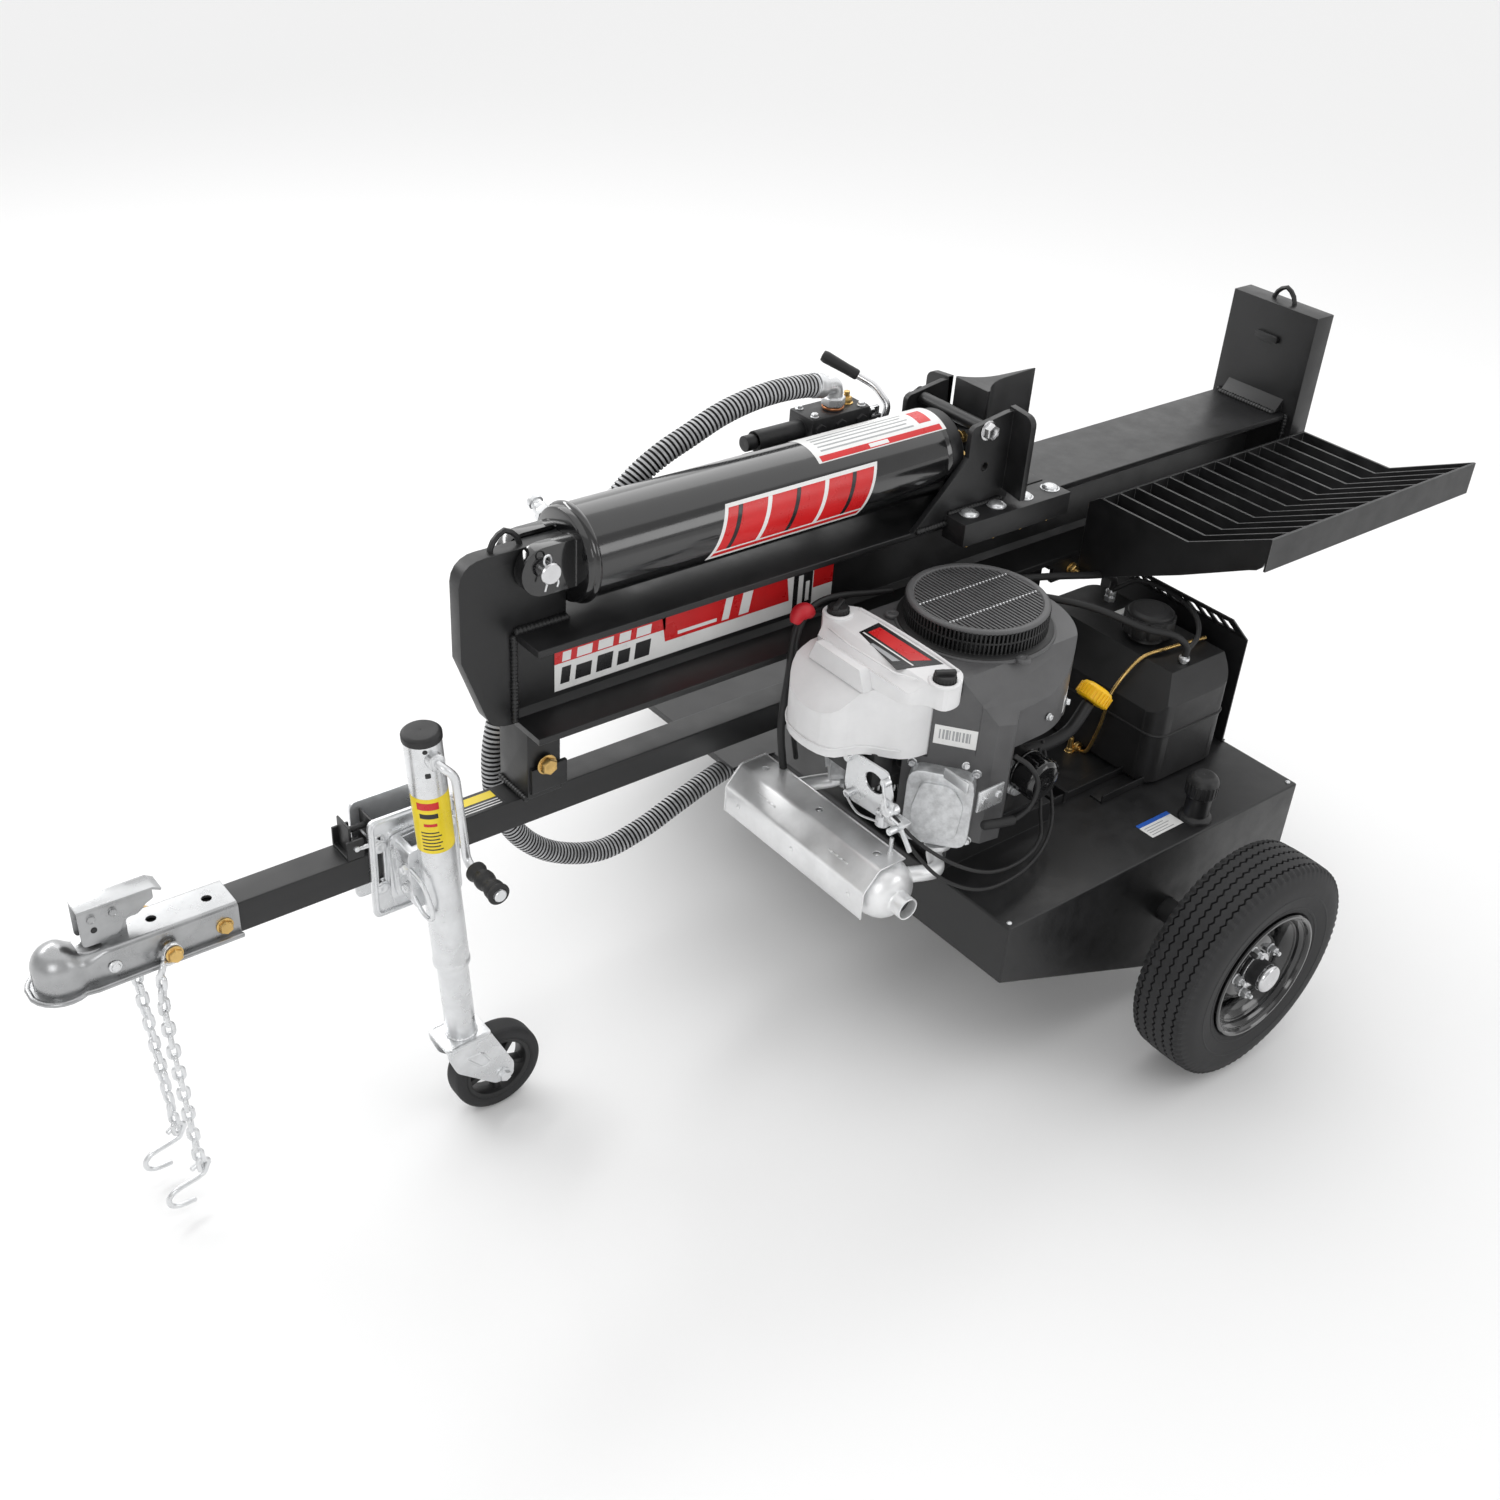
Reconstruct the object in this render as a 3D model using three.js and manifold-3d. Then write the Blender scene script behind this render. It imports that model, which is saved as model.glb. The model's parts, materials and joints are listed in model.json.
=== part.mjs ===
// Towable hydraulic log splitter: an H-beam with a fixed foot plate and a sliding wedge driven by
// a 5 inch cylinder, a V-twin engine and pump on a reservoir deck, two trailer wheels, a 2 inch
// tongue with a ball coupler and a swing-up jack, and a slatted log tray.
// Millimetres, +Z up, +X from the coupler towards the foot plate, -Y towards the engine side.
// Sizes below are given about the axle (x = 0); the finished group is moved along X so that its
// origin lies on the ground under the middle of its length.
import * as THREE from "three";
import { mergeVertices } from "three/addons/utils/BufferGeometryUtils.js";
import Module from "manifold-3d";

const wasm = await Module();
wasm.setup();

// ---------------------------------------------------------------- driving dimensions
const GAP = 0.3;
const BEAM = { front: -976, rear: 720, top: 795, depth: 159, width: 159, flange: 11, web: 8 };
const BEAM_BOTTOM = BEAM.top - BEAM.depth;
const FOOT = { thick: 50, halfWidth: 98, top: 990, bottom: 642 };
const ANCHOR = { front: -1062, rear: -887, top: 925, bottom: 640, thick: 26 };
const TONGUE = { size: 50.8, wall: 5, top: 511, front: -1560, rear: -60 };
const TONGUE_BOTTOM = TONGUE.top - TONGUE.size;
const COUPLER = { nose: -1705, rear: -1431, top: 518, bottom: 464, halfWidth: 32, wall: 4 };
const DECK = { front: -411, rear: 318, top: 346, halfWidth: 539, wall: 5 };
const AXLE = { radius: 22, sleeve: 29, spindle: 16 };
const WHEEL = { radius: 206, halfWidth: 60, y: 696, sides: 24, rim: 115 };
const AXLE_Z = WHEEL.radius * Math.cos(Math.PI / WHEEL.sides);
const BARREL = { z: 889, outer: 71.5, bore: 63.5, base: -887, head: -178, gland: -147 };
const PIN = { x: -938, z: 897 };
const ROD_RADIUS = 31;
const ROD_EYE = -104;
const PISTON = { front: -857, rear: -821 };
const WEDGE = { tip: 66, back: -86, top: 988, halfWidth: 38, blade: 7 };
const STRIPPER = { inner: 73, thick: 10, flangeOut: 125, base: 812 };
const ENGINE = { x: -268, y: -246, riser: 40, shroudTop: 325, screenTop: 372, headAngle: 0.66 };
const JACK = { x: -1154.5, y: -95, z: 485, lean: -0.0717, outer: 27, inner: 23.5, wheel: 76 };
const JACK_TOP = 256;
const JACK_TRAIL = 48;
const JACK_SIDES = 20;
const TRAY = { front: 172, rear: 757, inner: -104, bend: -301, outer: -456, top: 761, lip: 833 };
const MUFFLER = { x: -541, z: 385, radius: 49, near: -418, far: -48 };

// The jack wheel stands on the ground with one flat of its rim down.
const JACK_WHEEL_Z = JACK.wheel * Math.cos(Math.PI / JACK_SIDES);
const JACK_DROP =
  (JACK.z - JACK_WHEEL_Z - JACK_TRAIL * Math.sin(JACK.lean)) / Math.cos(JACK.lean);

// ---------------------------------------------------------------- materials
const finish = (color, roughness, metalness) =>
  new THREE.MeshStandardMaterial({ color, roughness, metalness });
const PAINT = finish(0x17181a, 0.45, 0.3);
const GLOSS = finish(0x0b0b0c, 0.15, 0.3);
const ZINC = finish(0xc3c7ca, 0.35, 0.9);
const YELLOW_ZINC = finish(0xc9a25a, 0.4, 0.85);
const STEEL = finish(0xb5b8bb, 0.3, 0.95);
const CHROME = finish(0xe4e6e8, 0.08, 1);
const IRON = finish(0x1d1e20, 0.6, 0.5);
const ALLOY = finish(0xa9adb0, 0.45, 0.9);
const ALUMINISED = finish(0xd3d6d8, 0.3, 0.85);
const RUBBER = finish(0x141414, 0.9, 0);
const DARK_PLASTIC = finish(0x2b2c2e, 0.6, 0);
const GREY_PLASTIC = finish(0xa7a9ab, 0.45, 0);
const BLACK_PLASTIC = finish(0x151515, 0.5, 0);
const YELLOW_PLASTIC = finish(0xf2c200, 0.4, 0);
const SPRING_GUARD = finish(0x8d9093, 0.5, 0.6);

// ---------------------------------------------------------------- solids
// A closed geometry as a manifold solid, turned to face outwards if it faces in.
function solid(geometry) {
  const source = geometry.index ? geometry.toNonIndexed() : geometry;
  const bare = new THREE.BufferGeometry();
  bare.setAttribute("position", source.getAttribute("position"));
  const merged = mergeVertices(bare, 1e-3);
  const faces = [];
  for (let i = 0; i < merged.index.count; i += 3) {
    const [a, b, c] = merged.index.array.slice(i, i + 3);
    if (a !== b && b !== c && c !== a) faces.push([a, b, c]);
  }
  const make = (list) =>
    new wasm.Manifold(
      new wasm.Mesh({
        numProp: 3,
        vertProperties: new Float32Array(merged.attributes.position.array),
        triVerts: new Uint32Array(list.flat()),
      }),
    );
  const made = make(faces);
  return made.volume() > 0 ? made : make(faces.map(([a, b, c]) => [a, c, b]));
}

function join(...solids) {
  return solids.reduce((whole, next) => whole.add(next));
}

function cut(body, ...tools) {
  return tools.reduce((left, tool) => left.subtract(tool), body);
}

function box(x0, x1, y0, y1, z0, z1) {
  const geometry = new THREE.BoxGeometry(x1 - x0, y1 - y0, z1 - z0);
  return solid(geometry.translate((x0 + x1) / 2, (y0 + y1) / 2, (z0 + z1) / 2));
}

// A box of given size, turned about Z and then moved.
function turnedBox(sx, sy, sz, angle, x, y, z) {
  return solid(new THREE.BoxGeometry(sx, sy, sz).rotateZ(angle).translate(x, y, z));
}

function outline(points) {
  if (!Array.isArray(points)) return points;
  return new THREE.Shape(points.map(([a, b]) => new THREE.Vector2(a, b)));
}

const SPIN = {
  x: new THREE.Matrix4().makeBasis(
    new THREE.Vector3(0, 1, 0), new THREE.Vector3(0, 0, 1), new THREE.Vector3(1, 0, 0)),
  y: new THREE.Matrix4().makeBasis(
    new THREE.Vector3(1, 0, 0), new THREE.Vector3(0, 0, 1), new THREE.Vector3(0, -1, 0)),
  z: new THREE.Matrix4(),
};

// An outline extruded between two stations on an axis. Outlines are (y, z) for axis x,
// (x, z) for axis y and (x, y) for axis z.
function prism(axis, points, from, to, curveSegments = 6) {
  const geometry = new THREE.ExtrudeGeometry(outline(points), {
    depth: to - from,
    bevelEnabled: false,
    curveSegments,
  });
  geometry.applyMatrix4(SPIN[axis]);
  if (axis === "x") geometry.translate(from, 0, 0);
  if (axis === "y") geometry.translate(0, to, 0);
  if (axis === "z") geometry.translate(0, 0, from);
  return solid(geometry);
}

// A round bar between two stations on an axis, centred at (a, b) in the other two coordinates.
function bar(axis, radius, from, to, a, b, sides = 12) {
  const geometry = new THREE.CylinderGeometry(radius, radius, to - from, sides);
  geometry.rotateY(Math.PI / sides);
  const middle = (from + to) / 2;
  if (axis === "x") geometry.rotateZ(-Math.PI / 2).translate(middle, a, b);
  if (axis === "y") geometry.translate(a, middle, b);
  if (axis === "z") geometry.rotateX(Math.PI / 2).translate(a, b, middle);
  return solid(geometry);
}

// A closed profile of (radius, station) points turned about an axis through the origin.
function turned(axis, profile, sides = 20) {
  const points = [...profile, profile[0]].map(([r, s]) => new THREE.Vector2(r, s));
  const geometry = new THREE.LatheGeometry(points, sides, Math.PI / sides);
  if (axis === "x") geometry.rotateZ(-Math.PI / 2);
  if (axis === "z") geometry.rotateX(Math.PI / 2);
  return solid(geometry);
}

// A round rod swept through points, smooth or straight between them.
function rod(points, radius, { sides = 6, steps = 16, smooth = true } = {}) {
  const corners = points.map(([x, y, z]) => new THREE.Vector3(x, y, z));
  const ring = new THREE.Shape();
  for (let i = 0; i < sides; i += 1) {
    const angle = (2 * Math.PI * i) / sides;
    const spot = [radius * Math.cos(angle), radius * Math.sin(angle)];
    if (i === 0) ring.moveTo(...spot);
    else ring.lineTo(...spot);
  }
  if (smooth) {
    const extrudePath = new THREE.CatmullRomCurve3(corners, false, "centripetal");
    return solid(new THREE.ExtrudeGeometry(ring, { steps, extrudePath, bevelEnabled: false }));
  }
  const legs = corners.slice(1).map((end, i) => {
    const extrudePath = new THREE.LineCurve3(corners[i], end);
    return solid(new THREE.ExtrudeGeometry(ring, { steps: 1, extrudePath, bevelEnabled: false }));
  });
  const knees = corners.slice(1, -1).map(({ x, y, z }) =>
    solid(new THREE.SphereGeometry(radius, sides, 4).translate(x, y, z)));
  return join(...legs, ...knees);
}

// A rectangle with rounded corners, as a shape.
function roundedRect(x0, x1, y0, y1, r) {
  const shape = new THREE.Shape();
  shape.moveTo(x0 + r, y0);
  shape.lineTo(x1 - r, y0);
  shape.absarc(x1 - r, y0 + r, r, -Math.PI / 2, 0);
  shape.lineTo(x1, y1 - r);
  shape.absarc(x1 - r, y1 - r, r, 0, Math.PI / 2);
  shape.lineTo(x0 + r, y1);
  shape.absarc(x0 + r, y1 - r, r, Math.PI / 2, Math.PI);
  shape.lineTo(x0, y0 + r);
  shape.absarc(x0 + r, y0 + r, r, Math.PI, 1.5 * Math.PI);
  return shape;
}

function mesh(name, body, material) {
  const { vertProperties, triVerts } = body.getMesh();
  const geometry = new THREE.BufferGeometry();
  geometry.setAttribute("position", new THREE.BufferAttribute(vertProperties, 3));
  geometry.setIndex(new THREE.BufferAttribute(triVerts, 1));
  geometry.computeVertexNormals();
  const made = new THREE.Mesh(geometry, material);
  made.name = name;
  return made;
}

function group(x, y, z, ...children) {
  const made = new THREE.Group();
  made.position.set(x, y, z);
  made.add(...children.flat());
  return made;
}

// ---------------------------------------------------------------- frame
function beam() {
  const half = BEAM.width / 2;
  const low = BEAM_BOTTOM + BEAM.flange;
  const high = BEAM.top - BEAM.flange;
  const web = BEAM.web / 2;
  const fillet = 9;
  const right = [
    [half, BEAM_BOTTOM], [half, low], [web + fillet, low], [web, low + fillet],
    [web, high - fillet], [web + fillet, high], [half, high], [half, BEAM.top],
  ];
  const left = right.map(([y, z]) => [-y, z]).reverse();
  const body = prism("x", [...right, ...left], BEAM.front, BEAM.rear);
  return mesh("beam", body, PAINT);
}

// A bent-rod lifting loop standing on a plate, its feet along axis x or y.
function liftingLoop(axis, x, y, z, height) {
  const spread = 24;
  const foot = (s) => (axis === "x" ? [x + s, y] : [x, y + s]);
  return rod([
    [...foot(-spread), z - 8], [...foot(-spread * 0.9), z + height * 0.35],
    [...foot(0), z + height], [...foot(spread * 0.9), z + height * 0.35], [...foot(spread), z - 8],
  ], 4.5, { steps: 8 });
}

function anchorPlate() {
  const { front, rear, top, bottom, thick } = ANCHOR;
  const shape = new THREE.Shape();
  shape.moveTo(rear, BEAM.top + GAP);
  shape.lineTo(rear, top);
  shape.lineTo(front + 44, top);
  shape.quadraticCurveTo(front + 4, top, front, top - 36);
  shape.lineTo(front, 769);
  shape.lineTo(front + 37, 668);
  shape.quadraticCurveTo(front + 46, bottom + 2, BEAM.front - 8, bottom);
  shape.lineTo(BEAM.front - GAP, bottom);
  shape.lineTo(BEAM.front - GAP, BEAM.top + GAP);
  const plate = prism("y", shape, -thick / 2, thick / 2, 5);
  const hole = bar("y", 14, -20, 20, PIN.x, PIN.z, 16);
  const loop = liftingLoop("x", -980, 0, top, 27);
  return mesh("anchor_plate", join(cut(plate, hole), loop), PAINT);
}

function footPlate() {
  const { thick, halfWidth, top, bottom } = FOOT;
  const front = BEAM.rear + GAP;
  const plate = box(front, front + thick, -halfWidth, halfWidth, bottom, top);
  const fillet = prism("y",
    [[front + 1, BEAM.top + GAP], [front + 1, BEAM.top + 26], [front - 22, BEAM.top + GAP]],
    -66, 66);
  const loop = liftingLoop("y", front + 26, 0, top, 27);
  return mesh("foot_plate", join(plate, fillet, loop), PAINT);
}

// Channel post that carries the front of the beam on the tongue, with flared saddle plates.
function beamPost() {
  const low = TONGUE.top + GAP;
  const high = BEAM_BOTTOM - GAP;
  const channel = cut(
    box(-972, -915, -40, 40, low + 4, high),
    box(-966, -900, -34, 34, low - 1, high - 8),
  );
  const saddle = [-1, 1].map((side) =>
    prism("x", [
      [side * 26, low], [side * 46, low + 16], [side * 46, low + 58],
      [side * 39, low + 58], [side * 39, low + 20], [side * 26, low + 8],
    ], -968, -906));
  const seat = box(-972, -905, -30, 30, low, low + 8);
  const bore = bar("y", 8.3, -60, 60, -943, 574, 12);
  return mesh("beam_post", cut(join(channel, seat, ...saddle), bore), PAINT);
}

// Hexagon-headed bolt along Y with a nut at its far end.
function crossBolt(name, x, z, near, far, radius, material) {
  const head = bar("y", radius * 1.8, near - radius * 1.2, near, x, z, 6);
  const shank = bar("y", radius, near - 1, far + 1, x, z, 12);
  const nut = bar("y", radius * 1.8, far, far + radius * 1.5, x, z, 6);
  return mesh(name, join(head, shank, nut), material);
}

function rearRiser() {
  const high = BEAM_BOTTOM - GAP;
  const tower = cut(
    box(-60, 115, -48, 48, DECK.top + GAP, high),
    box(-54, 109, -42, 42, DECK.top + 8, high - 8),
    box(-40, 95, -60, 60, DECK.top + 60, high - 60),
  );
  const ears = [-1, 1].map((side) => {
    const y0 = side > 0 ? 68 : -76;
    return box(112, 182, y0, y0 + 8, 596, high);
  });
  const shelf = box(100, 182, -76, 76, 626, high);
  const hole = bar("y", 6.3, -90, 90, 160, 612, 10);
  return mesh("rear_riser", cut(join(tower, shelf, ...ears), hole), PAINT);
}

function tongueTube() {
  const half = TONGUE.size / 2;
  const inner = half - TONGUE.wall;
  const tube = cut(
    box(TONGUE.front, TONGUE.rear - GAP, -half, half, TONGUE_BOTTOM, TONGUE.top),
    box(TONGUE.front - 1, TONGUE.rear + 1, -inner, inner,
      TONGUE_BOTTOM + TONGUE.wall, TONGUE.top - TONGUE.wall),
  );
  const clip = cut(
    box(-1254, -1215, -16, 22, TONGUE.top - 1, TONGUE.top + 50),
    box(-1250, -1219, -20, 30, TONGUE.top + 4, TONGUE.top + 60),
  );
  const pin = bar("x", 5, -1253, -1216, 2, TONGUE.top + 34, 10);
  const holes = [-1532, -1453].map((x) => bar("y", 6.6, -40, 40, x, 488, 12));
  return mesh("tongue_tube", cut(join(tube, clip, pin), ...holes), PAINT);
}

// ---------------------------------------------------------------- coupler and safety chains
function couplerBody() {
  const { nose, rear, top, bottom, halfWidth, wall } = COUPLER;
  const socketX = nose + 36;
  const channel = box(socketX, rear, -halfWidth, halfWidth, bottom, top);
  const dome = solid(new THREE.SphereGeometry(33, 16, 10).scale(1, 1, 1.06)
    .translate(socketX, 0, bottom + 34));
  const skirt = bar("z", 31, bottom, bottom + 34, socketX, 0, 16);
  const lip = prism("z", [
    [rear, -halfWidth - 5], [socketX + 20, -halfWidth - 5], [socketX, -36], [nose + 12, -28],
    [nose, -10], [nose, 10], [nose + 12, 28], [socketX, 36], [socketX + 20, halfWidth + 5],
    [rear, halfWidth + 5],
  ], bottom, bottom + wall);
  const inside = box(socketX, rear + 1, -halfWidth + wall, halfWidth - wall, bottom - 1, top - wall);
  const tubeRoom = TONGUE.size / 2 + GAP;
  const tubeSlot = box(TONGUE.front - GAP, rear + 1, -tubeRoom, tubeRoom, bottom - 1,
    TONGUE.top + GAP);
  const ball = solid(new THREE.SphereGeometry(26, 12, 8).translate(socketX, 0, bottom + 26));
  const mouth = bar("z", 26, bottom - 1, bottom + 26, socketX, 0, 12);
  const belowFloor = box(nose - 5, rear + 5, -50, 50, bottom - 60, bottom);
  const holes = [-1532, -1453].map((x) => bar("y", 6.6, -60, 60, x, 488, 12));
  const topHoles = [-1541, -1462].map((x) => bar("z", 6, top - 10, top + 5, x, 0, 12));
  const ears = [-1, 1].map((side) => {
    const y0 = side > 0 ? 9.5 : -12.5;
    return box(-1632, -1600, y0, y0 + 3, top - 1, top + 32);
  });
  const pivot = bar("y", 4.7, -30, 30, -1620, top + 22, 12);
  const body = cut(join(channel, dome, skirt, lip, ...ears),
    inside, tubeSlot, ball, mouth, belowFloor, ...holes, ...topHoles, pivot);
  return mesh("coupler_body", body, ZINC);
}

// Folded latch handle that turns on a pin between the coupler's ears.
function couplerLatch() {
  const z = COUPLER.top;
  const side = [
    [-1636, z + 18], [-1604, z + 3], [-1584, z + 12], [-1572, z + 27], [-1556, z + 31],
    [-1538, z + 46], [-1543, z + 62], [-1637, z + 62],
  ];
  const folded = prism("y", side, -9, 9);
  const hollow = prism("y", side.map(([x, h]) => [x, h - 4]), -6, 6);
  const pin = bar("y", 4.2, -16, 16, -1620, z + 22, 12);
  return mesh("coupler_latch", join(cut(folded, hollow), pin), ZINC);
}

function hook(x, y, z) {
  return rod([
    [x, y, z], [x + 4, y, z - 18], [x - 22, y, z - 26], [x - 48, y, z - 34],
    [x - 54, y, z - 50], [x - 44, y, z - 62], [x - 16, y, z - 64],
  ], 4, { sides: 5, steps: 9 });
}

// A hanging chain as one rounded strand with its bolt eye and end hook.
function chain(name, side) {
  const y = side * 44;
  const bolt = -1532;
  const eye = cut(
    bar("y", 14, y - 4, y + 4, bolt, 488, 16),
    bar("y", 7.2, y - 6, y + 6, bolt, 488, 12));
  const strand = rod([
    [bolt - 8, y, 480], [bolt - 26, y, 470], [bolt - 25, y, 380], [bolt - 20, y, 280],
    [bolt - 10, y, 78],
  ], 6, { sides: 6, steps: 7 });
  return mesh(name, join(eye, strand, hook(bolt - 10, y, 84)), ZINC);
}

// ---------------------------------------------------------------- swing-up jack
function jackMount() {
  const side = TONGUE.size / 2 + GAP;
  const plate = (y0, y1) => prism("y", roundedRect(-1231, -1086, 396, 570, 12), y0, y1, 2);
  const clamps = [-1208, -1110].flatMap((x) =>
    [TONGUE_BOTTOM - 12, TONGUE.top + 12].map((z) => bar("y", 5.5, -side - 10, side + 10, x, z, 8)));
  const boss = bar("y", 34, -35, -side - 1, JACK.x, JACK.z, 16);
  const plates = [plate(-side - 5, -side), plate(side, side + 5)];
  return mesh("jack_mount", join(...plates, boss, ...clamps), ZINC);
}

function jackOuterTube() {
  const z0 = -166;
  const tube = join(
    bar("z", JACK.outer, z0, JACK_TOP - 10, 0, 0, 20),
    prism("y", roundedRect(-46, 46, -58, 58, 14), 54.3, 59.3, 2),
    prism("y", roundedRect(-40, 40, -58, 58, 12), 16, 55, 1),
    bar("y", 14, -38, 0, 0, 225, 16),
  );
  const hollow = cut(tube, bar("z", JACK.inner + 0.8, z0 - 1, JACK_TOP - 5, 0, 0, 20),
    box(-26, 26, 28, 53, -80, 80), bar("y", 9, -40, -10, 0, 225, 12));
  return mesh("jack_outer_tube", hollow, ZINC);
}

function jackCap() {
  const profile = [[0, JACK_TOP - 9.5], [JACK.outer + 1.5, JACK_TOP - 9.5],
    [JACK.outer + 1.5, JACK_TOP], [JACK.outer - 3, JACK_TOP + 3.5], [0, JACK_TOP + 3.5]];
  return mesh("jack_cap", turned("z", profile, 20), BLACK_PLASTIC);
}

function jackInnerTube() {
  const tube = cut(bar("z", JACK.inner, -312, 72, 0, 0, 20),
    bar("z", JACK.inner - 4, -313, 73, 0, 0, 16));
  return mesh("jack_inner_tube", tube, ZINC);
}

// Castor fork: a top plate under the tube and two cheeks that reach back to the wheel axle.
function jackFork() {
  const top = -312 - GAP;
  const cheek = [
    [-38, top], [30, top], [38, top - 22], [JACK_TRAIL + 20, -JACK_DROP + 12],
    [JACK_TRAIL + 14, -JACK_DROP - 14], [JACK_TRAIL - 16, -JACK_DROP - 10], [-30, top - 50],
    [-38, top - 14],
  ];
  const cheeks = [-1, 1].map((side) => {
    const y0 = side > 0 ? 27 : -31;
    return prism("y", cheek, y0, y0 + 4);
  });
  const bridge = box(-38, 30, -31, 31, top - 5, top);
  const axle = bar("y", 6, -34, 34, JACK_TRAIL, -JACK_DROP, 12);
  const nut = bar("y", 11, -40, -30, JACK_TRAIL, -JACK_DROP, 6);
  const stem = bar("z", JACK.inner - 5.5, top - 1, -292, 0, 0, 16);
  return mesh("jack_fork", join(...cheeks, bridge, axle, nut, stem), ZINC);
}

function jackWheel() {
  const r = JACK.wheel;
  const profile = [
    [6.4, -22], [17, -22], [17, -10], [r - 22, -10], [r - 20, -18], [r - 6, -20], [r, -14],
    [r, 14], [r - 6, 20], [r - 20, 18], [r - 22, 10], [17, 10], [17, 22], [6.4, 22],
  ];
  return mesh("jack_wheel", turned("y", profile, JACK_SIDES), RUBBER);
}

function jackCrankArm() {
  const arm = rod([[0, -12, 225], [0, -47, 225], [16, -52, 205], [18, -52, 60], [18, -66, 52]],
    8, { sides: 6, smooth: false });
  const pin = bar("y", 5, -142, -60, 18, 52, 10);
  const stop = bar("y", 9, -146, -142, 18, 52, 12);
  return mesh("jack_crank_arm", join(arm, pin, stop), ZINC);
}

function jackCrankGrip() {
  const profile = [[5.3, -141], [16, -141], [17, -132], [13, -122], [15, -105], [12.5, -90],
    [14, -78], [5.3, -75]];
  const body = turned("y", profile, 16);
  const made = mesh("jack_crank_grip", body, RUBBER);
  made.position.set(18, 0, 52);
  return made;
}

function jack() {
  const castor = group(JACK_TRAIL, 0, -JACK_DROP, jackWheel());
  castor.rotation.y = -JACK.lean;
  const made = group(JACK.x, JACK.y, JACK.z, jackOuterTube(), jackCap(), jackInnerTube(),
    jackFork(), jackCrankArm(), jackCrankGrip(), castor);
  made.rotation.y = JACK.lean;
  return made;
}

// ---------------------------------------------------------------- reservoir deck, axle and wheels
const WELL = { x0: ENGINE.x - 72, x1: ENGINE.x + 72, y0: ENGINE.y - 72, y1: ENGINE.y + 72 };
const FILLER = { x: 78, y: -503 };

function hull(inset) {
  const { front, rear, top } = DECK;
  return [
    [front + inset, top - inset], [front + inset, 235 + inset], [-8 + inset / 2, 75 + inset],
    [45 - inset / 2, 75 + inset], [rear - inset, 203 + inset], [rear - inset, top - inset],
  ];
}

// Hollow reservoir with a well for the pump, a sleeve for the axle and an open filler neck.
function oilTank() {
  const half = DECK.halfWidth;
  const wall = DECK.wall;
  const shell = cut(prism("y", hull(0), -half, half),
    prism("y", hull(wall), -half + wall, half - wall));
  const { x0, x1, y0, y1 } = WELL;
  const wellWall = cut(box(x0 - wall, x1 + wall, y0 - wall, y1 + wall, 60, DECK.top - 1),
    prism("y", [[-411, 60], [-411, 235], [-8, 75], [-8, 60]], -half, half));
  const sleeve = bar("y", AXLE.sleeve, -half + 1, half - 1, 0, AXLE_Z, 16);
  const neck = bar("z", 19, DECK.top - 2, DECK.top + 54, FILLER.x, FILLER.y, 20);
  const shelf = box(-500, DECK.front + 1, 50, 291, DECK.top - 6, DECK.top);
  const pedestal = cut(
    box(ENGINE.x - 122, ENGINE.x + 122, ENGINE.y - 122, ENGINE.y + 122, DECK.top - 1,
      DECK.top + ENGINE.riser),
    box(ENGINE.x - 100, ENGINE.x + 100, ENGINE.y - 100, ENGINE.y + 100, DECK.top, DECK.top + 60),
    box(ENGINE.x - 14, ENGINE.x + 14, ENGINE.y + 90, ENGINE.y + 130, DECK.top + 3, DECK.top + 30));
  const rails = [150, 184].map((x) =>
    box(ENGINE.x + x, ENGINE.x + x + 6, ENGINE.y - 100, ENGINE.y + 60, DECK.top - 1, DECK.top + 22));
  const body = cut(join(shell, wellWall, sleeve, neck, shelf, pedestal, ...rails),
    box(x0, x1, y0, y1, 40, DECK.top + 5),
    bar("y", AXLE.radius + 1, -half - 5, half + 5, 0, AXLE_Z, 16),
    bar("z", 15, DECK.top - 20, DECK.top + 60, FILLER.x, FILLER.y, 20));
  return mesh("oil_tank", body, PAINT);
}

function reservoirCap() {
  const low = DECK.top + 48;
  const profile = [[19.4, low], [27, low], [29, low + 3], [29, low + 38], [26, low + 42],
    [0, low + 42], [0, low + 7], [19.4, low + 7]];
  const body = turned("z", profile, 16);
  const made = mesh("reservoir_cap", body, BLACK_PLASTIC);
  made.position.set(FILLER.x, FILLER.y, 0);
  return made;
}

function axle() {
  const end = WHEEL.y - WHEEL.halfWidth - 8;
  const profile = [[0, -end - 106], [AXLE.spindle, -end - 106], [AXLE.spindle, -end - 14],
    [AXLE.radius, -end], [AXLE.radius, end], [AXLE.spindle, end + 14], [AXLE.spindle, end + 106],
    [0, end + 106]];
  const made = mesh("axle", turned("y", profile, 16), PAINT);
  made.position.set(0, 0, AXLE_Z);
  return made;
}

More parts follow.
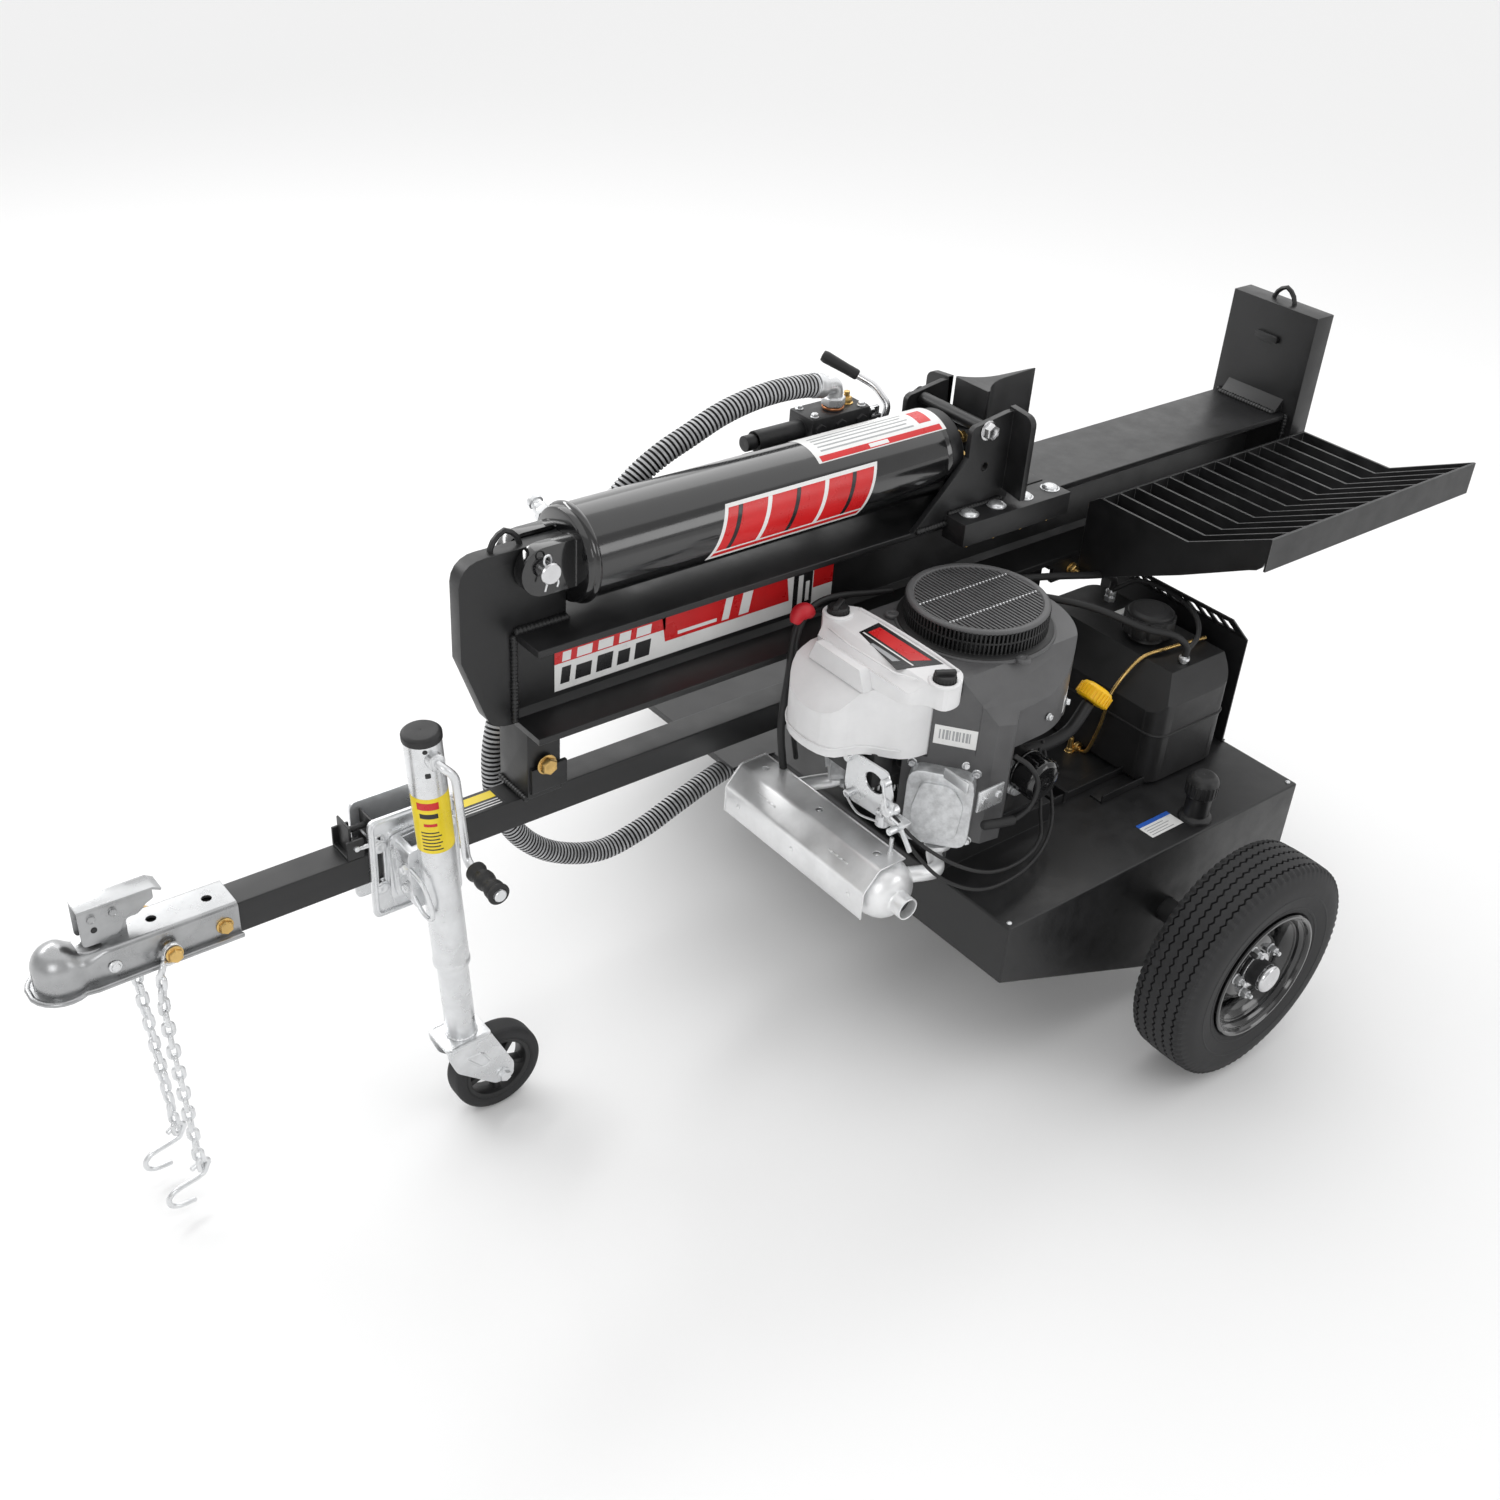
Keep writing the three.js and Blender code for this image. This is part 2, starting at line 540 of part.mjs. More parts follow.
// Tyre, rim and hub of one wheel; side is -1 on the engine side and +1 on the other.
function wheel(label, side) {
  const { radius: r, halfWidth: w, sides, rim } = WHEEL;
  const tyre = [
    [r - 17, -w + 5], [r - 5, -w + 17], [r, -w + 36], [r, w - 36], [r - 5, w - 17], [r - 17, w - 5],
    [r - 50, w], [rim + 1.5, w - 8], [rim + 1.5, w - 16], [r - 26, w - 16], [r - 26, -w + 16],
    [rim + 1.5, -w + 16], [rim + 1.5, -w + 8], [r - 50, -w],
  ];
  const barrel = [
    [rim, 56], [rim, 51.6], [103, 51], [84, 22], [84, -22], [103, -51], [rim, -51.6],
    [110, -56], [98, -54], [79, -24], [79, 4], [56, 26.3], [18.6, 26.3], [18.6, 31], [50, 31],
    [79, 9], [79, 24], [98, 54], [110, 56],
  ];
  const hub = [
    [AXLE.spindle + 0.8, -52], [29, -52], [31, 14], [52, 18], [52, 26], [18, 26], [18, 34],
    [25, 34], [25, 62], [21, 70], [0, 71], [0, 60], [AXLE.spindle + 0.8, 54],
  ];
  const facing = (profile) => profile.map(([radius, y]) => [radius, side * y]);
  return group(0, side * WHEEL.y, AXLE_Z,
    mesh("tyre_" + label, turned("y", facing(tyre), sides), RUBBER),
    mesh("rim_" + label, turned("y", facing(barrel), 18), PAINT),
    mesh("hub_" + label, turned("y", facing(hub), 14), STEEL));
}

// ---------------------------------------------------------------- cylinder, ram and wedge
function cylinderBarrel() {
  const { base, head, outer, bore, z } = BARREL;
  const tube = bar("x", outer, base, head, 0, z, 28);
  const hollow = bar("x", bore, base + 28, head + 1, 0, z, 20);
  const ears = [-1, 1].map((side) => {
    const y0 = side > 0 ? 16 : -38;
    return join(
      box(PIN.x, base + 2, y0, y0 + 22, PIN.z - 42, PIN.z + 34),
      bar("y", 38, y0, y0 + 22, PIN.x, PIN.z - 4, 16));
  });
  const port = bar("y", 12, 40, 88, base + 14, z + 34, 8);
  const pinBore = bar("y", 14, -60, 60, PIN.x, PIN.z, 16);
  return mesh("cylinder_barrel", cut(join(cut(tube, hollow), ...ears, port), pinBore), GLOSS);
}

function cylinderGland() {
  const { head, gland, outer, bore, z } = BARREL;
  const ring = join(bar("x", outer - 4, head + GAP, gland, 0, z, 24),
    bar("x", bore - 1, head - 30, head + 1, 0, z, 20));
  const rodBore = bar("x", ROD_RADIUS + 1, head - 31, gland + 1, 0, z, 20);
  return mesh("cylinder_gland", cut(ring, rodBore), IRON);
}

function pistonRod() {
  const { z, bore } = BARREL;
  const shaft = bar("x", ROD_RADIUS, PISTON.rear - 1, -126, 0, z, 20);
  const piston = bar("x", bore - 1, PISTON.front, PISTON.rear, 0, z, 20);
  const eye = cut(box(-128, -90, -17, 17, z - 26, z + 26), bar("y", 12.3, -20, 20, ROD_EYE, z, 16));
  return mesh("piston_rod", join(shaft, piston, eye), CHROME);
}

function clevisPin() {
  const body = join(bar("y", 13, -50, 48, PIN.x, PIN.z, 20),
    bar("y", 16.5, -56, -49, PIN.x, PIN.z, 20), bar("y", 18, 47, 54, PIN.x, PIN.z, 20));
  return mesh("clevis_pin", body, STEEL);
}

// Wedge: a thin blade that flares into two concave wings, on a slide plate with rod lugs.
function wedge() {
  const { tip, back, top, halfWidth, blade } = WEDGE;
  const low = BEAM.top + GAP;
  const plan = new THREE.Shape();
  plan.moveTo(tip, 0);
  plan.lineTo(tip - 16, -2.5);
  plan.lineTo(-16, -blade);
  plan.quadraticCurveTo(-56, -blade - 4, back + 6, -halfWidth);
  plan.lineTo(back, -halfWidth);
  plan.lineTo(back, halfWidth);
  plan.lineTo(back + 6, halfWidth);
  plan.quadraticCurveTo(-56, blade + 4, -16, blade);
  plan.lineTo(tip - 16, 2.5);
  const head = prism("z", plan, low, top, 5);
  const slide = box(back - 24, 54, -66, 66, low, low + 15);
  const lugs = [-1, 1].map((side) => {
    const y0 = side > 0 ? 18 : -34;
    return box(-124, back + 2, y0, y0 + 16, BARREL.z - 30, BARREL.z + 30);
  });
  const stand = [-1, 1].map((side) => {
    const y0 = side > 0 ? 18 : -34;
    return box(back - 24, back + 2, y0, y0 + 16, low + 14, BARREL.z - 29);
  });
  const bore = bar("y", 12.3, -50, 50, ROD_EYE, BARREL.z, 16);
  return mesh("wedge", cut(join(head, slide, ...lugs, ...stand), bore), PAINT);
}

function rodPin() {
  const body = join(bar("y", 12, -40, 40, ROD_EYE, BARREL.z, 16),
    bar("y", 15, 39, 44, ROD_EYE, BARREL.z, 16));
  return mesh("rod_pin", body, STEEL);
}

// Log stripper: upright cheek with a diagonal heel, an outward flange and a bolted foot.
const FOOT_BOLTS = [-157, -94, -29, 35];

function stripper(name, side) {
  const { inner, thick, flangeOut, base } = STRIPPER;
  const low = BEAM.top + GAP;
  const between = (a, b) => (side > 0 ? [a, b] : [-b, -a]);
  const cheek = new THREE.Shape();
  cheek.moveTo(-264, low);
  cheek.lineTo(-158, 903);
  cheek.lineTo(-158, 944);
  cheek.quadraticCurveTo(-157, 957, -142, 957);
  cheek.lineTo(-78, 967);
  cheek.lineTo(-54, 967);
  cheek.lineTo(-54, low);
  const plate = prism("y", cheek, ...between(inner, inner + thick), 4);
  const top = 972;
  const wing = new THREE.Shape();
  wing.moveTo(side * inner, 830);
  wing.lineTo(side * flangeOut, 822);
  wing.lineTo(side * flangeOut, top - 22);
  wing.quadraticCurveTo(side * flangeOut, top - 8, side * (flangeOut - 14), top - 4);
  wing.lineTo(side * inner, top);
  const flange = prism("x", wing, -66, -54, 4);
  const foot = box(-194, 55, ...between(inner, 130), base - 12, base);
  const clamp = box(-194, 55, ...between(BEAM.width / 2 + GAP, 130), 772, base - 11);
  const holes = FOOT_BOLTS.map((x) => bar("z", 7, 760, base + 5, x, side * 100, 10));
  const tieHole = bar("y", 8.3, ...between(inner - 5, inner + thick + 5), -122, 945, 12);
  const sightHole = bar("y", 8, ...between(inner - 5, inner + thick + 5), -118, 880, 12);
  return mesh(name, cut(join(plate, flange, foot, clamp), ...holes, tieHole, sightHole), PAINT);
}

// ---------------------------------------------------------------- control valve and hoses
const VALVE = { x: -290, y: 116, z: 922 };

function valveBody() {
  const { x, y, z } = VALVE;
  const core = box(x - 62, x + 62, y - 30, y + 30, z - 26, z + 26);
  const detent = bar("x", 17, x - 160, x - 61, y, z, 20);
  const cap = bar("x", 13, x - 178, x - 159, y, z, 16);
  const spoolBore = bar("x", 8.3, x - 150, x + 90, y, z, 12);
  const neck = bar("x", 15, x + 61, x + 82, y, z, 16);
  const inlet = bar("z", 17, z + 25, z + 34, x, y - 6, 6);
  const elbow = join(bar("z", 13, z + 33, z + 62, x, y - 6, 16),
    box(x - 18, x + 18, y - 24, y + 12, z + 50, z + 82));
  const outletEar = box(x - 20, x + 20, y - 42, y - 28, z - 24, z - 2);
  const lugs = [-1, 1].map((side) => {
    const y0 = side > 0 ? y + 12 : y - 20;
    return box(x + 80, x + 132, y0, y0 + 8, z - 44, z - 18);
  });
  const arm = box(x + 40, x + 90, y - 20, y + 20, z - 44, z - 25);
  const pivot = bar("y", 5.3, y - 30, y + 30, x + 120, z - 32, 12);
  const casting = join(core, detent, cap, neck, inlet, elbow, outletEar, arm, ...lugs);
  return mesh("valve_body", cut(casting, spoolBore, pivot), IRON);
}

function valveSpool() {
  const { x, y, z } = VALVE;
  const body = join(bar("x", 8, x - 120, x + 100, y, z, 16),
    box(x + 96, x + 108, y - 4, y + 4, z - 8, z + 8));
  return mesh("valve_spool", body, CHROME);
}

function valveLever() {
  const { x, y, z } = VALVE;
  const pivot = [x + 120, y, z - 32];
  const hub = bar("y", 11, y - 11, y + 11, pivot[0], pivot[2], 16);
  const pin = bar("y", 5, y - 24, y + 24, pivot[0], pivot[2], 12);
  const shank = rod([pivot, [x + 132, y, z + 2], [x + 124, y + 30, z + 28]], 6,
    { sides: 6, smooth: false });
  const handle = rod([[x + 124, y + 30, z + 28], [x + 104, y + 56, z + 42]], 6.5,
    { sides: 6, smooth: false });
  const grip = rod([[x + 106, y + 54, z + 41], [x + 82, y + 84, z + 57]], 10,
    { sides: 6, smooth: false });
  return mesh("valve_lever", join(hub, pin, shank, handle, grip), STEEL);
}

// Return hose: from the valve's elbow down the far side of the beam and round to the deck.
function returnHose() {
  const path = [
    [-314, 110, 990], [-350, 106, 1000], [-411, 104, 1005], [-471, 104, 1001], [-529, 104, 989],
    [-586, 104, 968], [-641, 106, 945], [-690, 110, 912], [-760, 113, 840], [-835, 112, 750],
    [-905, 106, 650], [-948, 95, 545], [-953, 93, 460], [-938, 94, 395], [-900, 95, 330],
    [-840, 95, 277], [-747, 96, 241], [-664, 97, 250], [-579, 100, 276], [-490, 108, 296],
    [-416, 116, 300],
  ];
  return mesh("return_hose", rod(path, 19, { sides: 6, steps: 36 }), SPRING_GUARD);
}

// Pressure hose: up out of the pump's well, across the deck under the tongue and up to the valve.
function pressureHose() {
  const port = ENGINE.y + 38;
  const deck = DECK.top + 17;
  const path = [
    [ENGINE.x, port, 266], [ENGINE.x, port + 12, 267], [ENGINE.x, port + 18, 290],
    [ENGINE.x, port + 18, deck - 22], [ENGINE.x, port + 28, deck - 4], [ENGINE.x, port + 48, deck],
    [ENGINE.x, port + 110, deck], [ENGINE.x, 60, deck], [-272, 106, 386], [-290, 114, 470],
    [-306, 114, 640], [-310, 114, 800], [-310, 116, 895],
  ];
  return mesh("pressure_hose", rod(path, 10, { sides: 5, steps: 30 }), RUBBER);
}

// ---------------------------------------------------------------- log tray
function logTray() {
  const { front, rear, inner, bend, outer, top, lip } = TRAY;
  const sheet = 4;
  const endPlate = new THREE.Shape();
  endPlate.moveTo(-81, 604);
  endPlate.lineTo(-81, 745);
  endPlate.lineTo(inner, top);
  endPlate.lineTo(bend, top);
  endPlate.lineTo(outer, lip);
  endPlate.lineTo(outer, 790);
  endPlate.quadraticCurveTo(outer + 2, 772, outer + 26, 765);
  endPlate.lineTo(bend, 697);
  endPlate.lineTo(inner - 20, 612);
  const slat = [
    [inner, top], [bend, top], [outer, lip], [outer, lip - 34], [bend + 6, top - 38],
    [inner, top - 38],
  ];
  const rearPlate = [
    [inner, top], [bend, top], [outer, lip], [outer, 790], [outer + 26, 765], [bend, 700],
    [inner, 700],
  ];
  const pitch = (rear - front - sheet) / 13;
  const slats = Array.from({ length: 12 }, (_, i) => {
    const x = front + pitch * (i + 1);
    return prism("x", slat, x, x + sheet);
  });
  const innerBar = box(front, rear, inner - sheet, inner, 705, top);
  const lipBar = box(front, rear, outer - sheet, outer, 774, lip);
  const plates = [prism("x", endPlate, front, front + sheet, 3),
    prism("x", rearPlate, rear - sheet, rear)];
  const tab = box(175, 206, -87, -81, 604, 745);
  const hole = bar("y", 6.3, -90, -70, 192, 715, 10);
  return mesh("log_tray", cut(join(innerBar, lipBar, ...plates, ...slats, tab), hole), PAINT);
}

// ---------------------------------------------------------------- engine, about its crank axis
// Local heights are measured from the deck top.
function engineBlock() {
  const base = cut(box(-112, 112, -112, 112, GAP, 8), bar("z", 60, -1, 9, 0, 0, 16));
  const crankcase = bar("z", 98, 7, 210, 0, 0, 20);
  const parts = [base, crankcase];
  for (const side of [-1, 1]) {
    const angle = Math.PI - side * ENGINE.headAngle;
    const along = (d) => [d * Math.cos(angle), d * Math.sin(angle)];
    parts.push(turnedBox(120, 92, 118, angle, ...along(120), 100));
    for (let i = 0; i < 3; i += 1) {
      parts.push(turnedBox(5, 122, 150, angle, ...along(116 + 18 * i), 100));
    }
    parts.push(turnedBox(26, 118, 146, angle, ...along(178), 100));
    parts.push(turnedBox(22, 104, 132, angle, ...along(200), 100));
  }
  const filterPad = bar("y", 30, -122, -60, 37, 98, 20);
  const dipstick = rod([[60, -70, 90], [150, -100, 110], [196, -102, 160]], 11,
    { sides: 8, steps: 5 });
  const carburettor = join(box(-178, -80, -28, 28, 108, 158), bar("z", 24, 84, 112, -140, 0, 16));
  const bore = bar("z", 18, -5, 215, 0, 0, 12);
  const hollow = bar("z", 84, -1, 196, 0, 0, 16);
  const floor = cut(bar("z", 86, 8, 20, 0, 0, 16), bore);
  const shell = cut(join(...parts, filterPad, dipstick, carburettor), hollow);
  return mesh("engine_block", cut(join(shell, floor), bore), ALLOY);
}

// Plan outlines of the air filter cover: its flat top, and the bulging part under it.
const COVER_PLATE = [
  [-140, 118], [-168, 144], [-200, 144], [-216, 118], [-240, 108], [-244, -40], [-236, -98],
  [-208, -112], [-200, -144], [-168, -144], [-140, -118],
];
const COVER_SKIRT = [
  [-124, -92], [-206, -84], [-250, -28], [-302, -18], [-314, 30], [-308, 82], [-272, 124], [-124, 134],
];

// An outline with each point moved out from its middle.
function grown(points, by) {
  const middle = [0, 1].map((i) => points.reduce((sum, point) => sum + point[i], 0) / points.length);
  return points.map(([x, y]) => {
    const [dx, dy] = [x - middle[0], y - middle[1]];
    const scale = 1 + by / Math.hypot(dx, dy);
    return [middle[0] + dx * scale, middle[1] + dy * scale];
  });
}

function shroudPlan(inset) {
  const r = 163 - inset;
  const shape = new THREE.Shape();
  shape.moveTo(0, -r);
  shape.absarc(0, 0, r, -Math.PI / 2, Math.PI / 2);
  shape.lineTo(-52, r + 2);
  shape.lineTo(-120 + inset, 150 - inset);
  shape.lineTo(-120 + inset, -150 + inset);
  shape.lineTo(-52, -r - 2);
  return shape;
}

// Plan of the cowl over one head: points are (along the head, across it towards the rear).
function cowlPlan(side, inset) {
  const angle = Math.PI - side * ENGINE.headAngle;
  const [c, s] = [Math.cos(angle), Math.sin(angle)];
  const reach = 185 - inset;
  const rear = 98 - inset;
  return [[80 - 5 * inset, rear], [reach - 25, rear], [reach, rear - 26], [reach, inset - 75],
    [35 - 5 * inset, inset - 75]].map(([d, p]) => [d * c + side * p * s, d * s - side * p * c]);
}

// Blower housing: round over the fan, with sloping shoulders and a square cowl over each head that
// is open below around the rocker cover.
function engineShroud() {
  const top = ENGINE.shroudTop;
  const low = 196;
  const skirt = 34;
  const shoulders = (from) => [-1, 1].map((side) => prism("x",
    [[side * from, top + 1], [side * 200, top + 1], [side * 200, top + 1 - (200 - from) * 1.33]],
    -240, 200));
  const shape = (inset, floor) => cut(
    join(prism("z", shroudPlan(inset), low - floor, top - inset, 10),
      ...[-1, 1].map((side) => prism("z", cowlPlan(side, inset), skirt - floor, top - inset))),
    ...shoulders(118 - inset));
  const filterRoom = [
    prism("z", grown(COVER_PLATE, 2), 298, top + 20), prism("z", grown(COVER_SKIRT, 2.5), 178, 302)];
  const rockerRoom = [-1, 1].map((side) => {
    const angle = Math.PI - side * ENGINE.headAngle;
    return turnedBox(120, 136, 150, angle, 200 * Math.cos(angle), 200 * Math.sin(angle), 103);
  });
  const intakeRoom = box(-250, -40, -60, 60, skirt - 5, 178);
  const crankRoom = bar("z", 100, skirt - 5, 230, 0, 0, 20);
  const beamRoom = box(-240, 200, 164, 210, 230, top + 5);
  const mouth = bar("z", 104, top - 10, top + 5, 0, 0, 20);
  const body = cut(shape(0, 0), shape(4, 1), ...filterRoom, ...rockerRoom, intakeRoom, crankRoom,
    beamRoom, mouth);
  return mesh("engine_shroud", body, DARK_PLASTIC);
}

// Round debris screen: a slotted drum with a top of parallel bars.
function fanScreen() {
  const low = ENGINE.shroudTop + GAP;
  const high = ENGINE.screenTop;
  const ring = turned("z", [[104, low], [126, low], [126, low + 10], [116, low + 12],
    [111, high], [100, high], [100, high - 5], [107, high - 7]], 24);
  const bars = Array.from({ length: 7 }, (_, i) => {
    const y = (i - 3) * 26;
    const half = Math.sqrt(103 ** 2 - y ** 2);
    return box(-half, half, y - 4, y + 4, high - 5, high - 0.5);
  });
  const straps = [-34, 34].map((x) => box(x - 3, x + 3, -98, 98, high - 5, high - 0.2));
  return mesh("fan_screen", join(ring, ...bars, ...straps), BLACK_PLASTIC);
}

function flywheelFan() {
  const z = 262;
  const disc = cut(bar("z", 92, z, z + 10, 0, 0, 20), bar("z", 15, z - 5, z + 20, 0, 0, 12));
  const blades = Array.from({ length: 10 }, (_, i) => {
    const angle = (2 * Math.PI * i) / 10;
    return turnedBox(34, 3, 32, angle + 0.5, 72 * Math.cos(angle), 72 * Math.sin(angle), z + 25);
  });
  return mesh("flywheel_fan", join(disc, ...blades), ALLOY);
}

function crankshaft() {
  const profile = [
    [0, -52], [12, -52], [12, 30], [17, 34], [17, 258], [14, 261], [14, 292], [0, 292]];
  const shaft = turned("z", profile, 12);
  const web = [70, 120].map((z) => box(-46, 46, -26, 26, z, z + 16));
  return mesh("crankshaft", join(shaft, ...web), STEEL);
}

// Air filter cover: flat top with a knob lug at each end, and a nose that bulges forward and down.
const COVER_TOP = 338;
const KNOB_SPOTS = { left: [-184, 122], right: [-184, -122] };

function airFilterCover() {
  const plate = prism("z", COVER_PLATE, 300, COVER_TOP);
  const skirt = prism("z", COVER_SKIRT, 182, 301);
  const slope = prism("y", [[-232, 302], [-330, 302], [-330, 262], [-300, 262]], -200, 200);
  const nose = prism("x", [[-30, 300], [92, 300], [76, 324], [-14, 324]], -286, -230);
  const fixings = Object.values(KNOB_SPOTS).map(([x, y]) => bar("z", 5, 290, 345, x, y, 10));
  const inside = prism("z", [[-128, -80], [-202, -76], [-244, -20], [-294, -12], [-304, 30],
    [-298, 78], [-266, 116], [-128, 124]], 170, 258);
  const body = cut(join(plate, cut(skirt, slope), nose), inside, ...fixings);
  return mesh("air_filter_cover", body, GREY_PLASTIC);
}

function filterKnob(label) {
  const [x, y] = KNOB_SPOTS[label];
  const z = COVER_TOP + GAP;
  const body = join(bar("z", 17, z, z + 12, 0, 0, 16), box(-18, 18, -4, 4, z + 11, z + 19),
    bar("z", 4.6, z - 18, z + 1, 0, 0, 10));
  const made = mesh("filter_knob_" + label, body, BLACK_PLASTIC);
  made.position.set(x, y, 0);
  return made;
}

function oilFilter() {
  const profile = [[0, -170], [31, -170], [36, -164], [36, -126], [33, -122.4], [0, -122.4]];
  const made = mesh("oil_filter", turned("y", profile, 24), GLOSS);
  made.position.set(37, 0, 98);
  return made;
}

function oilCap() {
  const profile = [[0, 0], [24, 0], [26, 3], [26, 20], [23, 23], [0, 23]];
  const cap = cut(turned("z", profile, 24), bar("z", 11.6, -1, 8, 0, 0, 12));
  const made = mesh("oil_cap", cap, YELLOW_PLASTIC);
  made.position.set(198.5, -102.2, 163.5);
  made.rotation.y = 0.72;
  return made;
}

function engine() {
  return group(ENGINE.x, ENGINE.y, DECK.top + ENGINE.riser, engineBlock(), engineShroud(), fanScreen(),
    flywheelFan(), crankshaft(), airFilterCover(), filterKnob("left"), filterKnob("right"),
    oilFilter(), oilCap());
}

// Hydraulic pump hanging in the deck's well under the crankshaft, on an adapter with two legs.
function hydraulicPump() {
  const body = join(box(-42, 42, -36, 36, -160, -76), box(-66, 66, -40, 40, -76, -66),
    bar("z", 14, -174.5, -158, 0, 0, 10));
  const coupling = bar("z", 20, -67, -52 - GAP, 0, 0, 14);
  const legs = [-1, 1].map((side) => {
    const x0 = side > 0 ? 58 : -66;
    return box(x0, x0 + 8, -40, 40, -67, -GAP);
  });
  const feet = [-1, 1].map((side) => {
    const x0 = side > 0 ? 58 : -99;
    return box(x0, x0 + 41, -40, 40, -6, -GAP);
  });
  const made = mesh("hydraulic_pump", join(body, coupling, ...legs, ...feet), IRON);
  made.position.set(ENGINE.x, ENGINE.y, DECK.top + ENGINE.riser);
  return made;
}

// ---------------------------------------------------------------- exhaust
function muffler() {
  const { x, z, radius: r, near, far } = MUFFLER;
  const can = turned("y", [[0, near], [r - 26, near], [r - 8, near + 12], [r, near + 30],
    [r, far - 30], [r - 8, far - 12], [r - 26, far], [0, far]], 16);
  const placed = group(x, 0, z, mesh("can", can, ALUMINISED));
  placed.updateMatrixWorld(true);
  const body = solid(placed.children[0].geometry.clone().applyMatrix4(placed.matrixWorld));
  const outlet = cut(bar("y", 19, near - 24, near + 4, x, z - 5, 16),
    bar("y", 16.5, near - 25, near + 3, x, z - 5, 12));
  const flange = ([fx, fy]) => bar("z", 20, 398, 412.4, fx, fy, 12);
  const nearPort = [-409, -366];
  const farPort = [-412, -133];
  const nearPipe = rod([[x + 20, near + 46, z + 8], [x + 60, near + 24, z + 8],
    [x + 100, near + 22, z + 2], [nearPort[0] - 6, nearPort[1], z + 6], [...nearPort, 402]],
    13, { sides: 6, steps: 7 });
  const farPipe = rod([[x + 20, far - 52, z + 4], [x + 70, far - 46, z - 2],
    [farPort[0] - 8, farPort[1] + 18, z + 2], [...farPort, 402]], 13, { sides: 6, steps: 5 });
  return mesh("muffler",
    join(body, outlet, nearPipe, farPipe, flange(nearPort), flange(farPort)), ALUMINISED);
}

// Folded sheet around the front of the muffler, open at its back.
function heatShield() {
  const { x, z, near, far } = MUFFLER;
  const outer = [[21, 59], [-31, 58], [-60, 24], [-60, -25]];
  const inner = [...outer].reverse().map(([a, b]) => [a + 1.2, b - 2.2]);
  const sheet = [...outer, ...inner].map(([a, b]) => [x + a, z + b]);
  return mesh("muffler_heat_shield", prism("y", sheet, near + 17, far - 8), ALUMINISED);
}

// ---------------------------------------------------------------- fuel tank
const FUEL = { x0: 70, x1: 262, y0: -398, y1: -62, z0: 352, z1: 550 };
const FUEL_CAP = { x: 182, y: -252 };

function fuelTank() {
  const { x0, x1, y0, y1, z0, z1 } = FUEL;
  const block = prism("z", roundedRect(x0, x1, y0, y1, 36), z0, z1, 5);
  const trims = [
    prism("y", [[x0 - 1, z1 + 1], [x0 - 1, z1 - 60], [x0 + 52, z1 + 1]], y0 - 5, y1 + 5),
    prism("x", [[y0 - 1, z1 + 1], [y0 - 1, z1 - 46], [y0 + 34, z1 + 1]], x0 - 5, x1 + 5),
  ];
  const neck = bar("z", 26, z1 - 2, z1 + 22, FUEL_CAP.x, FUEL_CAP.y, 16);
  const fittings = [[168, -350], [228, -124]].map(([x, y]) =>
    bar("z", 9, z1 - 2, z1 + 16, x, y, 10));
  const inside = cut(prism("z", roundedRect(x0 + 4, x1 - 4, y0 + 4, y1 - 4, 32), z0 + 4, z1 - 4, 5),
    prism("y", [[x0 + 3, z1 + 1], [x0 + 3, z1 - 66], [x0 + 60, z1 + 1]], y0 - 5, y1 + 5),
    prism("x", [[y0 + 3, z1 + 1], [y0 + 3, z1 - 52], [y0 + 42, z1 + 1]], x0 - 5, x1 + 5));
  const mouth = bar("z", 20, z1 - 20, z1 + 30, FUEL_CAP.x, FUEL_CAP.y, 14);
  const body = cut(join(cut(block, ...trims), neck, ...fittings), inside, mouth);
  return mesh("fuel_tank", body, BLACK_PLASTIC);
}

function fuelCap() {
  const low = FUEL.z1 + 14;
  const skirt = turned("z", [[26.4, low], [40, low], [42, low + 4], [42, low + 34], [36, low + 42],
    [0, low + 44], [0, low + 10], [26.4, low + 10]], 24);
  const notches = Array.from({ length: 8 }, (_, i) => {
    const angle = (i * Math.PI) / 4;
    return bar("z", 7, low - 2, low + 26, 46 * Math.cos(angle), 46 * Math.sin(angle), 5);
  });
  const made = mesh("fuel_cap", cut(skirt, ...notches), BLACK_PLASTIC);
  made.position.set(FUEL_CAP.x, FUEL_CAP.y, 0);
  return made;
}

// Guard behind the fuel tank whose slotted top leans over the tank.
function fuelTankGuard() {
  const low = DECK.top + GAP;
  const sheet = [[318, low], [318, low + 3], [312, low + 3], [312, 562], [252, 622], [250, 620],
    [309, 561], [309, low]];
  const guard = prism("y", sheet, -375, -35);
  const slots = Array.from({ length: 12 }, (_, i) => {
    const y = -355 + 25.5 * i;
    return prism("y", [[270, 612], [262, 600], [292, 570], [304, 580]], y, y + 14);
  });
  return mesh("fuel_tank_guard", cut(guard, ...slots), PAINT);
}

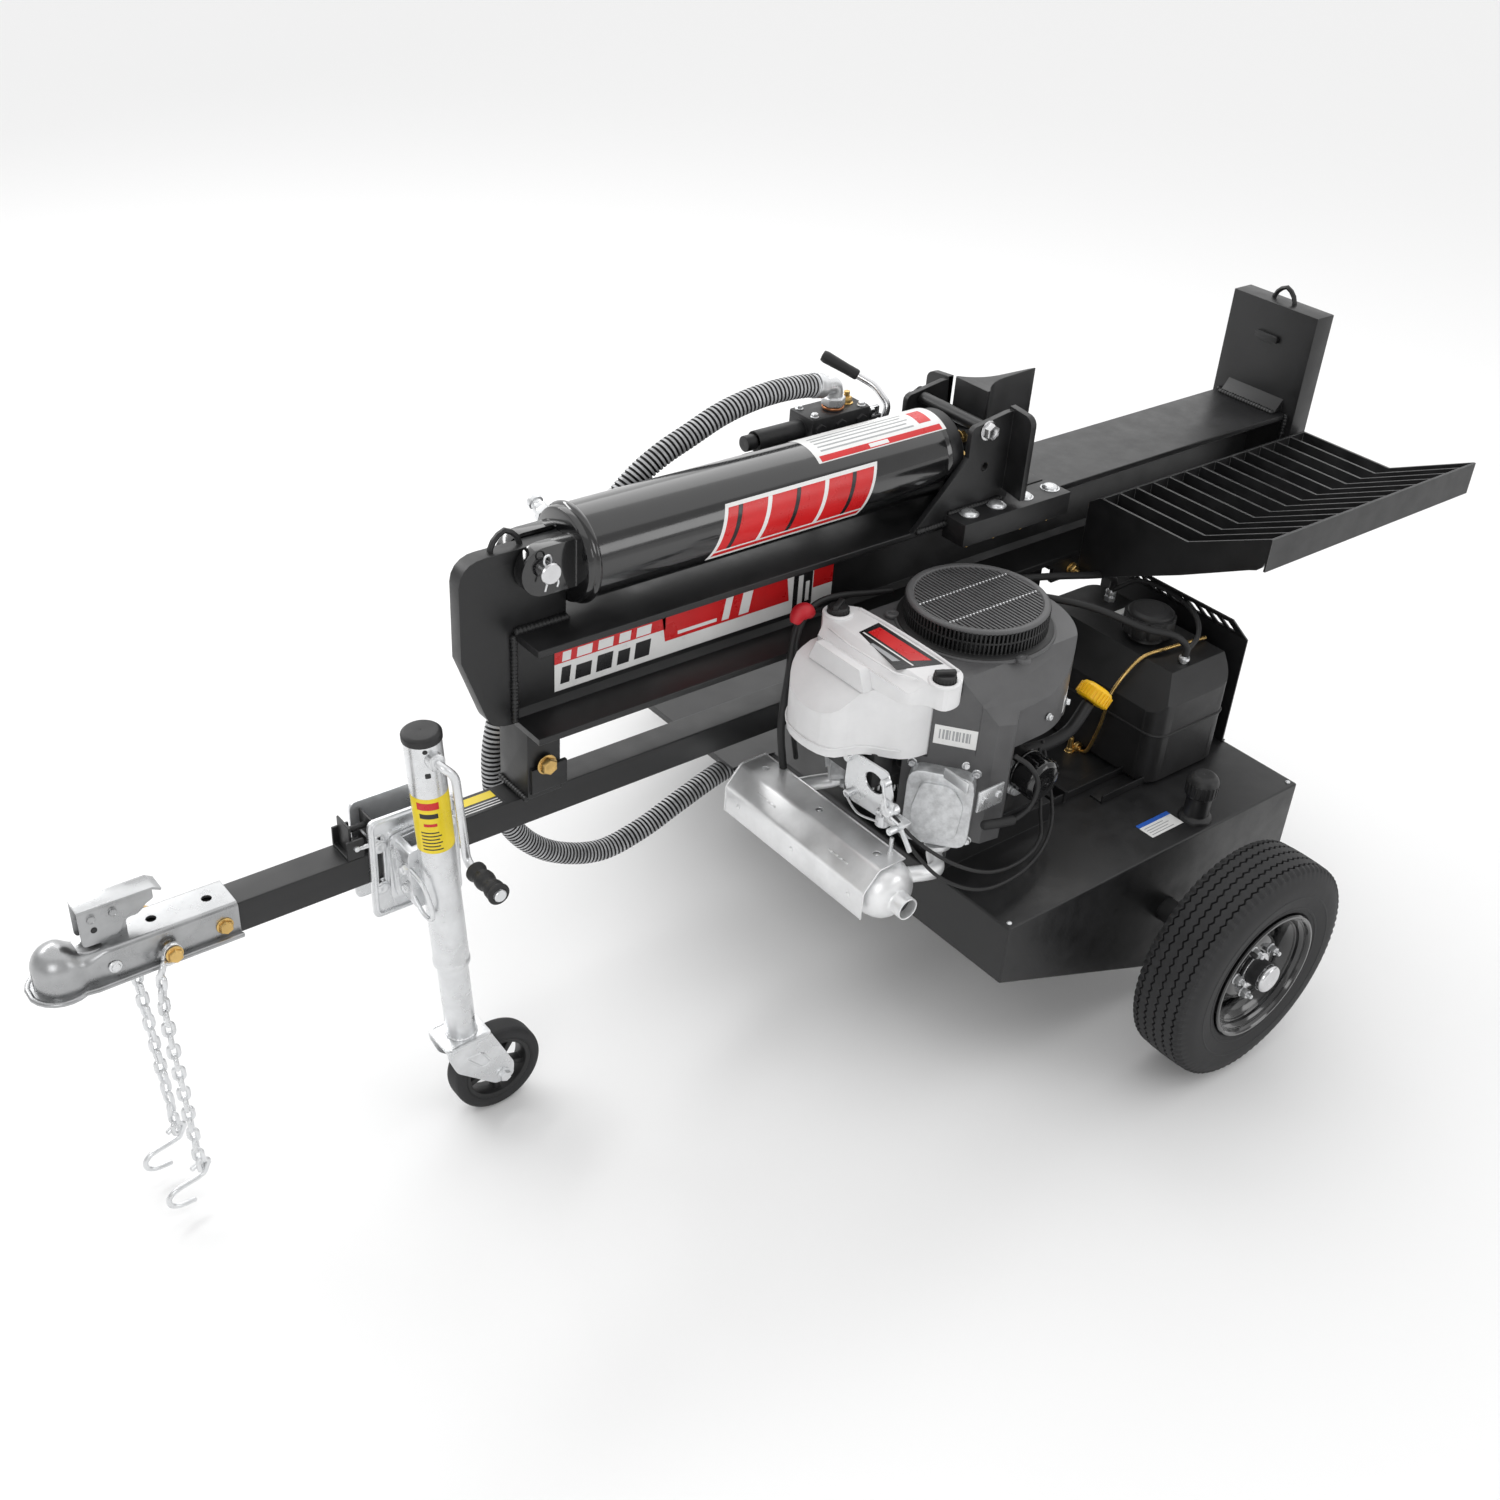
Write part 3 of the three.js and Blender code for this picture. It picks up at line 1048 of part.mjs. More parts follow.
// ---------------------------------------------------------------- the whole machine
const splitter = new THREE.Group();
splitter.name = "log_splitter";
splitter.add(
  beam(), anchorPlate(), footPlate(), beamPost(),
  crossBolt("post_bolt", -943, 574, -46.5, 46.5, 8, YELLOW_ZINC),
  rearRiser(), tongueTube(),
  couplerBody(), couplerLatch(),
  crossBolt("coupler_bolt_front", -1532, 488, -50.6, 50.6, 6.3, YELLOW_ZINC),
  chain("safety_chain_near", -1), chain("safety_chain_far", 1),
  jackMount(), jack(),
  oilTank(), reservoirCap(), axle(), wheel("near", -1), wheel("far", 1),
  cylinderBarrel(), cylinderGland(), pistonRod(), clevisPin(), wedge(), rodPin(),
  stripper("stripper_near", -1), stripper("stripper_far", 1),
  crossBolt("stripper_tie_rod", -122, 945, -STRIPPER.inner - STRIPPER.thick - GAP,
    STRIPPER.inner + STRIPPER.thick + GAP, 8, STEEL),
  valveBody(), valveSpool(), valveLever(), returnHose(), pressureHose(),
  logTray(), engine(), hydraulicPump(), muffler(), heatShield(),
  fuelTank(), fuelCap(), fuelTankGuard(),
);
splitter.position.x = -(COUPLER.nose + BEAM.rear + GAP + FOOT.thick) / 2;

export default splitter;
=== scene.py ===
"""Looks of a towed log splitter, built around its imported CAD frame."""

import json
import math
import random

import bmesh
import bpy
from mathutils import Matrix, Vector
from mathutils.geometry import tessellate_polygon


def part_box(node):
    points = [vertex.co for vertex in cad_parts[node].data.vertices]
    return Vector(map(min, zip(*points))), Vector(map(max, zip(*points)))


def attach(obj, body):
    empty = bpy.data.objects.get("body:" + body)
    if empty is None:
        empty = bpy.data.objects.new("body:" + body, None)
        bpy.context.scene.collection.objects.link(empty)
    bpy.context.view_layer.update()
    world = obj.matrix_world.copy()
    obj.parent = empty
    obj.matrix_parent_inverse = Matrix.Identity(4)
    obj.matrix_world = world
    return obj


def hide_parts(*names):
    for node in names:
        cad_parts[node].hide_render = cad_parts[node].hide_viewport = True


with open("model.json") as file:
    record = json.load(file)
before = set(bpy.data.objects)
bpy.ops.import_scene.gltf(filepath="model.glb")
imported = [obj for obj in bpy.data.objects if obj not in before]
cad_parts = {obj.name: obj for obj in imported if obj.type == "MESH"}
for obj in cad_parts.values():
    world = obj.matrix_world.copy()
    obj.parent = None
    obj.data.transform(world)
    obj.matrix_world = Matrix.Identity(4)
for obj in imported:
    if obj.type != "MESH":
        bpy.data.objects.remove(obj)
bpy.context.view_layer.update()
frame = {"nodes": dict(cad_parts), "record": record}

# Shapes are laid out in millimetres from the axle's middle on the ground, then put in the frame.
MM = 0.001
NODES = frame["nodes"]
SLOT_OF = {part["node"]: part["material_slot"] for part in frame["record"]["subparts"]}
BODY_OF = {node: body for body, members in frame["record"]["behaviour"]["bodies"].items()
    for node in members}


def middle(node):
    """Middle of a CAD node's box, in millimetres in the frame's own axes."""
    lo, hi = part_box(node)
    return (lo + hi) / (2 * MM)


ORIGIN = Vector((middle("axle").x, 0, 0))
TO_FRAME = Matrix.Scale(MM, 4) @ Matrix.Translation(ORIGIN)
RANDOM = random.Random(7)
SOFT_EDGE = 1.2
GRAIN_DEPTH = 0.4
COAT_ROUGHNESS = 0.08


def shift(x, y, z):
    return Matrix.Translation((x, y, z))


# ---------------------------------------------------------------- materials
def add(tree, kind, inputs=None, **settings):
    """A shader node with its settings, and its inputs set or linked."""
    made = tree.nodes.new("ShaderNode" + kind)
    for key, value in settings.items():
        setattr(made, key, value)
    for key, value in (inputs or {}).items():
        if isinstance(value, bpy.types.NodeSocket):
            tree.links.new(value, made.inputs[key])
        else:
            made.inputs[key].default_value = value
    return made


def mixed(tree, factor, a, b):
    """Colour output of a mix of two colours."""
    return add(tree, "Mix", {0: factor, 6: a, 7: b}, data_type="RGBA").outputs[2]


def ranged(tree, value, low, high, to_low, to_high):
    return add(tree, "MapRange", {"Value": value, "From Min": low, "From Max": high,
            "To Min": to_low, "To Max": to_high}).outputs["Result"]


def rgba(colour, scale=1.0):
    return (*(min(1.0, c * scale) for c in colour), 1.0)


def finish(name, colour, rough, metallic=0.0, mottle=0.15, cloud=22, grain=1400, bump=0.12,
        spread=0.08, coat=0.0, edge=None, blotch=None, brush=None):
    """Paint, metal, rubber or plastic: uneven colour and gloss, fine grain, edges lightened partly
    as wear and partly as painted highlight.
    """
    material = bpy.data.materials.new(name)
    material.use_nodes = True
    tree = material.node_tree
    shader = tree.nodes["Principled BSDF"]
    place = add(tree, "TexCoord").outputs["Object"]
    grain_place = place
    if brush:
        grain_place = add(tree, "Mapping", {"Vector": place, "Scale": brush}).outputs["Vector"]
    clouds = add(tree, "TexNoise", {"Vector": place, "Scale": cloud, "Detail": 5.0,
            "Roughness": 0.6}).outputs["Fac"]
    fine = add(tree, "TexNoise", {"Vector": grain_place, "Scale": grain, "Detail": 3.0,
            "Roughness": 0.55})
    patchy = ranged(tree, clouds, 0.36, 0.64, 0.0, 1.0)
    tone = mixed(tree, patchy, rgba(colour, 1 - mottle), rgba(colour, 1 + mottle))
    if blotch:
        cells = add(tree, "TexVoronoi", {"Vector": place, "Scale": blotch[0], "Randomness": 1.0},
            feature="SMOOTH_F1").outputs["Distance"]
        tone = mixed(tree, ranged(tree, cells, 0.15, 0.7, 0.0, blotch[1]), tone, rgba(colour, 0.55))
    gloss = ranged(tree, clouds, 0.3, 0.7, rough - spread, rough + spread)
    soft_normal = add(tree, "Bevel", {"Radius": SOFT_EDGE * MM}, samples=4).outputs["Normal"]
    # Edge colour on rounded edges: partly wear, partly a painted highlight where the edges catch
    # the light.
    if edge:
        flat = add(tree, "NewGeometry").outputs["Normal"]
        turn = add(tree, "VectorMath", {0: soft_normal, 1: flat}, operation="DOT_PRODUCT")
        worn_and_lit_edge = ranged(tree, turn.outputs["Value"], 0.985, 0.9, 0.0, 0.75)
        broken = ranged(tree, fine.outputs["Fac"], 0.35, 0.6, 0.35, 1.0)
        mask = add(tree, "Math", {0: worn_and_lit_edge, 1: broken}, operation="MULTIPLY").outputs[0]
        tone = mixed(tree, mask, tone, rgba(edge))
    bumped = add(tree, "Bump", {"Strength": bump, "Distance": GRAIN_DEPTH * MM,
            "Height": fine.outputs["Fac"], "Normal": soft_normal})
    tree.links.new(tone, shader.inputs["Base Color"])
    tree.links.new(gloss, shader.inputs["Roughness"])
    tree.links.new(bumped.outputs["Normal"], shader.inputs["Normal"])
    shader.inputs["Metallic"].default_value = metallic
    shader.inputs["Coat Weight"].default_value = coat
    shader.inputs["Coat Roughness"].default_value = COAT_ROUGHNESS
    return material


ZINC = (0.74, 0.75, 0.76)
# The edge colours below lighten rounded edges: partly wear, partly painted highlight.
LOOKS = {"satin_black_paint": dict(colour=(0.0105, 0.0106, 0.0112), rough=0.42, mottle=0.2,
        grain=900, bump=0.16, edge=(0.055, 0.056, 0.058)),
    "gloss_black_paint": dict(colour=(0.006, 0.006, 0.0065), rough=0.16, mottle=0.15, grain=260,
        bump=0.035, spread=0.04, coat=0.8), "bright_zinc": dict(colour=ZINC, rough=0.3,
        metallic=0.8, mottle=0.07, cloud=26, blotch=(40, 0.1), bump=0.025, grain=500),
    "yellow_zinc": dict(colour=(0.66, 0.44, 0.16), rough=0.28, metallic=0.95, mottle=0.1, cloud=30,
        grain=900, bump=0.03), "machined_steel": dict(colour=(0.66, 0.66, 0.67), rough=0.22,
        metallic=1.0, mottle=0.08, grain=500, brush=(1, 8, 1), bump=0.08),
    "hard_chrome": dict(colour=(0.78, 0.79, 0.8), rough=0.08, metallic=1.0, mottle=0.03, grain=900,
        brush=(6, 1, 1), bump=0.03, spread=0.03),
    "black_casting": dict(colour=(0.016, 0.016, 0.017), rough=0.5, mottle=0.3, cloud=60, grain=420,
        bump=0.35, edge=(0.05, 0.05, 0.052)), "cast_aluminium": dict(colour=(0.66, 0.67, 0.68),
        rough=0.42, metallic=0.7, mottle=0.16, cloud=70, grain=420, bump=0.3,
        edge=(0.75, 0.76, 0.77)), "aluminised_steel": dict(colour=(0.84, 0.845, 0.85), rough=0.36,
        metallic=0.7, mottle=0.07, cloud=16, grain=600, brush=(1, 0.12, 1), bump=0.1),
    "tyre_rubber": dict(colour=(0.017, 0.017, 0.018), rough=0.72, mottle=0.3, cloud=55, grain=520,
        bump=0.3, edge=(0.05, 0.05, 0.052)), "black_rubber": dict(colour=(0.012, 0.012, 0.0125),
        rough=0.6, mottle=0.2, grain=700, bump=0.2),
    "black_plastic": dict(colour=(0.011, 0.011, 0.0115), rough=0.5, mottle=0.15, grain=1500,
        bump=0.28), "charcoal_plastic": dict(colour=(0.085, 0.085, 0.087), rough=0.46, mottle=0.1,
        grain=1600, bump=0.22), "grey_plastic": dict(colour=(0.78, 0.78, 0.785), rough=0.4,
        mottle=0.04, cloud=12, grain=1400, bump=0.14),
    "yellow_plastic": dict(colour=(0.9, 0.52, 0.005), rough=0.36, mottle=0.05, grain=1200,
        bump=0.1), "spiral_guard": dict(colour=(0.42, 0.425, 0.435), rough=0.36, mottle=0.25,
        cloud=40, grain=600, bump=0.1)}
FINISH = {name: finish(name, **look) for name, look in LOOKS.items()}
# Satin black for the log tray with bright grey edges: a painted highlight on the slat edges where
# they catch the light, over the usual edge wear.
TRAY_PAINT_LIT_EDGES = finish("tray_paint_lit_edges", **(LOOKS["satin_black_paint"] | {"edge": (0.42, 0.425, 0.43)}))
INK = {"white": finish("label_white", (0.82, 0.82, 0.81), 0.32, mottle=0.03, bump=0.03),
    "red": finish("label_red", (0.62, 0.012, 0.014), 0.3, mottle=0.06, bump=0.03),
    "yellow": finish("label_yellow", (0.86, 0.66, 0.02), 0.34, mottle=0.05, bump=0.03),
    "blue": finish("label_blue", (0.02, 0.11, 0.5), 0.34, mottle=0.05, bump=0.03),
    "black": finish("label_black", (0.012, 0.012, 0.013), 0.3, mottle=0.05, bump=0.03),
    "grey": finish("label_grey", (0.36, 0.37, 0.38), 0.36, mottle=0.05, bump=0.03)}
# Painted shade: a darker copy of the bright zinc for the coupler hood, flange and latch, so their
# upward faces under the overhead lamp don't burn out to white.
COUPLER_SHADED_ZINC = finish("coupler_shaded_zinc", (0.4, 0.405, 0.41), 0.3, metallic=0.9, mottle=0.09, cloud=26,
    blotch=(40, 0.12), bump=0.025, grain=500)
RED_RUBBER = finish("red_rubber", (0.5, 0.01, 0.02), 0.45, mottle=0.1, grain=700, bump=0.15)
COPPER = finish("copper", (0.72, 0.3, 0.14), 0.3, metallic=1.0, mottle=0.1, grain=600, bump=0.05)


# ---------------------------------------------------------------- mesh tools
def soft(points, radius, steps=3, closed=True):
    """Points with each corner rounded by a short curve."""
    corners = [Vector(p) for p in points]
    out = []
    for i, corner in enumerate(corners):
        before, after = corners[i - 1], corners[(i + 1) % len(corners)]
        r = radius[i] if isinstance(radius, (list, tuple)) else radius
        r = min(r, 0.48 * (before - corner).length, 0.48 * (after - corner).length)
        if r < 0.05 or (not closed and i in (0, len(corners) - 1)):
            out.append(corner)
            continue
        start = corner + (before - corner).normalized() * r
        end = corner + (after - corner).normalized() * r
        for k in range(steps + 1):
            t = k / steps
            out.append(start * (1 - t) ** 2 + corner * 2 * t * (1 - t) + end * t * t)
    return out


def rect(x0, x1, y0, y1, r=0.0, steps=4):
    return soft([(x0, y0), (x1, y0), (x1, y1), (x0, y1)], r, steps)


def arc(cx, cy, r, start, end, steps=12):
    """Points on an arc, angles in degrees."""
    return [(cx + r * math.cos(math.radians(start + (end - start) * k / steps)),
            cy + r * math.sin(math.radians(start + (end - start) * k / steps)))
        for k in range(steps + 1)]


PLACE = {"x": lambda a, b, s: (s, a, b), "y": lambda a, b, s: (a, s, b), "z": lambda a, b,
    s: (a, b, s)}


def face(bm, verts):
    """A face over the distinct ones of verts, if there are three."""
    kept = []
    for v in verts:
        if v not in kept:
            kept.append(v)
    if len(kept) > 2:
        return bm.faces.new(kept)


def lathe(profile, axis="z", sides=48):
    """A closed (radius, station) profile turned about an axis."""
    bm = bmesh.new()
    rings = []
    for r, s in profile:
        if r < 1e-6:
            rings.append([bm.verts.new(PLACE[axis](0, 0, s))] * sides)
            continue
        ring = []
        for i in range(sides):
            angle = 2 * math.pi * (i + 0.5) / sides
            ring.append(bm.verts.new(PLACE[axis](r * math.cos(angle), r * math.sin(angle), s)))
        rings.append(ring)
    for a, b in zip(rings, rings[1:] + rings[:1]):
        for i in range(sides):
            j = (i + 1) % sides
            face(bm, [a[i], a[j], b[j], b[i]])
    return bm


def turned(points, radius=0.0, axis="z", sides=48):
    """A lathe shape whose profile has rounded corners."""
    return lathe(soft(points, radius), axis, sides)


def prism(axis, outline, lo, hi):
    """An outline extruded along an axis."""
    bm = bmesh.new()
    ends = [[bm.verts.new(PLACE[axis](p[0], p[1], s)) for p in outline] for s in (lo, hi)]
    for i in range(len(outline)):
        j = (i + 1) % len(outline)
        face(bm, [ends[0][i], ends[0][j], ends[1][j], ends[1][i]])
    caps = []
    for tri in tessellate_polygon([[Vector((p[0], p[1], 0)) for p in outline]]):
        for verts in ends:
            made = face(bm, [verts[i] for i in tri])
            if made:
                caps.append(made)
    inner = [e for f in caps for e in f.edges]
    bmesh.ops.dissolve_limit(bm, angle_limit=0.002, verts=[], edges=list(set(inner)))
    return bm


def block(x0, x1, y0, y1, z0, z1):
    return prism("z", rect(x0, x1, y0, y1), z0, z1)


def disc(axis, radius, lo, hi, a, b, sides=32, chamfer=0.8):
    """A round bar with softened rims, centred at (a, b) in the other two coordinates."""
    bm = lathe([(0, lo), (radius - chamfer, lo), (radius, lo + chamfer), (radius, hi - chamfer),
            (radius - chamfer, hi), (0, hi)], axis, sides)
    bm.transform(shift(*PLACE[axis](a, b, 0)))
    return bm


def catmull(points, step):
    """Evenly spaced points on the centripetal curve through points."""
    p = [Vector(q) for q in points]
    p = [2 * p[0] - p[1], *p, 2 * p[-1] - p[-2]]
    out = [p[1]]
    for i in range(1, len(p) - 2):
        a, b, c, d = p[i - 1:i + 3]
        t1 = (b - a).length ** 0.5
        t2 = t1 + (c - b).length ** 0.5
        t3 = t2 + (d - c).length ** 0.5
        count = max(3, int((c - b).length / 3))
        for k in range(1, count + 1):
            t = t1 + (t2 - t1) * k / count
            u = a * (t1 - t) / t1 + b * t / t1
            v = b * (t2 - t) / (t2 - t1) + c * (t - t1) / (t2 - t1)
            w = c * (t3 - t) / (t3 - t2) + d * (t - t2) / (t3 - t2)
            m = u * (t2 - t) / t2 + v * t / t2
            n = v * (t3 - t) / (t3 - t1) + w * (t - t1) / (t3 - t1)
            out.append(m * (t2 - t) / (t2 - t1) + n * (t - t1) / (t2 - t1))
    return even(out, step)


def even(points, step):
    """Points spaced evenly along a polyline."""
    lengths = [0.0]
    for a, b in zip(points, points[1:]):
        lengths.append(lengths[-1] + (b - a).length)
    count = max(1, round(lengths[-1] / step))
    out, i = [], 0
    for k in range(count + 1):
        want = lengths[-1] * k / count
        while i < len(points) - 2 and lengths[i + 1] < want:
            i += 1
        span = max(1e-9, lengths[i + 1] - lengths[i])
        out.append(points[i].lerp(points[i + 1], (want - lengths[i]) / span))
    return out


def frames(points, closed=False):
    """A pair of cross directions at each point, turned as little as possible along the way."""
    count = len(points)
    tangents = []
    for i in range(count):
        a = points[(i - 1) % count] if closed or i else points[0]
        b = points[(i + 1) % count] if closed or i < count - 1 else points[-1]
        tangents.append((b - a).normalized())
    up = Vector((0, 0, 1)) if abs(tangents[0].z) < 0.9 else Vector((0, 1, 0))
    normal = (up - tangents[0] * up.dot(tangents[0])).normalized()
    out = []
    for tangent in tangents:
        normal = (normal - tangent * normal.dot(tangent)).normalized()
        out.append((normal, tangent.cross(normal)))
    return out


def sweep(points, radius, sides=14, closed=False):
    """A round rod along points; radius is a number or a function of (index, share of length)."""
    points = [Vector(p) for p in points]
    bm = bmesh.new()
    rings = []
    count = len(points)
    cross = frames(points, closed)
    for i, (p, (n, m)) in enumerate(zip(points, cross)):
        r = radius(i, i / max(1, count - 1)) if callable(radius) else radius
        rings.append([bm.verts.new(p + n * r * math.cos(a) + m * r * math.sin(a))
                for a in (2 * math.pi * k / sides for k in range(sides))])
    pairs = list(zip(rings, rings[1:])) + ([(rings[-1], rings[0])] if closed else [])
    for a, b in pairs:
        for k in range(sides):
            j = (k + 1) % sides
            bm.faces.new((a[k], a[j], b[j], b[k]))
    if not closed:
        for ring, p, q in ((rings[0], points[0], points[1]), (rings[-1], points[-1], points[-2])):
            away = (p - q).normalized()
            tip = [bm.verts.new(p.lerp(v.co, 0.72) + away * (v.co - p).length * 0.3) for v in ring]
            for k in range(sides):
                j = (k + 1) % sides
                bm.faces.new((ring[k], ring[j], tip[j], tip[k]))
            bm.faces.new(tip)
    return bm


def bent(points, bend, radius, step=5.0, sides=14):
    """A rod with straight legs and rounded bends."""
    return sweep(even(soft(points, bend, 6, closed=False), step), radius, sides)


def merged(*parts):
    """One mesh from several, which are used up."""
    whole = bmesh.new()
    for part in parts:
        held = bpy.data.meshes.new("held")
        part.to_mesh(held)
        whole.from_mesh(held)
        bpy.data.meshes.remove(held)
        part.free()
    return whole


def aim(spot, direction):
    """Matrix that stands a shape made along Z on a spot, facing a direction."""
    turn = Vector(direction).to_track_quat("Z", "Y").to_matrix().to_4x4()
    return Matrix.Translation(spot) @ turn


def moved(bm, matrix):
    bm.transform(matrix)
    return bm


def stood(bm, spot, direction):
    """A shape made along Z, moved to a spot and facing a direction."""
    return moved(bm, aim(spot, direction))


def spun(make, count, axis, start=0.0):
    """Copies of a shape turned evenly about an axis."""
    return [moved(make(), Matrix.Rotation(2 * math.pi * k / count + start, 4, axis))
        for k in range(count)]


def outward(bm):
    bmesh.ops.recalc_face_normals(bm, faces=bm.faces)
    return bm


def carved(base, joins=(), cuts=()):
    """base with solids joined to it, then others cut from it."""
    made = []

    def held(bm):
        outward(bm)
        data = bpy.data.meshes.new("held")
        bm.to_mesh(data)
        bm.free()
        obj = bpy.data.objects.new("held", data)
        bpy.context.scene.collection.objects.link(obj)
        made.append(obj)
        return obj

    target = held(base)
    for operation, tools in (("UNION", joins), ("DIFFERENCE", cuts)):
        for tool in tools:
            step = target.modifiers.new(operation, "BOOLEAN")
            step.operation = operation
            step.object = held(tool)
            step.solver = "EXACT"
    graph = bpy.context.evaluated_depsgraph_get()
    result = bpy.data.meshes.new_from_object(target.evaluated_get(graph))
    bm = bmesh.new()
    bm.from_mesh(result)
    bpy.data.meshes.remove(result)
    for obj in made:
        data = obj.data
        bpy.data.objects.remove(obj)
        bpy.data.meshes.remove(data)
    bmesh.ops.remove_doubles(bm, verts=bm.verts, dist=0.01)
    bmesh.ops.dissolve_limit(bm, angle_limit=0.004, verts=bm.verts, edges=bm.edges)
    return bm


def eased(bm, width, least=6.0, angle=38.0, segments=2, pick=None):
    """Rounds the long outer edges that are sharper than an angle."""
    outward(bm)
    chosen = [e for e in bm.edges if len(e.link_faces) == 2 and e.is_convex
        and e.calc_length() > least and e.calc_face_angle() > math.radians(angle)
        and (pick is None or pick(e))]
    bmesh.ops.bevel(bm, geom=chosen, offset=width, segments=segments, profile=0.6, affect="EDGES",
        clamp_overlap=True)
    return bm


def build(name, bm, slot, body, at=None, smooth=38, replaces=(), materials=None):
    """Puts a mesh made in millimetres in the frame, on a body, with its finish."""
    bm.transform(TO_FRAME @ at if at else TO_FRAME)
    outward(bm)
    data = bpy.data.meshes.new(name)
    bm.to_mesh(data)
    bm.free()
    stale = data.attributes.get("custom_normal")
    if stale:
        data.attributes.remove(stale)
    for material in materials or [FINISH[slot]]:
        data.materials.append(material)
    data.shade_smooth()
    data.set_sharp_from_angle(angle=math.radians(smooth))
    obj = bpy.data.objects.new(name, data)
    bpy.context.scene.collection.objects.link(obj)
    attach(obj, body)
    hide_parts(*replaces)
    return obj


def dressed_copy(node, width=1.5, least=8.0, angle=38.0, segments=2, pick=None):
    """A CAD node's own shape with its long sharp edges rounded."""
    bm = bmesh.new()
    bm.from_mesh(NODES[node].data)
    bmesh.ops.remove_doubles(bm, verts=bm.verts, dist=1e-5)
    bm.transform(TO_FRAME.inverted())
    bmesh.ops.dissolve_limit(bm, angle_limit=0.01, verts=bm.verts, edges=bm.edges)
    for f in bm.faces:
        f.material_index = 0
    return eased(bm, width, least, angle, segments, pick)


def dressed(node, **rounding):
    """A CAD node's own shape with its edges rounded, standing for the node."""
    return build(node + "_shape", dressed_copy(node, **rounding), SLOT_OF[node], BODY_OF[node],
        replaces=(node,))


# ---------------------------------------------------------------- small parts
def hex_head(size, height):
    """Hexagon head or nut on a washer, standing on z = 0; size is across the corners."""
    r = size / 2
    washer = lathe([(0, 0), (r * 1.12, 0), (r * 1.18, 0.5), (r * 1.18, 1.4), (r * 1.1, 1.8),
            (0, 1.8)], sides=28)
    head = lathe([(0, 1.6), (r, 1.6), (r, 1.6 + height * 0.78), (r * 0.87, 1.6 + height),
            (r * 0.5, 1.6 + height), (r * 0.45, 1.4 + height), (0, 1.4 + height)], sides=6)
    return merged(washer, head)


def dome_head(size, height):
    r = size / 2
    profile = [(r * math.cos(t), height * math.sin(t)) for t in (math.pi / 2 * k / 6
            for k in range(7))]
    return lathe([(0, 0)] + profile[:-1] + [(0, height)], sides=28)


def stud_nut(size, height):
    """Nut with the threaded end of its bolt standing out of it."""
    r = size / 2
    crest = []
    for k in range(7):
        s = height + 1.6 + k * 1.1
        crest += [(r * 0.5, s), (r * 0.43, s + 0.55)]
    return merged(hex_head(size, height),
        lathe([(0, 1.0), (r * 0.46, 1.0)] + crest + [(r * 0.36, height + 9.8), (0, height + 9.8)],
            sides=20))


def fasteners(name, make, spots, slot, body, at=None):
    """Copies of a small part at (spot, direction) pairs, as one piece."""
    return build(name, merged(*(stood(make(), spot, direction) for spot, direction in spots)), slot,
        body, at=at, smooth=30)


def weld(name, points, size=4.5, body="frame", at=None, slot="satin_black_paint"):
    """Weld bead with the ripples of its pool."""
    line = even([Vector(p) for p in points], 1.6)
    drift = [RANDOM.uniform(-0.12, 0.12) for _ in range(len(line) // 4 + 3)]

    def radius(i, _):
        a, b = drift[i // 4], drift[i // 4 + 1]
        slow = a + (b - a) * (i % 4) / 4
        return size * (1 + 0.13 * math.sin(i * 2 * math.pi / 4) + slow)

    return build(name, sweep(line, radius, 10), slot, body, at=at, smooth=70)


# ---------------------------------------------------------------- wheels
AXLE_Z = middle("axle").z
TREAD = 204.2
HALF_TRACK = 696
ZIGZAGS = 84
GROOVES = (-36.0, -18.5, 0.0, 18.5, 36.0)


def tyre():
    """Tyre about Y with zigzag grooves, notched shoulders and ribbed sidewalls."""
    columns = ZIGZAGS * 4
    zig = (0.0, 1.0, 0.0, -1.0)

    def crown(s):
        return TREAD - 2.4 * (s / 47) ** 2

    side = [(116, 45), (117, 50), (121, 53.5), (127, 54.6), (128, 55.8), (131, 56.2), (132, 55.4),
        (142, 57.8), (152, 59.2), (153, 60), (155, 60), (156, 59.3), (165, 59.5), (174, 58.4),
        (182, 56), (189, 52.6)]
    inner = [(190, -40), (190, 40)]
    bm = bmesh.new()
    rings = []
    for i in range(columns):
        angle = 2 * math.pi * i / columns
        swing = 2.3 * zig[i % 4]
        notch = 3.2 if i % 4 in (1, 2) else 0.0
        row = [(r, -s) for r, s in side]
        row += [(197 - notch, -50.2), (201.0 - notch, -46.5)]
        for g in GROOVES:
            sway = swing * (1 if abs(g) > 20 else -1)
            for ds, dr in ((-2.0, 0), (-1.3, -6), (1.3, -6), (2.0, 0)):
                row.append((crown(g) + dr, g + sway + ds))
        row += [(201.0 - notch, 46.5), (197 - notch, 50.2)]
        row += list(reversed(side)) + list(reversed(inner))
        rings.append([bm.verts.new((r * math.cos(angle), s, r * math.sin(angle))) for r, s in row])
    for a, b in zip(rings, rings[1:] + rings[:1]):
        for k in range(len(a)):
            j = (k + 1) % len(a)
            bm.faces.new((a[k], a[j], b[j], b[k]))
    return bm


RIM_BARREL = [(117.5, 53), (118.2, 57), (116.5, 59.2), (113, 59.4), (110.5, 57), (108.6, 52),
    (104, 49.4), (101, 45.5), (100, 41), (96.5, 37.5), (92.5, 35), (88.5, 30), (84.5, 24), (82, 17),
    (80.5, 9), (80, -4), (80, -24), (86, -36), (98, -48), (104, -53), (110, -58), (117.5, -58),
    (117.5, -52), (108, -50), (101, -45), (90, -32), (84.5, -22), (84.5, 8), (87, 18), (92, 29),
    (97, 38), (104, 44), (107, 52)]


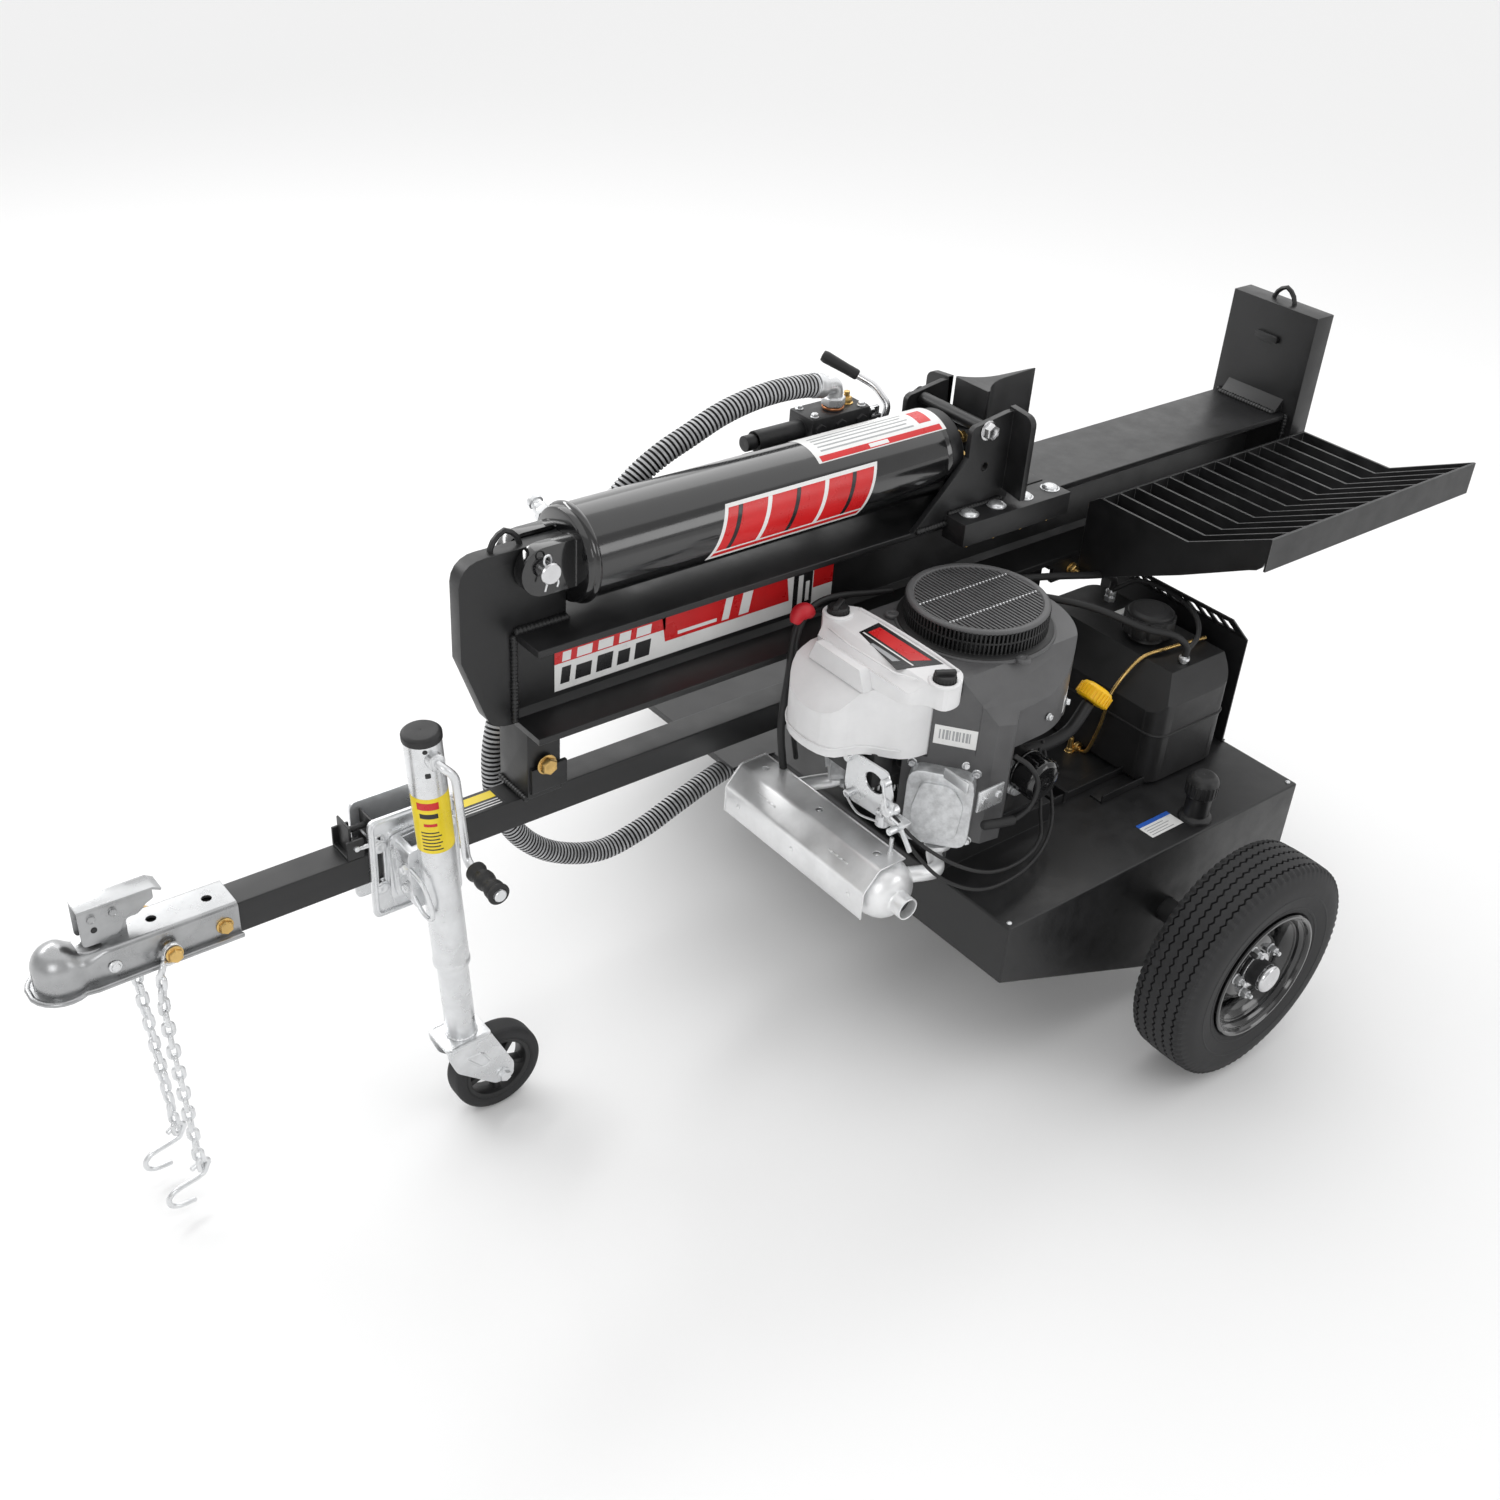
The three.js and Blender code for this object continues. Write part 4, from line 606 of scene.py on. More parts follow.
def rim_disc():
    """Dished wheel disc with five windows, as a sheet to be thickened."""
    columns = 120
    stations = [(80.5, 6.5), (77.5, 9.5), (74, 14), (69, 19), (64, 23.5), (60, 27), (56, 29.5),
        (50, 31), (40, 31.2), (30, 31.2), (22, 31.2)]
    bm = bmesh.new()
    rings = [
        [bm.verts.new((r * math.cos(2 * math.pi * i / columns), s,
                    r * math.sin(2 * math.pi * i / columns))) for i in range(columns)] for r,
        s in stations]
    for n, (a, b) in enumerate(zip(rings, rings[1:])):
        for i in range(columns):
            share = (i % 24) / 24
            if 1 <= n <= 4 and 0.17 + 0.03 * n <= share < 0.83 - 0.03 * n:
                continue
            j = (i + 1) % columns
            bm.faces.new((a[i], a[j], b[j], b[i]))
    return bm


def thickened(obj, thickness, rounding):
    step = obj.modifiers.new("sheet", "SOLIDIFY")
    step.thickness = thickness * MM
    step.offset = 0.0
    step = obj.modifiers.new("rounded edges", "BEVEL")
    step.width = rounding * MM
    step.segments = 2
    step.limit_method = "ANGLE"
    step.angle_limit = math.radians(40)


def wheel(which, side):
    body = "wheel_" + which
    at = shift(0, side * HALF_TRACK, AXLE_Z) @ Matrix.Scale(side, 4, (0, 1, 0))
    build("tyre_tread_" + which, tyre(), "tyre_rubber", body, at, smooth=26,
        replaces=("tyre_" + which,))
    build("rim_barrel_" + which, lathe(RIM_BARREL, "y", 96), "gloss_black_paint", body, at,
        smooth=24, replaces=("rim_" + which,))
    thickened(build("rim_disc_" + which, rim_disc(), "gloss_black_paint", body, at, smooth=50), 3.6,
        0.8)
    collar = turned([(14.6, -50), (28, -50), (30, 14), (33, 27), (33, 35), (31, 36.4), (25, 36.4),
            (24.4, 40), (24.4, 59), (14.6, 59)], 1.2, "y", 56)
    build("hub_collar_" + which, collar, "black_casting", body, at, replaces=("hub_" + which,))
    ring = turned([(25, 36), (33.6, 36), (33.6, 38.4), (25, 38.4)], 0.8, "y", 56)
    cap = turned([(0, 58.4), (25.4, 58.4), (26, 61), (25.4, 66), (23, 69.6), (20, 70.4), (0, 70.8)],
        1.4, "y", 56)
    build("hub_cap_" + which, merged(ring, cap), "machined_steel", body, at)
    spots = [((45 * math.cos(a), 32.6, 45 * math.sin(a)), (0, 1, 0))
        for a in (2 * math.pi * (k + 0.5) / 5 for k in range(5))]
    fasteners("lug_nuts_" + which, lambda: stud_nut(17, 11), spots, "bright_zinc", body, at)
    valve = merged(bent([(92, 30, 0), (88, 40, 0), (84, 52, 0)], 8, 3.6, 2.0, 12),
        stood(lathe([(0, 0), (4.6, 0), (4.6, 9), (3.6, 10), (0, 10)], sides=16), (84.4, 51, 0),
            (-0.3, 0.95, 0)))
    build("tyre_valve_" + which, moved(valve, Matrix.Rotation(-2.2, 4, "Y")), "black_rubber", body,
        at)


wheel("near", -1)
wheel("far", 1)

# ---------------------------------------------------------------- running gear and structure
build("axle_shape",
    moved(turned([(0, -734), (14, -734), (14, -650), (22, -628), (22, 628), (14, 650), (14, 734),
                (0, 734)], 2, "y", 40), shift(0, 0, AXLE_Z)), "satin_black_paint", "frame",
    replaces=("axle",))
dressed("beam", width=1.8, least=100, angle=25, segments=3)
dressed("foot_plate", width=2.0, least=20)
dressed("anchor_plate", width=2.0, least=18)
dressed("beam_post", width=1.0, least=14)
dressed("rear_riser", width=1.4, least=14)
dressed("tongue_tube", width=2.6, least=18, segments=3)
dressed("oil_tank", width=4.0, least=90, segments=3,
    pick=lambda e: max(abs(v.co.y) for v in e.verts) > 500 and all(v.co.z < 347 for v in e.verts))
dressed("fuel_tank_guard", width=0.8, least=18)
# The log tray takes the satin black with painted edge highlights.
dressed("log_tray", width=1.0, least=16).data.materials[0] = TRAY_PAINT_LIT_EDGES
dressed("stripper_near", width=2.0, least=16)
dressed("stripper_far", width=2.0, least=16)
dressed("wedge", width=1.6, least=12, angle=42)

# ---------------------------------------------------------------- cylinder, pins and their labels
BARREL_R = 71.5
BARREL_Z = middle("cylinder_gland").z
BASE_X, HEAD_X = -887.0, -178.0
PIN = Vector((-938, 0, 897))


def along_x(bm):
    return moved(bm, shift(0, 0, BARREL_Z))


barrel_profile = [(0, BASE_X), (66, BASE_X), (70, BASE_X + 1.5), (71.5, BASE_X + 5),
    (71.5, BASE_X + 10), (73.6, BASE_X + 11.5), (75.6, BASE_X + 14), (76.2, BASE_X + 17),
    (75.2, BASE_X + 20), (73, BASE_X + 22), (71.5, BASE_X + 23), (71.5, -500), (71.5, HEAD_X - 14),
    (71.2, HEAD_X - 13), (71.2, HEAD_X - 11.5), (71.5, HEAD_X - 10.5), (71.5, HEAD_X - 3),
    (70, HEAD_X - 0.8), (63.5, HEAD_X), (62.5, HEAD_X - 8), (0, HEAD_X - 8)]
ear = prism("y", arc(PIN.x, PIN.z - 4, 38, 90, 270, 18) + [(-885, 855), (-885, 931)], 16, 38)
eased(ear, 2.2, least=2, angle=50)
ears = merged(ear.copy(), moved(ear, shift(0, -54, 0)))
build("cylinder_tube", merged(along_x(lathe(barrel_profile, "x", 128)), ears), "gloss_black_paint",
    "frame", smooth=30, replaces=("cylinder_barrel",))
for n, y in enumerate((-38, -16, 16, 38)):
    weld(f"ear_weld_{n}", [(-886, y, 857), (-886, y, 929)], 3.4, slot="gloss_black_paint")
gland = turned([(31.6, HEAD_X - 6), (67.5, HEAD_X - 6), (67.5, -153), (63, -148), (45, -147),
        (43, -142), (33, -142), (31.6, -145)], 1.2, "x", 96)
dimples = [disc("x", 4.5, -147.4, -146, 54 * math.cos(a), 54 * math.sin(a), 16, 0.3)
    for a in (math.pi / 4 + math.pi / 2 * k for k in range(4))]
build("cylinder_head_gland", along_x(merged(gland, *dimples)), "black_casting", "frame",
    replaces=("cylinder_gland",))
rod = turned([(0, -857), (62.5, -857), (62.5, -821), (31, -821), (31, -128), (28.5, -125),
        (0, -125)], 1.5, "x", 96)
eye = eased(prism("y", rect(-129, -90, 863, 915, 9), -17, 17), 1.6, least=2, angle=50)
build("piston_rod_shape", merged(along_x(rod), eye), "hard_chrome", "ram", replaces=("piston_rod",))
build("rod_pin_shape", merged(disc("y", 12, -40, 40, -104, BARREL_Z, 40, 1.5),
        disc("y", 15, 39, 44, -104, BARREL_Z, 40, 1.2)), "machined_steel", "ram",
    replaces=("rod_pin",))
build("clevis_pin_shape", merged(disc("y", 13, -50, 48, PIN.x, PIN.z, 48, 1),
        disc("y", 16.5, -56, -49, PIN.x, PIN.z, 48, 1.6), disc("y", 18, 47, 54, PIN.x, PIN.z, 48,
            1.2)), "machined_steel", "frame", replaces=("clevis_pin",))
clip = [(-948, -53.5, 872), (-944, -53, 884), (-935, -47, 897), (-934, -47.5, 915),
    (-938, -50, 924), (-946, -51, 924), (-948, -51, 915), (-942, -50, 908), (-934, -50, 906),
    (-930, -51, 894), (-925, -52, 880), (-928, -53, 874)]
build("clevis_clip", sweep(catmull(clip, 1.5), 1.7, 10), "bright_zinc", "frame")
port = merged(stood(lathe([(0, 0), (15, 0), (15, 9), (13.5, 11), (0, 11)], sides=6),
        (-873, 62, 921), (0, 1, 0.35)),
    stood(turned([(0, 9), (11, 9), (11, 20), (9, 22), (9, 27), (12, 28), (12, 36), (0, 37)], 0.8,
            sides=32), (-873, 62, 921), (0, 1, 0.35)))
build("cylinder_base_fitting", port, "bright_zinc", "frame")
head_fitting = merged(stood(hex_head(22, 12), (-147, -42, 922), (1, 0, 0)),
    stood(hex_head(17, 9), (-146, -50, 892), (1, 0, 0)))
build("cylinder_head_fitting", head_fitting, "yellow_zinc", "frame")


def label(name, quads, spot, slot, body="frame", at=None, grid=None):
    """Thin label without lettering: coloured patches laid on a surface by spot(u, v, lift)."""
    inks = sorted({ink for _, ink, _ in quads})
    bm = bmesh.new()
    for corners, ink, lift in quads:
        (au, av), (bu, bv), (cu, cv), (du, dv) = corners
        nu, nv = grid or (1, 1)
        low, high = [], []
        for i in range(nu + 1):
            p = i / nu
            rows = ([], [])
            for j in range(nv + 1):
                q = j / nv
                u = (au * (1 - p) + bu * p) * (1 - q) + (du * (1 - p) + cu * p) * q
                v = (av * (1 - p) + bv * p) * (1 - q) + (dv * (1 - p) + cv * p) * q
                rows[0].append(bm.verts.new(spot(u, v, -0.4)))
                rows[1].append(bm.verts.new(spot(u, v, lift)))
            low.append(rows[0])
            high.append(rows[1])
        made = []
        for i in range(nu):
            for j in range(nv):
                for sheet in (low, high):
                    made.append(bm.faces.new((sheet[i][j], sheet[i + 1][j], sheet[i + 1][j + 1],
                                sheet[i][j + 1])))
        ring = [(i, 0) for i in range(nu)] + [(nu, j) for j in range(nv)]
        ring += [(i, nv) for i in range(nu, 0, -1)] + [(0, j) for j in range(nv, 0, -1)]
        for (i, j), (k, m) in zip(ring, ring[1:] + ring[:1]):
            made.append(bm.faces.new((low[i][j], low[k][m], high[k][m], high[i][j])))
        for f in made:
            f.material_index = inks.index(ink)
    return build(name, bm, slot, body, at=at, smooth=25, materials=[INK[ink] for ink in inks])


def strip(u0, u1, v0, v1, ink, lift=0.25, lean=0.0):
    """Patch between u0..u1 and v0..v1, its ends leaning by lean per unit of v above v0."""
    over = lean * (v1 - v0)
    return [(u0, v0), (u1, v0), (u1 + over, v1), (u0 + over, v1)], ink, lift


def on_barrel(x, degrees, lift):
    angle = math.radians(degrees)
    r = BARREL_R + lift
    return x, -r * math.cos(angle), BARREL_Z + r * math.sin(angle)


side_flash = [strip(-672, -372, -36, 36, "white", 0.2, 0.46), strip(-664, -376, -31, -25, "red",
        0.35, 0.46), strip(-659, -372, -22, 31, "red", 0.35, 0.46)]
for n in range(5):
    side_flash.append(strip(-640 + 56 * n, -632 + 56 * n, -22, 31, "white" if n % 2 else "black",
            0.5, 0.46))
label("barrel_side_flash", side_flash, on_barrel, "gloss_black_paint", grid=(2, 16))
notice = [strip(-447, -178, 52, 118, "white", 0.2), strip(-440, -186, 53.5, 62, "red", 0.35),
    strip(-340, -300, 55, 60.5, "white", 0.5)]
for n in range(5):
    notice.append(strip(-430, -235 - 9 * (n % 2), 68 + 7 * n, 70.4 + 7 * n, "grey", 0.35))
notice.append(strip(-222, -196, 70, 98, "red", 0.35))
label("barrel_top_notice", notice, on_barrel, "gloss_black_paint", grid=(2, 14))
build("beam_web_flash_backing", prism("y", rect(-903, -356, 664, 737, 2), -4.5, -3.9),
    "satin_black_paint", "frame")


def on_web(x, z, lift):
    return x, -4.5 - lift, z


web = [strip(-902, -360, 665, 738, "white", 0.1), strip(-902, -700, 712, 738, "red", 0.3),
    strip(-700, -452, 690, 738, "red", 0.3, -0.15), strip(-402, -360, 700, 738, "red", 0.3),
    strip(-444, -404, 665, 738, "black", 0.5), strip(-434, -424, 672, 730, "white", 0.65),
    strip(-418, -410, 680, 716, "white", 0.65), strip(-676, -600, 696, 702, "white", 0.6),
    strip(-590, -576, 694, 732, "white", 0.6, 0.2), strip(-556, -536, 694, 732, "white", 0.6, 0.2)]
for n, (x0, x1) in enumerate(((-892, -876), (-866, -838), (-828, -800), (-790, -768),
            (-758, -730))):
    web.append(strip(x0, x1, 676, 704 - 4 * (n % 2), "black", 0.45, 0.12))
    web.append(strip(x0 + 3, x1 + 2, 714, 730, "white", 0.45, 0.12))
label("beam_web_flash", web, on_web, "satin_black_paint")

# ---------------------------------------------------------------- bolts and weld beads
FOOT_BOLTS = (-157, -94, -29, 35)
DECK_TOP, TONGUE_TOP = 346.0, 511.0
for side, near in ((-1, "near"), (1, "far")):
    tops = [((x, side * 100, 811.6), (0, 0, 1)) for x in FOOT_BOLTS]
    fasteners("stripper_bolts_" + near,
        lambda: merged(lathe([(0, 0), (16.5, 0), (16.8, 0.6), (16.8, 1.4), (0, 1.6)], sides=40),
            moved(dome_head(29, 7), shift(0, 0, 1.2))), tops, "bright_zinc", "frame")
    nuts = [((x, side * 100, 772.4), (0, 0, -1)) for x in FOOT_BOLTS]
    fasteners("stripper_nuts_" + near, lambda: stud_nut(21, 11), nuts, "yellow_zinc", "frame")
build("stripper_tie_rod_shape", merged(disc("y", 9.5, -72, 72, -122, 945, 40),
        disc("y", 8, -96, 96, -122, 945, 32), stood(hex_head(29, 12), (-122, -83.6, 945),
            (0, -1, 0)), stood(hex_head(29, 12), (-122, 83.6, 945), (0, 1, 0))), "machined_steel",
    "frame", replaces=("stripper_tie_rod",))
build("tie_rod_sleeve", disc("y", 11.5, -72, 72, -122, 945, 40), "satin_black_paint", "frame")
weld("anchor_top_weld_near", [(-975, -16, 796), (-888, -16, 796)], 7)
weld("anchor_top_weld_far", [(-975, 16, 796), (-888, 16, 796)], 7)
weld("anchor_front_weld_near", [(-977, -15, 646), (-977, -15, 790)], 5.5)
weld("anchor_front_weld_far", [(-977, 15, 646), (-977, 15, 790)], 5.5)
for side, near in ((-1, "near"), (1, "far")):
    weld(f"foot_side_weld_{near}", [(718.5, side * 81, 640), (718.5, side * 81, 794)], 5)
    weld(f"stripper_heel_weld_{near}", [(-258, side * 84.5, 797), (-190, side * 84.5, 797)], 5)
    weld(f"stripper_foot_weld_{near}", [(-190, side * 85, 813.5), (-70, side * 85, 813.5)], 4.5)
    weld(f"saddle_weld_{near}", [(-967, side * 27.5, 513), (-908, side * 27.5, 513)], 5)
    weld(f"riser_weld_{near}", [(-58, side * 49, 349), (112, side * 49, 349)], 4.5)
weld("foot_top_weld", [(696, -64, 797), (696, 64, 797)], 5.5)
weld("post_front_weld", [(-973.5, -38, 516), (-973.5, 38, 516)], 5)
weld("wedge_weld_near", [(-80, -37, 813), (-50, -17, 813), (-16, -10, 813), (48, -4, 813)], 4.5,
    body="ram")
weld("wedge_weld_far", [(-80, 37, 813), (-50, 17, 813), (-16, 10, 813), (48, 4, 813)], 4.5,
    body="ram")
build("foot_plate_stop", eased(prism("x", rect(-26, 25, 918, 933, 5), 712, 721.6), 1.5, 2, 50),
    "satin_black_paint", "frame")
fasteners("tray_pivot_bolts", lambda: stud_nut(22, 10), [((160, -76.5, 612), (0, -1, 0)),
        ((192, -87.5, 715), (0, -1, 0)), ((205, -87.5, 650), (0, -1, 0))], "yellow_zinc", "frame")
build("post_bolt_shape", merged(disc("y", 8, -47, 58, -943, 574, 28),
        stood(hex_head(28, 10), (-943, -46.6, 574), (0, -1, 0)),
        stood(stud_nut(28, 10), (-943, 46.6, 574), (0, 1, 0))), "yellow_zinc", "frame",
    replaces=("post_bolt",))
fasteners("deck_rivets", lambda: dome_head(9, 3.4), [((-399, -527, 345.8), (0, 0, 1)),
        ((306, -527, 345.8), (0, 0, 1)), ((306, 527, 345.8), (0, 0, 1)),
        ((-399, 527, 345.8), (0, 0, 1))], "bright_zinc", "frame")


def on_deck(x, y, lift):
    return x, y, DECK_TOP + lift


deck_notice = [strip(-31, 49, -503, -464, "white", 0.2), strip(-31, 49, -473, -464, "blue", 0.35)]
deck_notice += [strip(-25, 30 - 8 * (n % 2), -498 + 6 * n, -496.4 + 6 * n, "grey", 0.35)
    for n in range(4)]
label("deck_notice", deck_notice, on_deck, "satin_black_paint")


def on_tongue(x, y, lift):
    return x, y, TONGUE_TOP + lift


tongue_notice = [strip(-1080, -1000, -21, 21, "black", 0.15), strip(-1076, -1004, 1, 18, "yellow",
        0.3)]
tongue_notice += [strip(-1076, -1004, -18 + 6 * n, -16 + 6 * n, "white", 0.3) for n in range(3)]
label("tongue_notice", tongue_notice, on_tongue, "satin_black_paint")

# ---------------------------------------------------------------- hoses
HOSE = [(-314, 110, 990), (-350, 106, 1000), (-411, 104, 1005), (-471, 104, 1001), (-529, 104, 989),
    (-586, 104, 968), (-641, 106, 945), (-690, 110, 912), (-760, 113, 840), (-835, 112, 750),
    (-905, 106, 650), (-948, 95, 545), (-953, 93, 460), (-938, 94, 395), (-900, 95, 330),
    (-840, 95, 277), (-747, 96, 241), (-664, 97, 250), (-579, 100, 276), (-490, 108, 296),
    (-416, 116, 300)]


def spiral_guard(points, core, crest, pitch, sides=18):
    """Hose wrapped in a flat spiral strip: the strip winds on at a steady pitch."""
    turns = 4
    line = catmull(points, pitch / turns)
    cross = frames(line)
    profile = (crest, crest, crest, core)
    bm = bmesh.new()
    rings = []
    last = len(line) - turns - 1
    for i in range(last):
        ring = []
        for k in range(sides + 1):
            step = i + turns * k / sides
            j = int(step)
            t = step - j
            p = line[j].lerp(line[j + 1], t)
            n = cross[j][0].lerp(cross[j + 1][0], t).normalized()
            m = cross[j][1].lerp(cross[j + 1][1], t).normalized()
            a = 2 * math.pi * k / sides
            r = profile[i % turns]
            ring.append(bm.verts.new(p + n * r * math.cos(a) + m * r * math.sin(a)))
        rings.append(ring)
    for i in range(last - 1):
        for k in range(sides):
            f = bm.faces.new((rings[i][k], rings[i][k + 1], rings[i + 1][k + 1], rings[i + 1][k]))
            f.material_index = 0 if profile[i % turns] == profile[(i + 1) % turns] == crest else 1
    bmesh.ops.remove_doubles(bm, verts=bm.verts, dist=0.02)
    return bm


hose_core = sweep(catmull(HOSE, 12), 15.4, 24)
build("return_hose_core", hose_core, "black_rubber", "frame", smooth=60)
build("return_hose_guard", spiral_guard(HOSE, 15.8, 18.8, 7.6), "spiral_guard", "frame", smooth=35,
    materials=[FINISH["spiral_guard"], FINISH["black_rubber"]], replaces=("return_hose",))
build("hose_elbow", merged(bent([(-290, 110, 960), (-290, 110, 990), (-322, 108, 993)], 20, 15, 3,
            24), moved(lathe([(0, 0), (20, 0), (20, 12), (18, 14), (0, 14)], sides=6),
            shift(-290, 110, 956)),
        stood(turned([(0, 0), (19.5, 0), (19.5, 26), (0, 26)], 2, sides=28), (-316, 109.5, 992),
            (-1, -0.06, 0.2))), "bright_zinc", "frame")
build("hose_clamps",
    merged(*(stood(turned([(19, 0), (20.6, 0), (20.6, 9), (19, 9)], 0.4, sides=36), spot, way)
            for spot, way in (((-420, 115.5, 300), (-1, -0.1, -0.06)),
                ((-330, 108.6, 996), (-1, -0.1, 0.28))))), "bright_zinc", "frame")
PRESSURE = [(-268, -208, 266), (-268, -196, 267), (-268, -190, 290), (-268, -190, 341),
    (-268, -180, 359), (-268, -160, 363), (-268, -98, 363), (-268, 60, 363), (-272, 106, 386),
    (-290, 114, 470), (-306, 114, 640), (-310, 114, 800), (-310, 116, 895)]
build("pressure_hose_shape", sweep(catmull(PRESSURE, 6), 9.8, 20), "black_rubber", "frame",
    smooth=60, replaces=("pressure_hose",))

# ---------------------------------------------------------------- safety chains
def chain_link(length, width, wire):
    """One welded link lying in the XZ plane, its long way along X."""
    half = length / 2 - width / 2
    r = width / 2 - wire
    path = [Vector((half + r * math.cos(a), 0, r * math.sin(a))) for a in (math.pi * (k / 8 - 0.5)
            for k in range(9))]
    path += [(-p.x, 0, -p.z) for p in path]
    return sweep(path, wire, 10, closed=True)


def chain(which, side):
    y = side * 44
    clear = side * 51
    path = even(catmull([(-1536, side * 46, 484), (-1550, side * 51.5, 474), (-1556, clear, 440),
                (-1557, clear, 380), (-1552, side * 48, 280), (-1547, side * 45, 180),
                (-1542, y, 82)], 2), 2)
    pitch, links = 21.5, []
    total = sum((b - a).length for a, b in zip(path, path[1:]))
    count = int(total / pitch)
    for n in range(count + 1):
        i = min(len(path) - 2, round(n * pitch / 2.0))
        way = (path[i + 1] - path[max(0, i - 1)]).normalized()
        turn = way.to_track_quat("X", "Y").to_matrix().to_4x4()
        roll = Matrix.Rotation(math.radians(45 if n % 2 else -45) + 0.12 * math.sin(n * 2.1), 4,
            "X")
        links.append(moved(chain_link(30, 20, 3.5), Matrix.Translation(path[i]) @ turn @ roll))
    body = "chain_" + which
    hook = [(-1534, y, 76), (-1539, y, 66), (-1552, y, 61), (-1568, y, 58), (-1586, y, 53),
        (-1595, y, 43), (-1594, y, 30), (-1584, y, 23), (-1570, y, 21), (-1558, y, 21)]
    tail = [(-1534, y, 76), (-1530, y, 86), (-1536, y, 92), (-1546, y, 88), (-1556, y, 82)]
    eye = turned([(7.6, -4), (13.6, -4), (13.6, 4), (7.6, 4)], 1.6, "y", 36)
    build("chain_links_" + which, merged(moved(eye, shift(-1532, y, 488)), *links), "bright_zinc",
        body, smooth=60, replaces=("safety_chain_" + which,))
    build("chain_hook_" + which, sweep(catmull(list(reversed(tail)) + hook[1:], 1.8), 4.1, 14),
        "bright_zinc", body, smooth=60)


chain("near", -1)
chain("far", 1)

# ---------------------------------------------------------------- coupler
SOCKET_X, MOUTH_X, LIP_Z, SHEET = -1669.0, -1431.0, 464.0, 4.0


def blend(x, x0, x1, a, b):
    t = min(1.0, max(0.0, (x - x0) / (x1 - x0)))
    t = t * t * (3 - 2 * t)
    return a + (b - a) * t


def hood(x, inset):
    """Half width, top and corner radius of the coupler's sheet at x."""
    if x < SOCKET_X:
        r = math.sqrt(max(4.0, 34.0 ** 2 - (x - SOCKET_X) ** 2))
        return max(1.0, r - inset), 498 + r * 1.02 - inset, max(1.0, r - inset)
    neck = (x, SOCKET_X + 6, SOCKET_X + 34, 34, 29) if x < -1622 else (x, -1622, -1600, 29, 32)
    roof = (x, SOCKET_X + 2, SOCKET_X + 34, 532.7, 513) if x < -1630 else (x, -1630, -1608, 513,
        518)
    half, top = blend(*neck), blend(*roof)
    return half - inset, top - inset, blend(x, SOCKET_X, -1612, 34, 7) - min(inset, 3)


def hood_line(x, inset, steps=9):
    half, top, r = hood(x, inset)
    r = min(r, half)
    points = [(-half, LIP_Z + 0.5)]
    for k in range(steps + 1):
        t = math.pi - k / steps * math.pi / 2
        points.append((-half + r + r * math.cos(t), top - r + r * math.sin(t)))
    points += [(-y, z) for y, z in reversed(points)]
    return points


def coupler_shape():
    xs = [-1702.6, -1701.5, -1699, -1695, -1690, -1684, -1677] + [-1669 + 5 * k for k in range(14)]
    xs += [-1590, -1560, -1520, -1480, MOUTH_X]
    bm = bmesh.new()
    rings = []
    for x in xs:
        line = hood_line(x, 0) + list(reversed(hood_line(x, SHEET)))
        rings.append([bm.verts.new((x, y, z)) for y, z in line])
    for a, b in zip(rings, rings[1:]):
        for k in range(len(a)):
            j = (k + 1) % len(a)
            bm.faces.new((a[k], a[j], b[j], b[k]))
    half = len(rings[0]) // 2
    for ring in (rings[0], rings[-1]):
        for k in range(half - 1):
            bm.faces.new((ring[k], ring[k + 1], ring[-2 - k], ring[-1 - k]))
    return outward(bm)


lip_side = [(MOUTH_X, 38), (-1560, 38), (-1632, 39)]
lip_side += [(SOCKET_X + 42 * math.cos(t), 42 * math.sin(t)) for t in (math.radians(60 + 15 * k)
        for k in range(8))]
lip_line = lip_side + [(x, -y) for x, y in reversed(lip_side)]
lip_line = [p for k, p in enumerate(lip_line) if k == 0 or p != lip_line[k - 1]]
lip_plate = prism("z", lip_line, LIP_Z, LIP_Z + 3.4)
lip_hole = prism("z", [(MOUTH_X + 5, 28), (-1650, 28), (SOCKET_X, 26), (-1690, 14), (-1694, 0),
        (-1690, -14), (SOCKET_X, -26), (-1650, -28), (MOUTH_X + 5, -28)], LIP_Z - 2, LIP_Z + 6)
rolled = sweep([(x, y, LIP_Z + 2) for x, y in lip_line], 3.8, 12)
hood_cuts = [disc("z", 7.2, 505, 525, x, 0, 28, 0) for x in (-1540, -1462)]
# The coupler parts below use the darker zinc copy, a painted shade against the overhead lamp's
# glare.
build("coupler_hood", carved(coupler_shape(), cuts=hood_cuts), "bright_zinc", "frame", smooth=40,
    replaces=("coupler_body",), materials=[COUPLER_SHADED_ZINC])
build("coupler_flange", merged(carved(lip_plate, cuts=[lip_hole]), rolled), "bright_zinc", "frame",
    smooth=40, materials=[COUPLER_SHADED_ZINC])
saddle = merged(prism("z", [(-1640 + 34 * math.cos(t), 20 * math.sin(t))
            for t in (2 * math.pi * k / 32 for k in range(32))], 508, 516.2),
    block(-1634, -1598, -13, -9.6, 515, 549), block(-1634, -1598, 9.6, 13, 515, 549))
build("coupler_latch_saddle", eased(moved(saddle, shift(22, 0, 0)), 1.0, 4, 50), "bright_zinc",
    "frame", materials=[COUPLER_SHADED_ZINC])
LATCH = [(-1637, 527), (-1634, 522), (-1606, 521), (-1600, 527), (-1592, 525), (-1584, 531),
    (-1580, 541), (-1572, 547), (-1562, 546), (-1554, 551), (-1548, 558), (-1537, 563),
    (-1537, 580), (-1637, 580)]
latch_sheet = soft(LATCH, 2.5)
cheek = [prism("y", latch_sheet, -15.6, -13.4), prism("y", latch_sheet, 13.4, 15.6)]
ridge = merged(prism("y", [(-1637, 576.6), (-1537, 576.6), (-1526, 571), (-1524, 573.4),
            (-1535, 580.2), (-1637, 580.2)], -15.5, 15.5))
